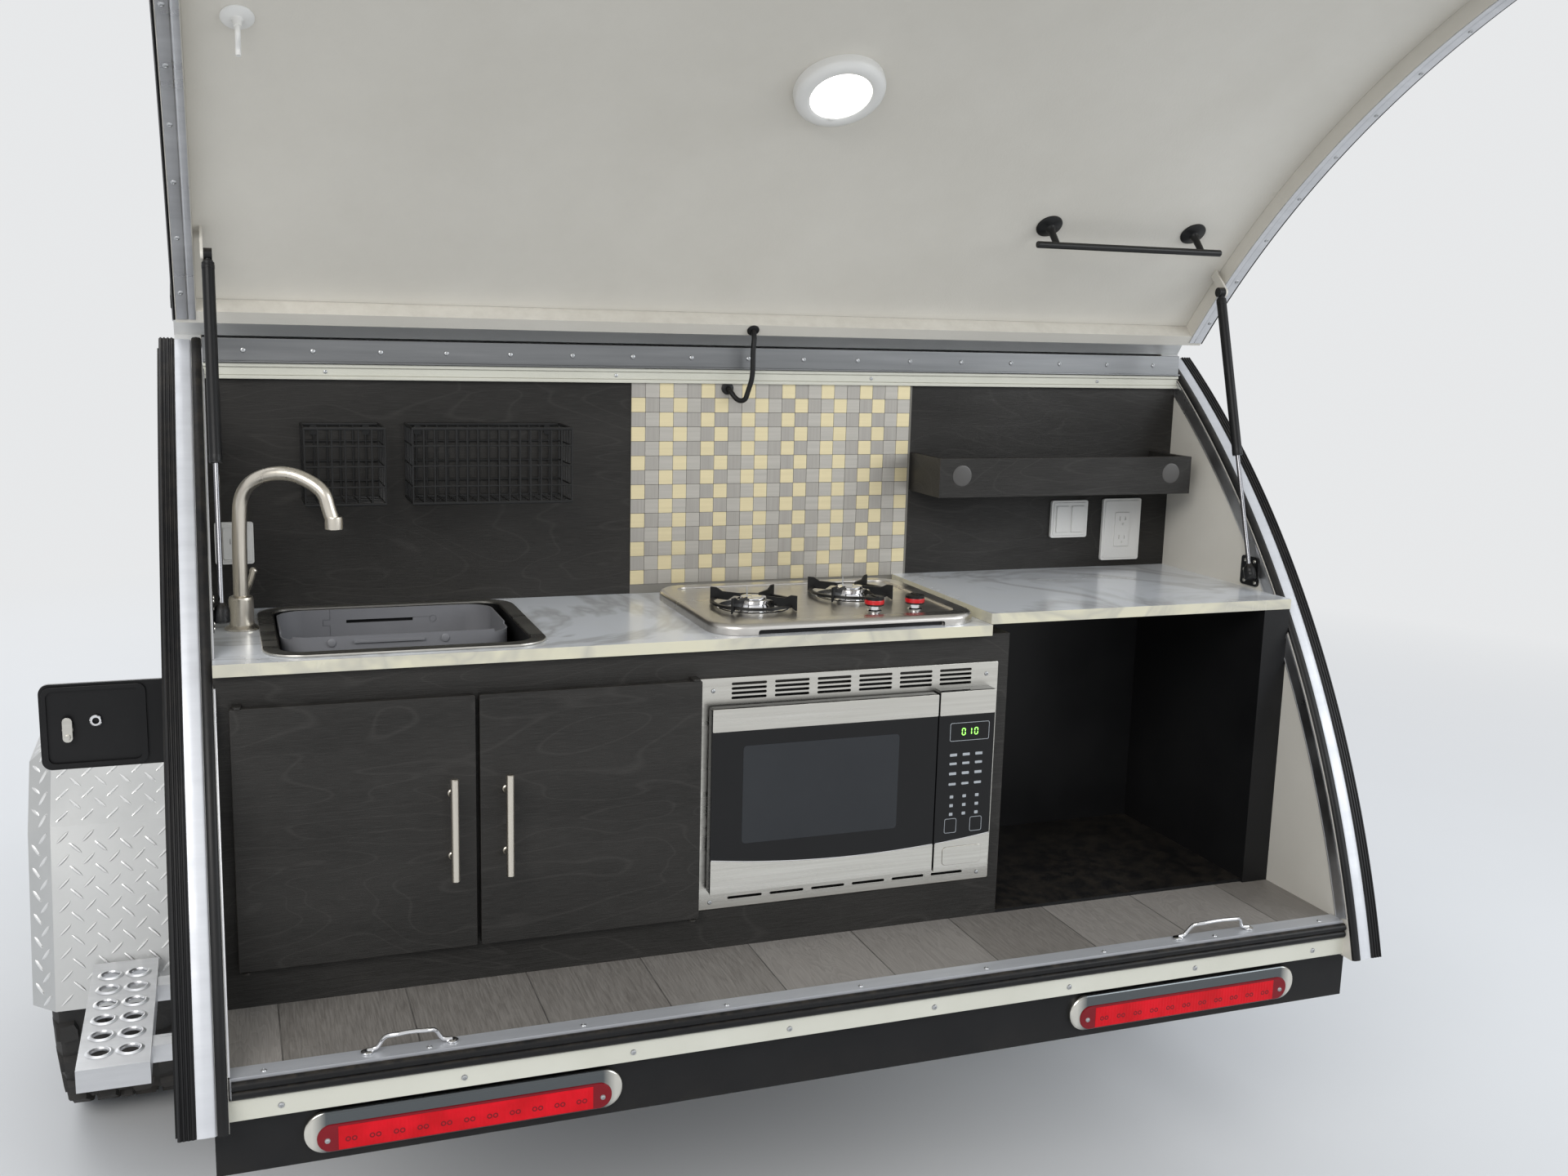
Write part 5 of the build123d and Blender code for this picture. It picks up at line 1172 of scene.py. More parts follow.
def microwave_door():
    """Black glass door with a grey window between stainless strips."""
    low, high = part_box("microwave_door")
    x = low.x
    slab = plate("oven_door", (x + 0.001, low.y, low.z), (high.x, high.y, high.z), 0, 0.004, 0.0015, 4)
    hand_over(slab, "dark_glass", "microwave_door", body="microwave_door")
    window = plate("oven_window", (x + 0.0004, low.y + 0.069, low.z + 0.08),
        (x + 0.003, high.y - 0.052, high.z - 0.062), 0, 0.006, 0.0005, 4)
    hand_over(window, "dark_glass", body="microwave_door", finish=MICRO_SCREEN)
    top = plate("top", (x - 0.0006, low.y + 0.0008, OVEN_Z1 - STRIP_HIGH),
        (x + 0.004, high.y - 0.0008, high.z - 0.0008), 0, 0.002, 0.0008, 3)
    foot, line = oven_apron("foot", low.y + 0.0008, high.y - 0.0008, x - 0.0006, low.z + 0.0008)
    hand_over(joined([top, foot], "oven_door_stainless"), "stainless", body="microwave_door")
    hand_over(line, "chrome", body="microwave_door")


# Hob

BURNERS = {"left": (-3.648, 0.062), "right": (-3.588, -0.138)}
KNOBS = {"left": (-3.728, -0.123), "right": (-3.728, -0.197)}
HOB_TOP = 0.665
# The sunk middle of the hob's plate, which the burners stand on
HOB_FLOOR = HOB_TOP - 0.003
HOB_CORNER = 0.055


def hob_plate():
    """The hob's stainless plate: a rolled rim, a slightly sunk middle and a long slot low in front."""
    low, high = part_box("cooktop")
    body = plate("hob_plate", (low.x, low.y, low.z + 0.0004), (high.x, high.y, HOB_TOP), 2, HOB_CORNER, 0,
        14)
    bevel_edges(body, 0.009, lambda a, b: a.z > HOB_TOP - 1e-5 and b.z > HOB_TOP - 1e-5, 5)
    sink_in(body, lambda middle, normal: normal.z > 0.999 and middle.z > HOB_TOP - 1e-4, 0.022, 0.003)
    bevel_edges(body, 0.0014, lambda a, b: abs(a.z - b.z) < 1e-6
        and HOB_TOP - 0.004 < a.z < HOB_TOP - 0.002, 3)
    slot = plate("slot", (low.x - 0.01, low.y + 0.07, low.z - 0.01),
        (low.x + 0.01, high.y - 0.07, low.z + 0.0085), 0, 0.004, 0, 3)
    cut(body, slot)
    hand_over(body, "stainless", "cooktop", finish=HOB_STEEL)
    # A black sheet behind the hob's front slot: painted shade for the dark inside.
    shade = plate("hob_slot_painted_shade", (low.x + 0.0085, low.y + 0.071, low.z + 0.0006),
        (low.x + 0.0095, high.y - 0.071, low.z + 0.008), 0, 0.002, 0, 2)
    hand_over(shade, "black_plastic")


def burner(name, x, y):
    """A chrome burner with flame slots round its cap, and its igniter."""
    z = HOB_FLOOR
    pan = turned("pan", [(0.05, 0.0004), (0.056, 0.0022), (0.06, 0.0016), (0.061, 0.0)], (x, y, z),
        steps=40)
    cup = turned("cup", [(0.027, 0.0), (0.024, 0.006), (0.027, 0.0075), (0.027, 0.0135), (0.025, 0.0145)],
        (x, y, z), steps=40)
    gaps = []
    for k in range(20):
        turn = Matrix.Translation((x, y, 0)) @ Matrix.Rotation(2 * math.pi * k / 20, 4, "Z")
        gap = block("gap", (0.0215, -0.0012, z + 0.0086), (0.03, 0.0012, z + 0.0122))
        gap.data.transform(turn)
        gaps.append(gap)
    cut(cup, joined(gaps, "gaps"))
    cap = turned("cap", [(0.0215, 0.0148), (0.0225, 0.016), (0.0215, 0.0176), (0.014, 0.0182)], (x, y, z),
        steps=40)
    hand_over(joined([pan, cup, cap], name), "chrome")
    post = block("igniter", (x + 0.031, y - 0.0015, z), (x + 0.0325, y + 0.0015, z + 0.012))
    open_edit(post)
    pick_faces(post, lambda middle, normal: normal.z > 0.9)
    bpy.ops.mesh.extrude_region_move(TRANSFORM_OT_translate={"value": (0.001, 0, 0.018)})
    bpy.ops.transform.resize(value=(0.6, 0.25, 1.0))
    close_edit()
    hand_over(post, "stainless", finish=FINISH["zinc_steel"])


def grate(name, x, y):
    """A black grate: a flat ring and four upright arms, each with a raised outer tab."""
    z = HOB_FLOOR
    ring = lathed("ring", [(0.066, 0.0065), (0.072, 0.0065), (0.072, 0.0105), (0.066, 0.0105),
        (0.066, 0.0065)], (x, y, z), steps=56)
    parts = [ring]

    def stepped(at):
        """The arm's upper edge rises to its outer tab, and its lower edge steps down to the plate."""
        if at.z > z + 0.02:
            rise = 0.0205 if at.x < 0.06 else 0.0262
        else:
            rise = 0.015 if at.x < 0.045 else 0.0065 if at.x < 0.07 else 0.0002
        return Vector((at.x, at.y, z + rise))

    for k in range(4):
        arm = reshaped(block("arm", (0.024, -0.0016, z + 0.013), (0.08, 0.0016, z + 0.0255)), 0, 4, stepped)
        bevel_edges(arm, 0.0006, None, 1)
        arm.data.transform(Matrix.Translation((x, y, 0)) @ Matrix.Rotation(math.radians(45 + 90 * k), 4,
            "Z"))
        parts.append(arm)
    hand_over(joined(parts, name), "wire_black")


def hob_knob(name, x, y):
    """A knob: chrome foot, red waist and a black top with its pointer."""
    z = HOB_FLOOR
    foot = turned(name + "_foot", [(0.0115, 0.0), (0.0125, 0.0012), (0.0095, 0.003), (0.0088, 0.0095)],
        (x, y, z), steps=32)
    hand_over(foot, "chrome")
    base = turned("base", [(0.0145, 0.0095), (0.016, 0.0105), (0.016, 0.0125)], (x, y, z), steps=32)
    top = lathed("top", [(0.0, 0.0195), (0.016, 0.0195), (0.016, 0.0232), (0.0148, 0.0246), (0.012, 0.025),
        (0.0, 0.0244)], (x, y, z), steps=32)
    ridge = plate("ridge", (x - 0.013, y - 0.003, z + 0.022), (x + 0.013, y + 0.003, z + 0.0265), 2, 0.0028,
        0.0008, 4)
    hand_over(joined([base, top, ridge], name + "_grip"), "black_plastic")
    band = turned(name + "_band", [(0.016, 0.0125), (0.0165, 0.014), (0.0165, 0.018), (0.016, 0.0195)],
        (x, y, z), steps=32)
    hand_over(band, "lamp_lens", finish=RED_BAND)


def hob():
    hob_plate()
    for side, at in BURNERS.items():
        burner("burner_" + side, *at)
        grate("grate_" + side, *at)
    for side, at in KNOBS.items():
        hob_knob("knob_" + side, *at)


# Sink and tap

SINK_CORNER = 0.056
SINK_RIM = 0.0225
# The tub in the sink: low and high along X, then across
TUB = (-3.667, -3.4525, 0.468, 0.8095)
TUB_CORNER = 0.042
TUB_DEEP = 0.095


def sink_basin():
    """A stainless rim over a basin in black plastic, a painted shade for the deep recess, with its drain."""
    low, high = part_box("sink")
    rim_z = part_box("counter_left")[1].z
    corner, a = SINK_CORNER, SINK_RIM
    rim = plate("sink_rim", (low.x, low.y, rim_z + 0.0002), (high.x, high.y, rim_z + 0.004), 2, corner,
        0.0012, 12)
    mouth = plate("mouth", (low.x + 0.022, low.y + 0.022, rim_z - 0.01),
        (high.x - 0.022, high.y - 0.022, rim_z + 0.02), 2, corner - 0.022, 0, 10)
    cut(rim, mouth)
    hand_over(rim, "stainless", "sink")
    bowl = plate("sink_bowl_painted_shade", (low.x + a, low.y + a, low.z + 0.001),
        (high.x - a, high.y - a, rim_z + 0.0015), 2, corner - a, 0, 10)
    space = plate("space", (low.x + a + 0.002, low.y + a + 0.002, low.z + 0.003),
        (high.x - a - 0.002, high.y - a - 0.002, rim_z + 0.02), 2, corner - a - 0.002, 0, 10)
    bevel_edges(space, 0.018, below(2, low.z + 0.004), 4)
    cut(bowl, space)
    # The basin is black plastic: painted shade for the deep recess under the tub.
    hand_over(bowl, "black_plastic")
    middle = (low + high) / 2
    drain = turned("sink_drain", [(0.012, 0.0006), (0.014, 0.002), (0.034, 0.0024), (0.038, 0.0008),
        (0.038, 0.0)], (middle.x, middle.y, low.z + 0.0032), steps=36)
    hand_over(drain, "chrome")


def sink_tub():
    """The grey tub in the basin: slot, ring and seam in its far wall, a bar on its near one."""
    rim_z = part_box("counter_left")[1].z
    foot = rim_z - TUB_DEEP
    wall = 0.0025
    x0, x1, y0, y1 = TUB
    tub = plate("sink_tub", (x0, y0, foot), (x1, y1, rim_z + 0.0012), 2, TUB_CORNER, 0, 10)
    space = plate("space", (x0 + wall, y0 + wall, foot + wall), (x1 - wall, y1 - wall, rim_z + 0.02), 2,
        TUB_CORNER - wall, 0, 10)
    bevel_edges(space, 0.012, below(2, foot + 0.01), 4)
    cut(tub, space)
    for a, b in ((y0 - 0.01, y0 + 0.026), (y1 - 0.016, y1 + 0.01)):
        cut(tub, plate("dip", (x0 - 0.01, a, rim_z - 0.0032), (x0 + 0.06, b, rim_z + 0.01), 0, 0.003, 0, 4))
    far = x1 - wall
    cut(tub, plate("slot", (far - 0.01, 0.5935, rim_z - 0.0222), (x1 + 0.01, 0.7002, rim_z - 0.0168), 0,
        0.0006, 0, 2))
    for a, b, low, high in (
            (0.5672, 0.593, rim_z - 0.0172, rim_z - 0.0164),
            (0.7252, 0.7262, rim_z - 0.015, rim_z + 0.01),
            (0.7252, 0.7262, foot + 0.02, rim_z - 0.025),
            (0.7252, 0.7372, rim_z - 0.016, rim_z - 0.015),
            (0.7252, 0.7372, rim_z - 0.026, rim_z - 0.025),
            (0.7362, 0.7372, rim_z - 0.0258, rim_z - 0.0152)):
        cut(tub, block("groove", (far - 0.001, a, low), (far + 0.001, b, high)))
    ring = lathed("ring", [(0.005, 0.0), (0.006, 0.0), (0.006, 0.002), (0.005, 0.002), (0.005, 0.0)],
        (far - 0.001, 0.5608, rim_z - 0.0206), (1, 0, 0), 28)
    cut(tub, ring)
    bar = plate("bar", (x0 - 0.004, 0.6007, rim_z - 0.01), (x0 + 0.0005, 0.7058, rim_z - 0.0064), 0, 0.0008,
        0.0006, 2)
    hooks = [turned("hook", [(0.0062, 0.0), (0.0062, 0.0022), (0.005, 0.003)],
        (x0 + 0.0003, y, rim_z - 0.0082), (-1, 0, 0), 24) for y in (0.5699, 0.7377)]
    hand_over(joined([tub, bar] + hooks, "sink_tub"), "black_plastic", finish=SINK_GREY)


def tap():
    """A satin swan neck on a stepped foot, with its side lever."""
    x, y = -3.572, 0.862
    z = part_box("counter_left")[1].z
    foot = turned("foot", [(0.0255, 0.0003), (0.0255, 0.003), (0.02, 0.006), (0.0182, 0.008),
        (0.0182, 0.046), (0.017, 0.05), (0.0125, 0.052)], (x, y, z), steps=40)
    reach, side = 0.066, 0.128
    neck = wire("neck", [(x, y, z + 0.045), (x, y, z + 0.15), (x - 0.004, y - 0.006, z + 0.222),
        (x - reach * 0.5, y - side * 0.5, z + 0.247), (x - reach * 0.96, y - side * 0.94, z + 0.222),
        (x - reach, y - side, z + 0.186), (x - reach - 0.003, y - side - 0.006, z + 0.168)], 0.0108,
        sides=8)
    tip = (x - reach - 0.003, y - side - 0.006, z + 0.16)
    nozzle = turned("nozzle", [(0.0128, 0.0), (0.0134, 0.0016), (0.0134, 0.017), (0.0122, 0.019)], tip,
        steps=32)
    lever = wire("lever", [(x + 0.004, y - 0.002, z + 0.044), (x + 0.02, y - 0.007, z + 0.05),
        (x + 0.044, y - 0.015, z + 0.064), (x + 0.06, y - 0.02, z + 0.08)], 0.005, sides=6)
    knob = ball("knob", (x + 0.06, y - 0.02, z + 0.079), 0.0062, segments=16)
    hand_over(joined([foot, neck, nozzle, lever, knob], "tap"), "nickel", "faucet")


# Bulkhead fittings

def basket(name, low, high):
    """A wire basket: a heavy top rim, lighter rings, uprights and floor wires."""
    rim_r, wire_r = 0.0026, 0.0015
    inset = 0.004
    x0, x1 = low.x + inset, high.x - inset
    y0, y1 = low.y + inset, high.y - inset

    def ring(z, radius):
        return wire("ring", [(x0, y0, z), (x1, y0, z), (x1, y1, z), (x0, y1, z)], radius, closed=True,
            smooth=False, sides=2)

    parts = [ring(high.z - rim_r, rim_r), ring(low.z + wire_r + 0.001, rim_r)]
    parts += [ring(z, wire_r) for z in spread(low.z + 0.03, high.z - 0.03, 3)]
    for y in spread(y0, y1, max(3, round((y1 - y0) / 0.0165))):
        parts.append(wire("upright", [(x1, y, high.z - rim_r), (x1, y, low.z + 0.003),
            (x0, y, low.z + 0.003), (x0, y, high.z - rim_r)], wire_r, smooth=False, sides=2))
    for x in spread(x0, x1, 6)[1:-1]:
        parts.append(wire("cross", [(x, y0, high.z - rim_r), (x, y0, low.z + 0.003), (x, y1, low.z + 0.003),
            (x, y1, high.z - rim_r)], wire_r, smooth=False, sides=2))
    for y in (y0 + 0.02, y1 - 0.02):
        tab = plate("tab", (x1 - 0.0012, y - 0.006, high.z - 0.02),
            (high.x - 0.0002, y + 0.006, high.z - 0.004), 0, 0.004, 0, 4)
        parts.append(tab)
    return joined(parts, name)


def wire_baskets():
    low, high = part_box("wire_baskets")
    parts = [basket("basket_narrow", Vector((low.x, 0.635, low.z)), Vector((high.x, 0.765, high.z))),
        basket("basket_wide", Vector((low.x, 0.335, low.z)), Vector((high.x, 0.6, high.z)))]
    hand_over(joined(parts, "wire_baskets_made"), "wire_black", "wire_baskets")


def shelf_discs():
    """Round discs on the shelf's front ends."""
    low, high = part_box("shelf")
    discs = []
    for y in (low.y + 0.045, high.y - 0.045):
        discs.append(turned("disc", [(0.0165, 0.0014), (0.019, 0.0004), (0.019, 0.0)],
            (low.x, y, (low.z + high.z) / 2 + 0.004), (-1, 0, 0), 36))
    hand_over(joined(discs, "shelf_discs"), "stained_ply", finish=DISC_PLY)


def wall_fittings():
    """Raised rockers and sockets on the bulkhead's plates."""
    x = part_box("wall_plates")[0].x
    deep = 0.0016
    pieces = []
    for y0, y1, z0, z1, kind in ((-0.718, -0.637, 0.726, 0.799, "rocker"),
            (-0.841, -0.754, 0.678, 0.801, "socket"), (0.838, 0.897, 0.722, 0.79, "socket")):
        y, z = (y0 + y1) / 2, (z0 + z1) / 2
        face = plate("face", (x - deep, y0 + 0.004, z0 + 0.004), (x + 0.001, y1 - 0.004, z1 - 0.004), 0,
            0.003, 0.0012, 4)
        if kind == "rocker":
            for s in (-1, 1):
                rocker = plate("rocker", (x - 0.0045, y + s * 0.017 - 0.014, z - 0.026),
                    (x, y + s * 0.017 + 0.014, z + 0.026), 0, 0.002, 0.0015, 3)
                pieces.append(rocker)
        else:
            double = z1 - z0 > 0.1
            half = 0.034 if double else 0.026
            frame_piece = plate("frame", (x - 0.0042, y - 0.017, z - half), (x, y + 0.017, z + half), 0,
                0.003, 0.001, 3)
            slots = []
            for dz in ((-0.0185, 0.0185) if double else (0.0,)):
                for dy, h in ((-0.0062, 0.0036), (0.0062, 0.0045)):
                    slots.append(plate("slot", (x - 0.01, y + dy - 0.001, z + dz - h + 0.003),
                        (x + 0.002, y + dy + 0.001, z + dz + h + 0.003), 0, 0.0008, 0, 1))
                slots.append(round_bar("pin", (x - 0.01, y, z + dz - 0.007), (x + 0.002, y, z + dz - 0.007),
                    0.0024, 14))
            cut(frame_piece, joined(slots, "slots"))
            pieces.append(frame_piece)
        pieces.append(face)
    hand_over(joined(pieces, "wall_fittings"), "white_plastic")


# Cabinet doors

PULL_Y = {"left": 0.5845, "right": 0.5044}
PULL_Z = 0.3905
PULL_HALF = 0.078


def cabinet_door(side):
    """A slab door in black-stained ply with its bright bar pull on two posts."""
    name = "cabinet_door_" + side
    low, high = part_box(name)
    face = high.x - 0.015
    slab = plate(name + "_slab", (face, low.y, low.z), (high.x, high.y, high.z), 0, 0.003, 0.0012, 3)
    hand_over(slab, "stained_ply", name, body=name)
    pull_y = PULL_Y[side]
    middle, half = PULL_Z, PULL_HALF
    r = 0.006
    x = low.x + r
    bar = turned("bar", [(r * 0.8, -half), (r, -half + 0.0012), (r, half - 0.0012), (r * 0.8, half)],
        (x, pull_y, middle), steps=28)
    posts = []
    for z in (middle - 0.048, middle + 0.048):
        posts.append(turned("post", [(0.0045, -0.002), (0.0045, face - x - 0.003),
            (0.0062, face - x - 0.0015), (0.0062, face - x)], (x, pull_y, z), (1, 0, 0), 20))
    hand_over(joined([bar] + posts, name + "_pull"), "nickel", body=name)


# Utility hatch on the left wall

def utility_door_fittings():
    """Cam latch and ring on the inner face of the open utility door, with its rim."""
    low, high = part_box("utility_door")
    x = low.x
    y_far = high.y
    z = (low.z + high.z) / 2
    rim = plate("rim", (x - 0.0008, low.y + 0.052, low.z + 0.004),
        (x + 0.001, high.y - 0.004, high.z - 0.004), 0, 0.012, 0.0006, 6)
    hole = plate("hole", (x - 0.01, low.y + 0.06, low.z + 0.01), (x + 0.01, high.y - 0.01, high.z - 0.01),
        0, 0.01, 0, 6)
    cut(rim, hole)
    hand_over(rim, "black_plastic", body="utility_door")
    ring = lathed("utility_ring", [(0.0045, 0.0), (0.0085, 0.0), (0.0088, 0.001), (0.0075, 0.0022),
        (0.005, 0.0018), (0.0045, 0.0)], (x - 0.0002, y_far - 0.077, z + 0.008), (-1, 0, 0), 28)
    hand_over(ring, "chrome", body="utility_door")
    cam = plate("cam", (x - 0.0065, y_far - 0.045, z - 0.022), (x - 0.0045, y_far - 0.031, z + 0.016), 0,
        0.0065, 0.0006, 6)
    stem = turned("stem", [(0.0075, 0.0), (0.0075, 0.0046)], (x, y_far - 0.038, z - 0.003), (-1, 0, 0), 24)
    nut = turned("nut", [(0.0048, 0.0065), (0.0048, 0.009), (0.003, 0.0096)], (x, y_far - 0.038, z - 0.014),
        (-1, 0, 0), 6)
    hand_over(joined([cam, stem, nut], "utility_latch"), "zinc_steel", body="utility_door",
        finish=FINISH["stainless"])


# Hatch: modelled closed, then turned up about its hinge

def arc_point(slope, off, y=0.0):
    """A point off the closed hatch's arc at a slope."""
    a = math.radians(slope)
    return Vector((ARC_X - math.sin(a) * (ARC_R + off), y, ARC_Z + math.cos(a) * (ARC_R + off)))


def lifted(piece):
    piece.data.transform(LIFT)
    return piece


def on_hatch(slope, off, y=0.0):
    """A point of the open hatch, and the direction that its inner face looks in there."""
    a = math.radians(slope)
    inward = Vector((math.sin(a), 0, -math.cos(a)))
    return LIFT @ arc_point(slope, off, y), (LIFT.to_3x3() @ inward).normalized()


def down_along(way):
    """Downward along the face that looks a way."""
    down = Vector((0, 0, -1))
    return (down - way * down.dot(way)).normalized()


def hatch_liner():
    """The warm white inner skin, its side strips with screws and the rubber along its edges."""
    first, last = HATCH_TIP_SLOPE - 1.35, HINGE_SLOPE + 0.95
    y = WALL_IN + 0.0045
    skin = spun("hatch_liner", ((INNER_SKIN - 0.001, -y), (INNER_SKIN - 0.0002, -y),
        (INNER_SKIN - 0.0002, y), (INNER_SKIN - 0.001, y)), ARC, first, last, 72)
    hand_over(lifted(skin), "wall_panel", body="hatch", finish=FINISH["lining"])
    strip = ((0.0104, 0.9112), (0.0104, 0.919), (0.0112, 0.92), (0.0112, 0.9225), (0.0104, 0.9235),
        (0.0104, 0.9385), (0.0118, 0.9392), (0.0118, 0.9108))
    left = spun("hatch_side_strip_left", strip, ARC, HATCH_TIP_SLOPE - 0.05, HINGE_SLOPE + 0.4, 72)
    on_both_sides(left, "hatch_side_strip", "aluminium", lifted, body="hatch")
    rubber = ((0.013, 0.9402), (0.012, 0.943), (0.015, 0.9446), (0.023, 0.9446), (0.026, 0.943),
        (0.029, 0.9446), (0.045, 0.9446), (0.052, 0.942), (0.0535, 0.9402))
    left = spun("hatch_edge_rubber_left", rubber, ARC, HATCH_TIP_SLOPE, HINGE_SLOPE + 0.3, 72)
    on_both_sides(left, "hatch_edge_rubber", "trim_black", lifted, body="hatch")
    head = turned("hatch_screws", [(0.0016, 0.0006), (0.002, 0.0014), (0.0036, 0.0009), (0.0042, 0.0)],
        (0, 0, 0), (0, 0, 1), 12)
    heads = []
    for slope in spread(HINGE_SLOPE + 2.0, HATCH_TIP_SLOPE - 1.5, 11):
        for side in (-1, 1):
            at, way = on_hatch(slope, 0.0104, side * 0.931)
            turn = way.to_track_quat("Z", "Y").to_matrix().to_4x4()
            heads.append(copied(head, at, turn))
    discard(head)
    hand_over(joined(heads, "hatch_screws"), "zinc_steel", body="hatch")


def hatch_ends():
    """Aluminium strip and rubber along the hatch's lifted end, and its lock."""
    y = 0.9385
    tip = ((0.0104, -y), (0.0104, y), (0.0118, y), (0.0118, -y))
    strip = spun("hatch_tip_strip", tip, ARC, HATCH_TIP_SLOPE - 0.02, HATCH_TIP_SLOPE - 1.28, 4)
    hand_over(lifted(strip), "aluminium", body="hatch")
    edge = spun("hatch_tip_rubber", ((0.013, -y), (0.052, -y), (0.052, y), (0.013, y)), ARC,
        HATCH_TIP_SLOPE + 0.008, HATCH_TIP_SLOPE - 0.03, 1)
    hand_over(lifted(edge), "trim_black", body="hatch")
    at, way = on_hatch(HATCH_TIP_SLOPE - 3.4, SKIN_T)
    out = -way
    plate_piece = turned("lock_plate", [(0.031, 0.0), (0.031, 0.0014), (0.028, 0.003), (0.019, 0.0034),
        (0.017, 0.0015)], at + out * -0.0002, out, 40)
    stem = turned("stem", [(0.0085, 0.0), (0.0075, 0.018), (0.0085, 0.02)], at, out, 24)
    handle_at = at + out * 0.0235
    across = Vector((0, 1, 0))
    grip = wire("grip", [handle_at + across * -0.04 - out * 0.003, handle_at + across * -0.024, handle_at,
        handle_at + across * 0.024, handle_at + across * 0.04 - out * 0.003], 0.0062, sides=6)
    hand_over(joined([plate_piece, stem, grip], "hatch_lock"), "chrome", body="hatch")


def hatch_lamp():
    """A white ring round a lit diffuser, with a small switch at its edge."""
    at, way = on_hatch(52.8, INNER_SKIN)
    deep = 0.0225
    ring = lathed("lamp_ring", [(0.047, deep - 0.011), (0.0475, deep - 0.003), (0.052, deep - 0.0008),
        (0.061, deep - 0.0012), (0.0675, deep - 0.0045), (0.07, deep - 0.01), (0.07, 0.0012),
        (0.047, 0.0012), (0.047, deep - 0.011)], at, way, 72)
    hand_over(ring, "white_plastic", "hatch_lamp", body="hatch")
    glow = lathed("lamp_diffuser", [(0.0, deep - 0.0042), (0.03, deep - 0.005), (0.043, deep - 0.0066),
        (0.0468, deep - 0.009), (0.0468, deep - 0.012), (0.0, deep - 0.012)], at, way, 56)
    hand_over(glow, "white_plastic", body="hatch", finish=LAMP_GLOW)
    tab_at = at + way * (deep - 0.004) + down_along(way) * 0.048
    tab = ball("lamp_switch", tab_at, 0.0048, (1.0, 1.4, 0.8), 16)
    hand_over(tab, "white_plastic", body="hatch")


def towel_rail():
    """The black rail on two round feet."""
    low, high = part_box("towel_bar")
    out = 0.048
    y0, y1 = low.y, high.y
    at, way = on_hatch(44.6, INNER_SKIN - 0.0004)
    bar_at = at + way * out
    rail = turned("rail", [(0.005, 0.0), (0.006, 0.0014), (0.006, y1 - y0 - 0.0014), (0.005, y1 - y0)],
        (bar_at.x, y0, bar_at.z), (0, 1, 0), 24)
    parts = [rail]
    for y in (y0 + 0.04, y1 - 0.04):
        foot = turned("foot", [(0.024, 0.0), (0.024, 0.0028), (0.0215, 0.0052), (0.01, 0.0072),
            (0.0075, 0.01), (0.0062, 0.018), (0.0058, out - 0.002)], (at.x, y, at.z), way, 36)
        parts.append(foot)
    hand_over(joined(parts, "towel_rail"), "wire_black", "towel_bar", body="hatch")


def hatch_hook():
    """A small white hook on a round foot, at the hatch's left."""
    at, way = on_hatch(53.8, INNER_SKIN, 0.843)
    foot = turned("foot", [(0.0215, 0.0), (0.0215, 0.0025), (0.019, 0.0048), (0.008, 0.0062),
        (0.0062, 0.0085), (0.005, 0.018)], at, way, 32)
    down = down_along(way)
    arm = wire("arm", [at + way * 0.014, at + way * 0.024, at + way * 0.03 + down * 0.006,
        at + way * 0.031 + down * 0.016, at + way * 0.034 + down * 0.024, at + way * 0.041 + down * 0.026],
        0.0036, sides=6)
    hand_over(joined([foot, arm], "hatch_hook"), "white_plastic", body="hatch")


def lamp_lead():
    """The short black lead that loops from the hatch's root to the bulkhead's top, through two grommets."""
    top, way = on_hatch(HINGE_SLOPE + 0.55, SEAL_GAP, 0.0)
    foot = Vector((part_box("bulkhead")[0].x - 0.0028, 0.036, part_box("bulkhead")[1].z - 0.008))
    back = Vector((-1, 0, 0))
    for name, at, axis, body in (("hatch_grommet", top, way, "hatch"),
            ("bulkhead_grommet", foot, back, "trailer")):
        ring = turned(name, [(0.011, 0.0), (0.011, 0.0018), (0.008, 0.0036)], at, axis, 24)
        hand_over(ring, "black_plastic", body=body)
    low = foot + Vector((-0.034, -0.022, -0.02))
    route = [top, top + way * 0.014, top + way * 0.022 + Vector((0.004, 0.004, -0.02)),
        (top + way * 0.018 + low) / 2 + Vector((-0.004, -0.004, -0.012)),
        low + Vector((-0.002, -0.004, 0.016)), low, low + Vector((0.012, 0.012, 0.0)), foot + back * 0.01,
        foot]
    lead = wire("lamp_lead", route, 0.0045, sides=6)
    select_only(lead)
    lead.data.materials.clear()
    lead.data.materials.append(FINISH["black_plastic"])
    bpy.ops.object.shade_smooth_by_angle(angle=math.radians(60))
    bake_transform(lead)


# Struts

STRUT_EYE = 0.009
STRUT_Y = 0.89
STRUT_PLATE_Y = 0.901


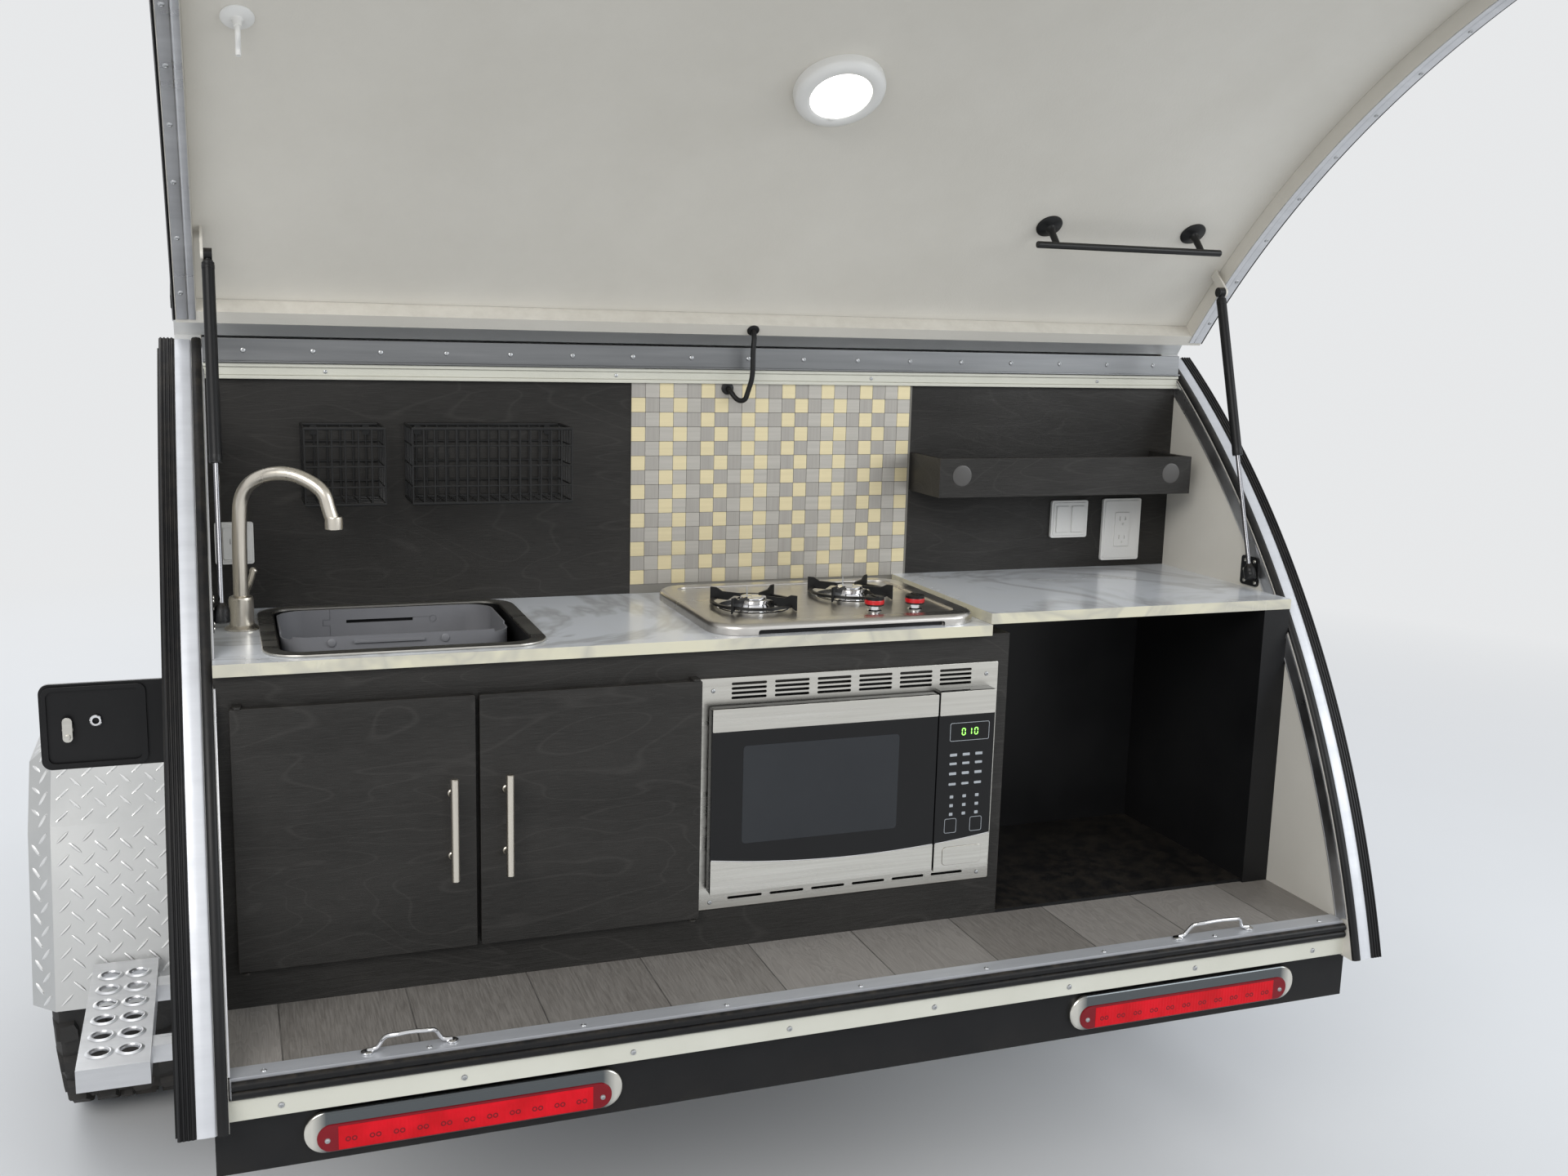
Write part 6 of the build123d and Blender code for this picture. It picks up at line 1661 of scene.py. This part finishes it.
def strut_details():
    """Collars, ball sockets and the plates' screws."""
    for side, way in SIDES:
        y = way * STRUT_Y
        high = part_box("strut_cylinder_" + side)[1]
        top = Vector((high.x - STRUT_EYE, y, high.z - STRUT_EYE))
        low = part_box("strut_rod_" + side)[0]
        foot = Vector((low.x + STRUT_EYE, y, low.z + STRUT_EYE))
        along = (foot - top).normalized()
        collar = lathed("collar", [(0.0045, 0.0), (0.0094, 0.0), (0.0094, 0.009), (0.008, 0.011),
            (0.0045, 0.011)], top + along * 0.2995, along, 28)
        neck = turned("neck", [(0.007, 0.0), (0.0094, 0.007), (0.0094, 0.012)], top + along * 0.01, along,
            28)
        hand_over(joined([collar, neck], "strut_collars_" + side), "black_plastic",
            body="strut_cylinder_" + side)
        length = (foot - top).length
        socket = turned("socket", [(0.0052, 0.0), (0.007, 0.003), (0.01, 0.006), (0.0112, 0.012),
            (0.0112, 0.026), (0.0095, 0.029)], top + along * (length - 0.019), along, 28)
        cap = turned("cap", [(0.0098, 0.0), (0.0104, 0.001), (0.0104, 0.0132), (0.0088, 0.015)],
            foot + Vector((0, way * 0.006, 0)), (0, -way, 0), 28)
        hand_over(joined([socket, cap], "strut_socket_" + side), "black_plastic", body="strut_rod_" + side)
        x, z = foot.x, foot.z
        spots = [(x + dx, way * STRUT_PLATE_Y, z + dz) for dx, dz in ((-0.001, -0.017), (0.03, -0.016),
            (0.032, 0.004), (0.03, 0.022), (0.004, 0.022))]
        screw_heads("strut_plate_screws_" + side, spots, (0, -way, 0), 0.0036, "stainless")


# Tail lamps

# The left lamp's ends across the trailer
LAMP_Y0 = 0.3718
LAMP_Y1 = 0.8136


def bezel_painted_reflection():
    """Chrome with a painted reflection: its base colour is dark along its length, standing for the dark
    surroundings that it mirrors, and bright at its round ends.
    """
    finish = Finish("lamp_bezel", Metallic=1.0, Roughness=0.14)
    aside = math_node(finish.tree, "ABSOLUTE", split_xyz(finish.tree, finish.place)["Y"])
    off = math_node(finish.tree, "ABSOLUTE", math_node(finish.tree, "SUBTRACT", aside,
        (LAMP_Y0 + LAMP_Y1) / 2))
    half = (LAMP_Y1 - LAMP_Y0) / 2
    # Painted reflection: the base colour is dark grey along the bezel and bright chrome only near its ends.
    end = ramp(finish.tree, off, half - 0.03, half - 0.012)
    finish.feed(Base_Color=finish.mix(end, (0.115, 0.125, 0.13), (0.66, 0.64, 0.58)))
    return finish.material


BEZEL_PAINTED_REFLECTION = bezel_painted_reflection()


def tail_lamp(name, y0, y1):
    """A long red lamp: bezel, red body low in it, dark screwed ends and paired dark points."""
    low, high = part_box("tail_lamps")
    x0, x1 = low.x, high.x
    z0, z1 = low.z, high.z
    lens_top = z0 + 0.043
    lens_in = 0.017
    bezel = plate(name + "_bezel", (x0 + 0.003, y0, z0), (x1, y1, z1), 0, 0.0305, 0, 14)
    bevel_edges(bezel, 0.0055, below(0, x0 + 0.0031), 5)
    # The bezel's dark middle is a painted reflection in its base colour.
    hand_over(bezel, "chrome", "tail_lamps", finish=BEZEL_PAINTED_REFLECTION)
    ends = plate(name + "_ends", (x0 + 0.0006, y0 + lens_in, z0 + 0.003),
        (x0 + 0.008, y1 - lens_in, lens_top), 0, 0.0195, 0.003, 10)
    hand_over(ends, "lamp_lens", finish=LENS_DARK)
    body = plate(name + "_body", (x0, y0 + lens_in + 0.028, z0 + 0.0052), (x0 + 0.007, y1 - lens_in - 0.028,
        lens_top - 0.0035), 0, 0.0012, 0.0022, 3)
    hand_over(body, "lamp_lens")
    middle = (z0 + lens_top) / 2
    points = []
    for y in spread(y0 + 0.062, y1 - 0.062, 11):
        for dy in (-0.0042, 0.0042):
            points.append(lathed("point", [(0.0018, 0.0), (0.0024, 0.0002), (0.0034, 0.0002), (0.004, 0.0)],
                (x0 + 0.00005, y + dy, middle - 0.002), (-1, 0, 0), 14))
    hand_over(joined(points, name + "_points"), "lamp_lens", finish=LENS_DARK)
    screw_heads(name + "_screws",
        [(x0 + 0.0006, y, middle - 0.001) for y in (y0 + lens_in + 0.014, y1 - lens_in - 0.014)],
        (-1, 0, 0), 0.004, "zinc_steel")


def tail_lamps():
    tail_lamp("tail_lamp_left", LAMP_Y0, LAMP_Y1)
    tail_lamp("tail_lamp_right", -LAMP_Y1, -LAMP_Y0)


# Fenders and steps

# The wheels' centres, along and up, and how far out they stand
WHEEL_AT = (-2.69, -0.135)
WHEEL_OUT = 1.1075
# Half of a fender's profile about its wheel's centre, as in the solids: (along, up)
FENDER_HALF = ((0.41, -0.015), (0.325, 0.31), (0.22, 0.445))
FENDER_BEVEL = 0.042
FENDER_OUT = 1.245
TREAD_PITCH = 0.042
TREAD_L = 0.029
TREAD_W = 0.007
TREAD_H = 0.002
# The steps' holes: height, the first one's X, their pitch, and the two rows' Y
STEP_TOP = -0.065
STEP_HOLE_X = -3.465
STEP_HOLE_PITCH = 0.061
STEP_ROWS = (1.057, 1.103)


def tread_bar():
    """One raised bar of tread plate, long in X and standing on the XY plane."""
    def tapered(at):
        share = abs(at.x) / (TREAD_L / 2)
        y = at.y * (0.12 + 0.88 * math.sqrt(max(0.0, 1 - share ** 2)))
        if at.z <= 0:
            return Vector((at.x, y, at.z))
        return Vector((at.x, y * 0.45, TREAD_H * (1 - 0.6 * share ** 4)))

    low, high = (-TREAD_L / 2, -TREAD_W / 2, -0.0004), (TREAD_L / 2, TREAD_W / 2, TREAD_H)
    return reshaped(block("tread_bar", low, high), 0, 5, tapered)


def tread_field(bar, corner, along, across, length, width, margin):
    """Copies of the bar over a flat face: one grid leans one way, and the grid between leans the other."""
    along, across = Vector(along).normalized(), Vector(across).normalized()
    face = Matrix((along, across, along.cross(across))).transposed().to_4x4()
    rows = max(1, round((length - 2 * margin) / TREAD_PITCH * 2))
    cols = max(1, round((width - 2 * margin) / TREAD_PITCH * 2))
    bars = []
    for i in range(rows + 1):
        for j in range(cols + 1):
            if (i + j) % 2:
                continue
            at = (Vector(corner) + along * (margin + (length - 2 * margin) * i / rows)
                + across * (margin + (width - 2 * margin) * j / cols))
            turn = face @ Matrix.Rotation(math.radians(45 if i % 2 else -45), 4, "Z")
            bars.append(copied(bar, at, turn))
    return bars


def fender_tread():
    """Raised bars over the left fender's folded faces, and mirrored to the right; they are lighter than the
    plate, a painted highlight.
    """
    bar = tread_bar()
    outline = [(-x, z) for x, z in FENDER_HALF] + [(x, z) for x, z in reversed(FENDER_HALF)]
    points = [Vector((WHEEL_AT[0] + x, 0, WHEEL_AT[1] + z)) for x, z in outline]
    inner, outer = WALL_OUT + 0.002, FENDER_OUT - FENDER_BEVEL
    bars = []
    for a, b in zip(points, points[1:]):
        along = b - a
        bars += tread_field(bar, (a.x, inner, a.z), along, (0, 1, 0), along.length, outer - inner, 0.02)
        slope = Vector((0, FENDER_BEVEL, 0)) + along.cross(Vector((0, 1, 0))).normalized() * -FENDER_BEVEL
        bars += tread_field(bar, (a.x, outer, a.z), along, slope, along.length, slope.length, 0.02)
    left = joined(bars, "fender_tread_left")
    discard(bar)
    on_both_sides(left, "fender_tread", "tread_plate", finish=TREAD_PAINTED_HIGHLIGHT)


def step_rims():
    """Dimpled rims round the steps' holes."""
    rims = []
    for i in range(6):
        for y in STEP_ROWS:
            rims.append(lathed("rim", [(0.015, 0.0004), (0.0158, 0.0022), (0.0175, 0.0026), (0.0205, 0.001),
                (0.0222, 0.0003), (0.015, -0.003), (0.014, -0.0036), (0.014, -0.0012), (0.015, 0.0004)],
                (STEP_HOLE_X + i * STEP_HOLE_PITCH, y, STEP_TOP), steps=32))
    on_both_sides(joined(rims, "step_rims_left"), "step_rims", "aluminium")


# Wheels

NUT_CIRCLE = 0.0695
VALVE_CIRCLE = 0.15


def tyre(side, way):
    """An off-road tyre: casing with rings and blocks, sharp shoulder lugs and a broken middle rib."""
    cx, cz = WHEEL_AT
    radius, bead = 0.366, 0.192
    floor = radius - 0.0115
    outline = [(bead + 0.002, 0.079), (bead + 0.01, 0.0835), (bead + 0.022, 0.094), (bead + 0.034, 0.108),
        (bead + 0.036, 0.1098), (bead + 0.041, 0.1102), (bead + 0.06, 0.113), (bead + 0.066, 0.1152),
        (bead + 0.07, 0.1156), (bead + 0.092, 0.1156), (bead + 0.096, 0.1148), (radius - 0.05, 0.113),
        (radius - 0.034, 0.1085), (radius - 0.016, 0.0985), (floor, 0.088), (floor, 0.0)]
    ring = outline + [(r, -y) for r, y in reversed(outline[:-1])] + [(bead + 0.002, -0.079)]
    casing = lathed("casing", ring, (0, 0, 0), (0, 1, 0), 104)
    parts = [casing]
    pitches = 26

    def tread_block(name, corners_low, corners_high):
        """A block between two outlines of (across, along) corners at two radii, in the wheel's plane."""
        piece = block(name, (0, 0, 0), (0.01, 0.01, 0.01))
        mesh = bmesh.new()
        rings = []
        for r, corners in (corners_low, corners_high):
            rings.append([mesh.verts.new((along, y, r)) for y, along in corners])
        mesh.faces.new(rings[0])
        mesh.faces.new(rings[1])
        count = len(rings[0])
        for k in range(count):
            mesh.faces.new((rings[0][k], rings[0][(k + 1) % count], rings[1][(k + 1) % count], rings[1][k]))
        bmesh.ops.recalc_face_normals(mesh, faces=mesh.faces)
        mesh.to_mesh(piece.data)
        mesh.free()
        return piece

    long = math.pi * radius / pitches
    shoulder = ((0.098, -0.5), (0.098, 0.36), (0.072, 0.5), (0.066, 0.16), (0.0655, -0.34))
    mid = ((0.056, -0.62), (0.048, 0.3), (0.018, 0.52), (0.014, -0.1), (0.026, -0.46))
    centre = ((0.01, -0.74), (0.012, -0.1), (0.003, 0.1), (-0.011, 0.16), (-0.012, -0.5), (-0.004, -0.66))

    def scaled(corners, grow):
        middle_y = sum(y for y, _ in corners) / len(corners)
        middle_a = sum(a for _, a in corners) / len(corners)
        return [(middle_y + (y - middle_y) * grow, (middle_a + (a - middle_a) * grow) * long)
            for y, a in corners]

    kinds = [tread_block("lug", (floor - 0.004, scaled(c, 1.06)), (radius - 0.0012, scaled(c, 0.94)))
        for c in (shoulder, mid, centre)]
    side_lug = tread_block("side_lug",
        (radius - 0.05, [(0.1, -0.3 * long), (0.1, 0.18 * long), (0.1135, 0.14 * long),
        (0.1135, -0.24 * long)]),
        (radius - 0.006, [(0.09, -0.46 * long), (0.09, 0.34 * long), (0.1045, 0.28 * long),
        (0.1045, -0.4 * long)]))
    for k in range(2 * pitches):
        turn = Matrix.Rotation(math.pi * k / pitches, 4, "Y")
        for piece in (kinds[0], kinds[1], side_lug):
            flip = Matrix.Identity(4) if k % 2 else Matrix.Rotation(math.pi, 4, "Z")
            parts.append(copied(piece, turn=turn @ flip))
        if k % 2:
            parts.append(copied(kinds[2], turn=turn))
    for piece in kinds + [side_lug]:
        discard(piece)
    marks = []
    for k in (k for k in range(24) if k % 6):
        mark = block("mark", (-0.01, 0.115, bead + 0.074), (0.01, 0.1163, bead + 0.088))
        bevel_edges(mark, 0.0008, None, 1)
        for flip in (0, math.pi):
            marks.append(copied(mark, turn=Matrix.Rotation(math.radians(15 * k), 4, "Y")
                @ Matrix.Rotation(flip, 4, "Z")))
        discard(mark)
    tyre_piece = joined(parts + marks, "tyre_" + side + "_made")
    tyre_piece.data.transform(Matrix.Translation((cx, way * WHEEL_OUT, cz)))
    hand_over(tyre_piece, "tyre", "tyre_" + side, body="wheel_" + side, smooth=32)


def wheel_fittings(side, way):
    """Nuts, centre cap and valve on the black wheel's outer face."""
    cx, cz = WHEEL_AT
    face = way * (WHEEL_OUT + 0.022 + 0.0045)
    nuts = []
    for k in range(6):
        a = math.radians(60 * k + 30)
        x, z = cx + NUT_CIRCLE * math.cos(a), cz + NUT_CIRCLE * math.sin(a)
        nuts.append(lathed("nut", [(0.0, 0.0), (0.0125, 0.0), (0.0108, 0.004), (0.0108, 0.02),
            (0.0085, 0.0235), (0.0, 0.024)], (x, face, z), (0, way, 0), 6))
    hand_over(joined(nuts, "wheel_nuts_" + side), "chrome", body="wheel_" + side)
    hub_y = way * (WHEEL_OUT - 0.01 + 0.055)
    cap = lathed("hub_cap_" + side, [(0.0, 0.014), (0.022, 0.012), (0.033, 0.006), (0.035, 0.001),
        (0.035, 0.0), (0.0, 0.0)], (cx, hub_y, cz), (0, way, 0), 48)
    hand_over(cap, "chrome", body="wheel_" + side)
    a = math.radians(64)
    start = Vector((cx + VALVE_CIRCLE * math.cos(a), face + way * 0.002, cz + VALVE_CIRCLE * math.sin(a)))
    stem = lathed("valve_" + side, [(0.0, 0.0), (0.0055, 0.0), (0.0048, 0.008), (0.004, 0.026),
        (0.005, 0.027), (0.005, 0.034), (0.0, 0.0345)], start,
        (0.25 * math.cos(a), way, 0.25 * math.sin(a)), 16)
    hand_over(stem, "black_plastic", body="wheel_" + side)


# Body trim

TRIM_RIBS = (0.949, 0.9545, 0.96, 0.965)
# Section of the moulding along the body's side edges, as (outward, y) corners, and of its black insert
MOULDING = ((-0.02, 0.9452), (-0.02, 0.9476), (-0.0175, 0.9484), (0.053, 0.9484), (0.0563, 0.947),
    (0.0563, 0.92), (0.0553, 0.9185), (0.0542, 0.9185), (0.0542, 0.9452))
INSERT = ((0.004, 0.948), (0.0055, 0.9496), (0.0285, 0.9496), (0.03, 0.948))


def trim_ribs():
    """Fine ribs on the rear trims' faces that look back."""
    section = [(0.0016, TRIM_RIBS[0] - 0.003)]
    for y in TRIM_RIBS:
        section += [(0.0022, y - 0.0021), (0.004, y - 0.001), (0.004, y + 0.001), (0.0022, y + 0.0021)]
    section.append((0.0016, TRIM_RIBS[-1] + 0.003))
    left = spun("trim_ribs_left", section, ARC, SILL_SLOPE, HINGE_SLOPE + 0.3, EDGE_STEPS)
    on_both_sides(left, "trim_ribs", "trim_black", smooth=25)


def body_arcs():
    """The side profile ahead of the hinge: arcs as (centre and radius, first slope, last slope)."""
    arcs = []
    x, z, radius, slope = ARC_X, ARC_Z, ARC_R, HINGE_SLOPE
    for next_radius, end in ((1.1, 0.0), (1.9, -45.0), (0.75, -85.0), (20.0, -85.62)):
        a = math.radians(slope)
        x, z = x - math.sin(a) * (radius - next_radius), z + math.cos(a) * (radius - next_radius)
        arcs.append(((x, z, next_radius), slope, end))
        radius, slope = next_radius, end
    arcs[0] = (arcs[0][0], HINGE_SLOPE - 3.5, 0.0)
    return arcs


def body_mouldings():
    """Aluminium moulding with a black insert along the body's side edges, from the hinge to the sill."""
    for name, section, slot, finish in (("moulding", MOULDING, "aluminium", FINISH["aluminium"]),
            ("moulding_insert", INSERT, "trim_black", FINISH["trim_black"])):
        strips = [spun("strip", section, arc, first, last, max(1, round(first - last)))
            for arc, first, last in body_arcs()]
        on_both_sides(joined(strips, name + "_left"), name, slot, finish=finish, smooth=25)


def side_lamps():
    """A small amber lamp at the front and a red one at the rear of each wall."""
    for name, x, finish in (("amber", -1.245, AMBER), ("red", -3.7, FINISH["lamp_lens"])):
        for side, way in SIDES:
            foot = plate("foot", (x - 0.036, WALL_OUT - 0.001, 0.094), (x + 0.036, WALL_OUT + 0.004, 0.122),
                1, 0.013, 0.001, 8)
            lens = plate("lens", (x - 0.031, WALL_OUT + 0.002, 0.098),
                (x + 0.031, WALL_OUT + 0.0135, 0.118), 1, 0.0095, 0.003, 8)
            if way < 0:
                foot, lens = (mirrored_away(piece) for piece in (foot, lens))
            hand_over(foot, "black_plastic").name = name + "_lamp_foot_" + side
            hand_over(lens, "lamp_lens", finish=finish).name = name + "_lamp_" + side


def mirrored_away(piece):
    """The piece on the other side, in place of the first."""
    twin = mirrored(piece, piece.name + "_right")
    discard(piece)
    return twin


# Entry doors

LATCH_IN = 0.03
LATCH_L = 0.09
LATCH_H = 0.08
LATCH_LOW = 0.555


def entry_door_trim(side, way):
    """Frame, window rubber and latch of an entry door."""
    low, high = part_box("entry_door_left")
    name = "entry_door_" + side
    front = high.x - 0.0225
    frame = plate("frame", (low.x + 0.003, WALL_OUT - 0.001, low.z + 0.003),
        (front, WALL_OUT + 0.0022, high.z - 0.003), 1, 0.11, 0.0008, 14)
    cut(frame, plate("opening", (low.x + 0.027, WALL_OUT - 0.01, low.z + 0.027),
        (front - 0.024, WALL_OUT + 0.01, high.z - 0.027), 1, 0.088, 0, 14))
    glass_low, glass_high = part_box("entry_window_left")
    rubber = plate("rubber", (glass_low.x - 0.014, WALL_OUT - 0.001, glass_low.z - 0.014),
        (glass_high.x + 0.014, WALL_OUT + 0.006, glass_high.z + 0.014), 1, 0.074, 0.002, 12)
    cut(rubber, plate("opening", (glass_low.x + 0.006, WALL_OUT - 0.02, glass_low.z + 0.006),
        (glass_high.x - 0.006, WALL_OUT + 0.02, glass_high.z - 0.006), 1, 0.054, 0, 12))
    latch_x, latch_z = low.x + LATCH_IN, LATCH_LOW
    case = plate("case", (latch_x - 0.0006, WALL_OUT - 0.001, latch_z - 0.0006),
        (latch_x + LATCH_L + 0.0006, WALL_OUT + 0.0145, latch_z + LATCH_H + 0.0006), 1, 0.011, 0.003, 6)
    middle = latch_z + LATCH_H / 2
    proud = WALL_OUT + 0.0145
    grip = wire("grip", [(latch_x + 0.012, proud, middle), (latch_x + 0.015, proud + 0.008, middle),
        (latch_x + 0.055, proud + 0.009, middle), (latch_x + 0.06, proud, middle)], 0.005, sides=5)
    lock = lathed("lock", [(0.0, 0.0), (0.009, 0.0), (0.009, 0.002), (0.006, 0.0028), (0.0, 0.002)],
        (latch_x + 0.075, proud, middle), (0, 1, 0), 24)
    latch = joined([grip, lock], "latch_" + side)
    pieces = [frame, rubber, latch, case]
    if way < 0:
        pieces = [mirrored_away(piece) for piece in pieces]
    labels = ("frame", "window_rubber", "latch", "latch_case")
    for piece, label, slot in zip(pieces, labels, ("aluminium", "trim_black", "chrome", "black_plastic")):
        hand_over(piece, slot, body=name).name = name + "_" + label


# Roof vent

VENT_DOME = 0.048


def vent_details():
    """Ribs on the vent's dome and screws round its flange."""
    low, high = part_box("roof_vent")
    middle = (low + high) / 2
    half = (high.x - low.x) / 2
    ribs = []
    for k in (-2, -1, 0, 1, 2):
        ribs.append(plate("rib", (middle.x - half + 0.06, k * 0.062 - 0.01, high.z - 0.0035),
            (middle.x + half - 0.06, k * 0.062 + 0.01, high.z - 0.0003), 2, 0.0095, 0.001, 6))
    for piece in ribs:
        piece.data.transform(Matrix.Translation((0, 0, 0.003)))
    hand_over(joined(ribs, "vent_ribs"), "white_plastic")
    rim = high.z - VENT_DOME
    places = []
    for s in spread(-0.165, 0.165, 5):
        for edge in (-half + 0.0075, half - 0.0075):
            places += [(middle.x + s, edge, rim), (middle.x + edge, s, rim)]
    screw_heads("vent_screws", places, (0, 0, 1), 0.0042, "stainless")


# Tongue box

def tongue_box_tread():
    """Raised bars on the box's and the lid's faces, lighter than the plate, a painted highlight."""
    bar = tread_bar()
    low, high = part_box("tongue_lid")
    lid = tread_field(bar, (low.x, low.y, high.z), (1, 0, 0), (0, 1, 0), high.x - low.x, high.y - low.y,
        0.022)
    hand_over(joined(lid, "tongue_lid_tread"), "tread_plate", body="tongue_lid", finish=TREAD_PAINTED_HIGHLIGHT)
    low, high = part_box("tongue_box")
    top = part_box("tongue_lid")[0].z - 0.004
    long, wide, tall = high.x - low.x, high.y - low.y, top - low.z
    bars = tread_field(bar, (low.x + 0.006, high.y, low.z), (0, 0, 1), (1, 0, 0), tall, long - 0.006, 0.022)
    bars += tread_field(bar, (low.x + 0.006, low.y, low.z), (1, 0, 0), (0, 0, 1), long - 0.006, tall, 0.022)
    bars += tread_field(bar, (high.x, low.y, low.z), (0, 1, 0), (0, 0, 1), wide, tall, 0.022)
    hand_over(joined(bars, "tongue_box_tread"), "tread_plate", finish=TREAD_PAINTED_HIGHLIGHT)
    discard(bar)


# Camera, light and floor

# Colour of the backdrop, and of the floor far from the trailer
BACKDROP = (0.8, 0.81, 0.82)
# Distances from the trailer between which the floor takes on that colour
FADE_FROM = 2.2
FADE_TO = 6.5
# Soft lights: name, place, target, size, power in watts and colour
LIGHTS = (
    ("key", (-8.0, 3.2, 3.6), (-3.4, 0, 0.5), (3.4, 2.4), 172, (1.0, 0.985, 0.96)),
    ("fill", (-7.2, -4.0, 2.4), (-3.4, 0, 0.4), (3.0, 2.4), 88, (0.93, 0.97, 1.0)),
    ("top", (-2.0, 0.5, 5.5), (-2.4, 0, 0), (5.0, 5.0), 104, (1, 1, 1)),
    ("front", (3.6, 3.0, 3.2), (-1.4, 0, 0.2), (3.2, 2.4), 82, (0.96, 0.98, 1.0)),
)


def add_camera():
    data = bpy.data.cameras.new("camera")
    data.sensor_width = SENSOR
    data.lens = FOCAL_PIXELS * SENSOR / PHOTO_WIDTH
    camera = bpy.data.objects.new("camera", data)
    bpy.context.scene.collection.objects.link(camera)
    columns = (Vector(CAMERA_RIGHT), Vector(CAMERA_UP), -Vector(CAMERA_AHEAD))
    turn = Matrix(columns).transposed().to_4x4()
    camera.matrix_world = Matrix.Translation(CAMERA_AT) @ turn
    bpy.context.scene.camera = camera


def add_light(name, at, target, size, power, colour):
    data = bpy.data.lights.new(name, "AREA")
    data.shape = "RECTANGLE"
    data.size, data.size_y = size
    data.energy = power
    data.color = colour
    lamp = bpy.data.objects.new(name, data)
    bpy.context.scene.collection.objects.link(lamp)
    lamp.location = at
    lamp.rotation_mode = "QUATERNION"
    lamp.rotation_quaternion = (Vector(target) - Vector(at)).to_track_quat("-Z", "Y")


def seen_brightness(tree, lit, seen, strength):
    """Mixes a lighting colour with the colour that camera, mirrors and glass see."""
    mix = add(tree, "ShaderNodeMix", {6: (*lit, 1), 7: (*seen, 1)}, data_type="RGBA")
    tree.links.new(seen_rays(tree), mix.inputs[0])
    background = tree.nodes["Background"]
    background.inputs["Strength"].default_value = strength
    tree.links.new(mix.outputs[2], background.inputs["Color"])


def add_world():
    world = bpy.data.worlds.new("studio")
    bpy.context.scene.world = world
    world.use_nodes = True
    seen_brightness(world.node_tree, (0.58, 0.62, 0.68), BACKDROP, 1.0)


def add_floor():
    """A pale floor that keeps shadows near the trailer and runs into the backdrop's colour far from it."""
    clear()
    bpy.ops.mesh.primitive_plane_add(size=80, location=(-2, 0, GROUND - 0.0005))
    floor = settle(bpy.context.active_object, "floor")
    finish = Finish("pale_floor", Roughness=0.9)
    tree = finish.tree
    mottle = finish.group("mottle", Scale=0.8)
    finish.feed(Base_Color=finish.mix(mottle["Patches"], (0.74, 0.74, 0.735), (0.76, 0.76, 0.755)))
    far = add(tree, "ShaderNodeVectorMath", operation="DISTANCE")
    tree.links.new(finish.place, far.inputs[0])
    far.inputs[1].default_value = (-2.4, 0, GROUND)
    fade = math_node(tree, "MULTIPLY", ramp(tree, far.outputs["Value"], FADE_FROM, FADE_TO),
        seen_rays(tree))
    glow = add(tree, "ShaderNodeEmission", {"Color": (*BACKDROP, 1), "Strength": 1.0})
    mix = add(tree, "ShaderNodeMixShader")
    tree.links.new(fade, mix.inputs[0])
    tree.links.new(finish.shader.outputs[0], mix.inputs[1])
    tree.links.new(glow.outputs[0], mix.inputs[2])
    tree.links.new(mix.outputs[0], tree.nodes["Material Output"].inputs["Surface"])
    floor.data.materials.append(finish.material)


def add_studio():
    add_camera()
    add_world()
    add_floor()
    bpy.context.scene.view_settings.view_transform = "Standard"
    for light in LIGHTS:
        add_light(*light)


dress_nodes()
mosaic()
header_strips()
edge_strips()
rear_sill()
microwave_front()
microwave_door()
hob()
sink_basin()
sink_tub()
tap()
wire_baskets()
shelf_discs()
wall_fittings()
cabinet_door("left")
cabinet_door("right")
utility_door_fittings()
hatch_liner()
hatch_ends()
hatch_lamp()
towel_rail()
hatch_hook()
lamp_lead()
strut_details()
tail_lamps()
fender_tread()
step_rims()
for side in SIDES:
    tyre(*side)
    wheel_fittings(*side)
trim_ribs()
body_mouldings()
side_lamps()
for side in SIDES:
    entry_door_trim(*side)
vent_details()
tongue_box_tread()
add_studio()
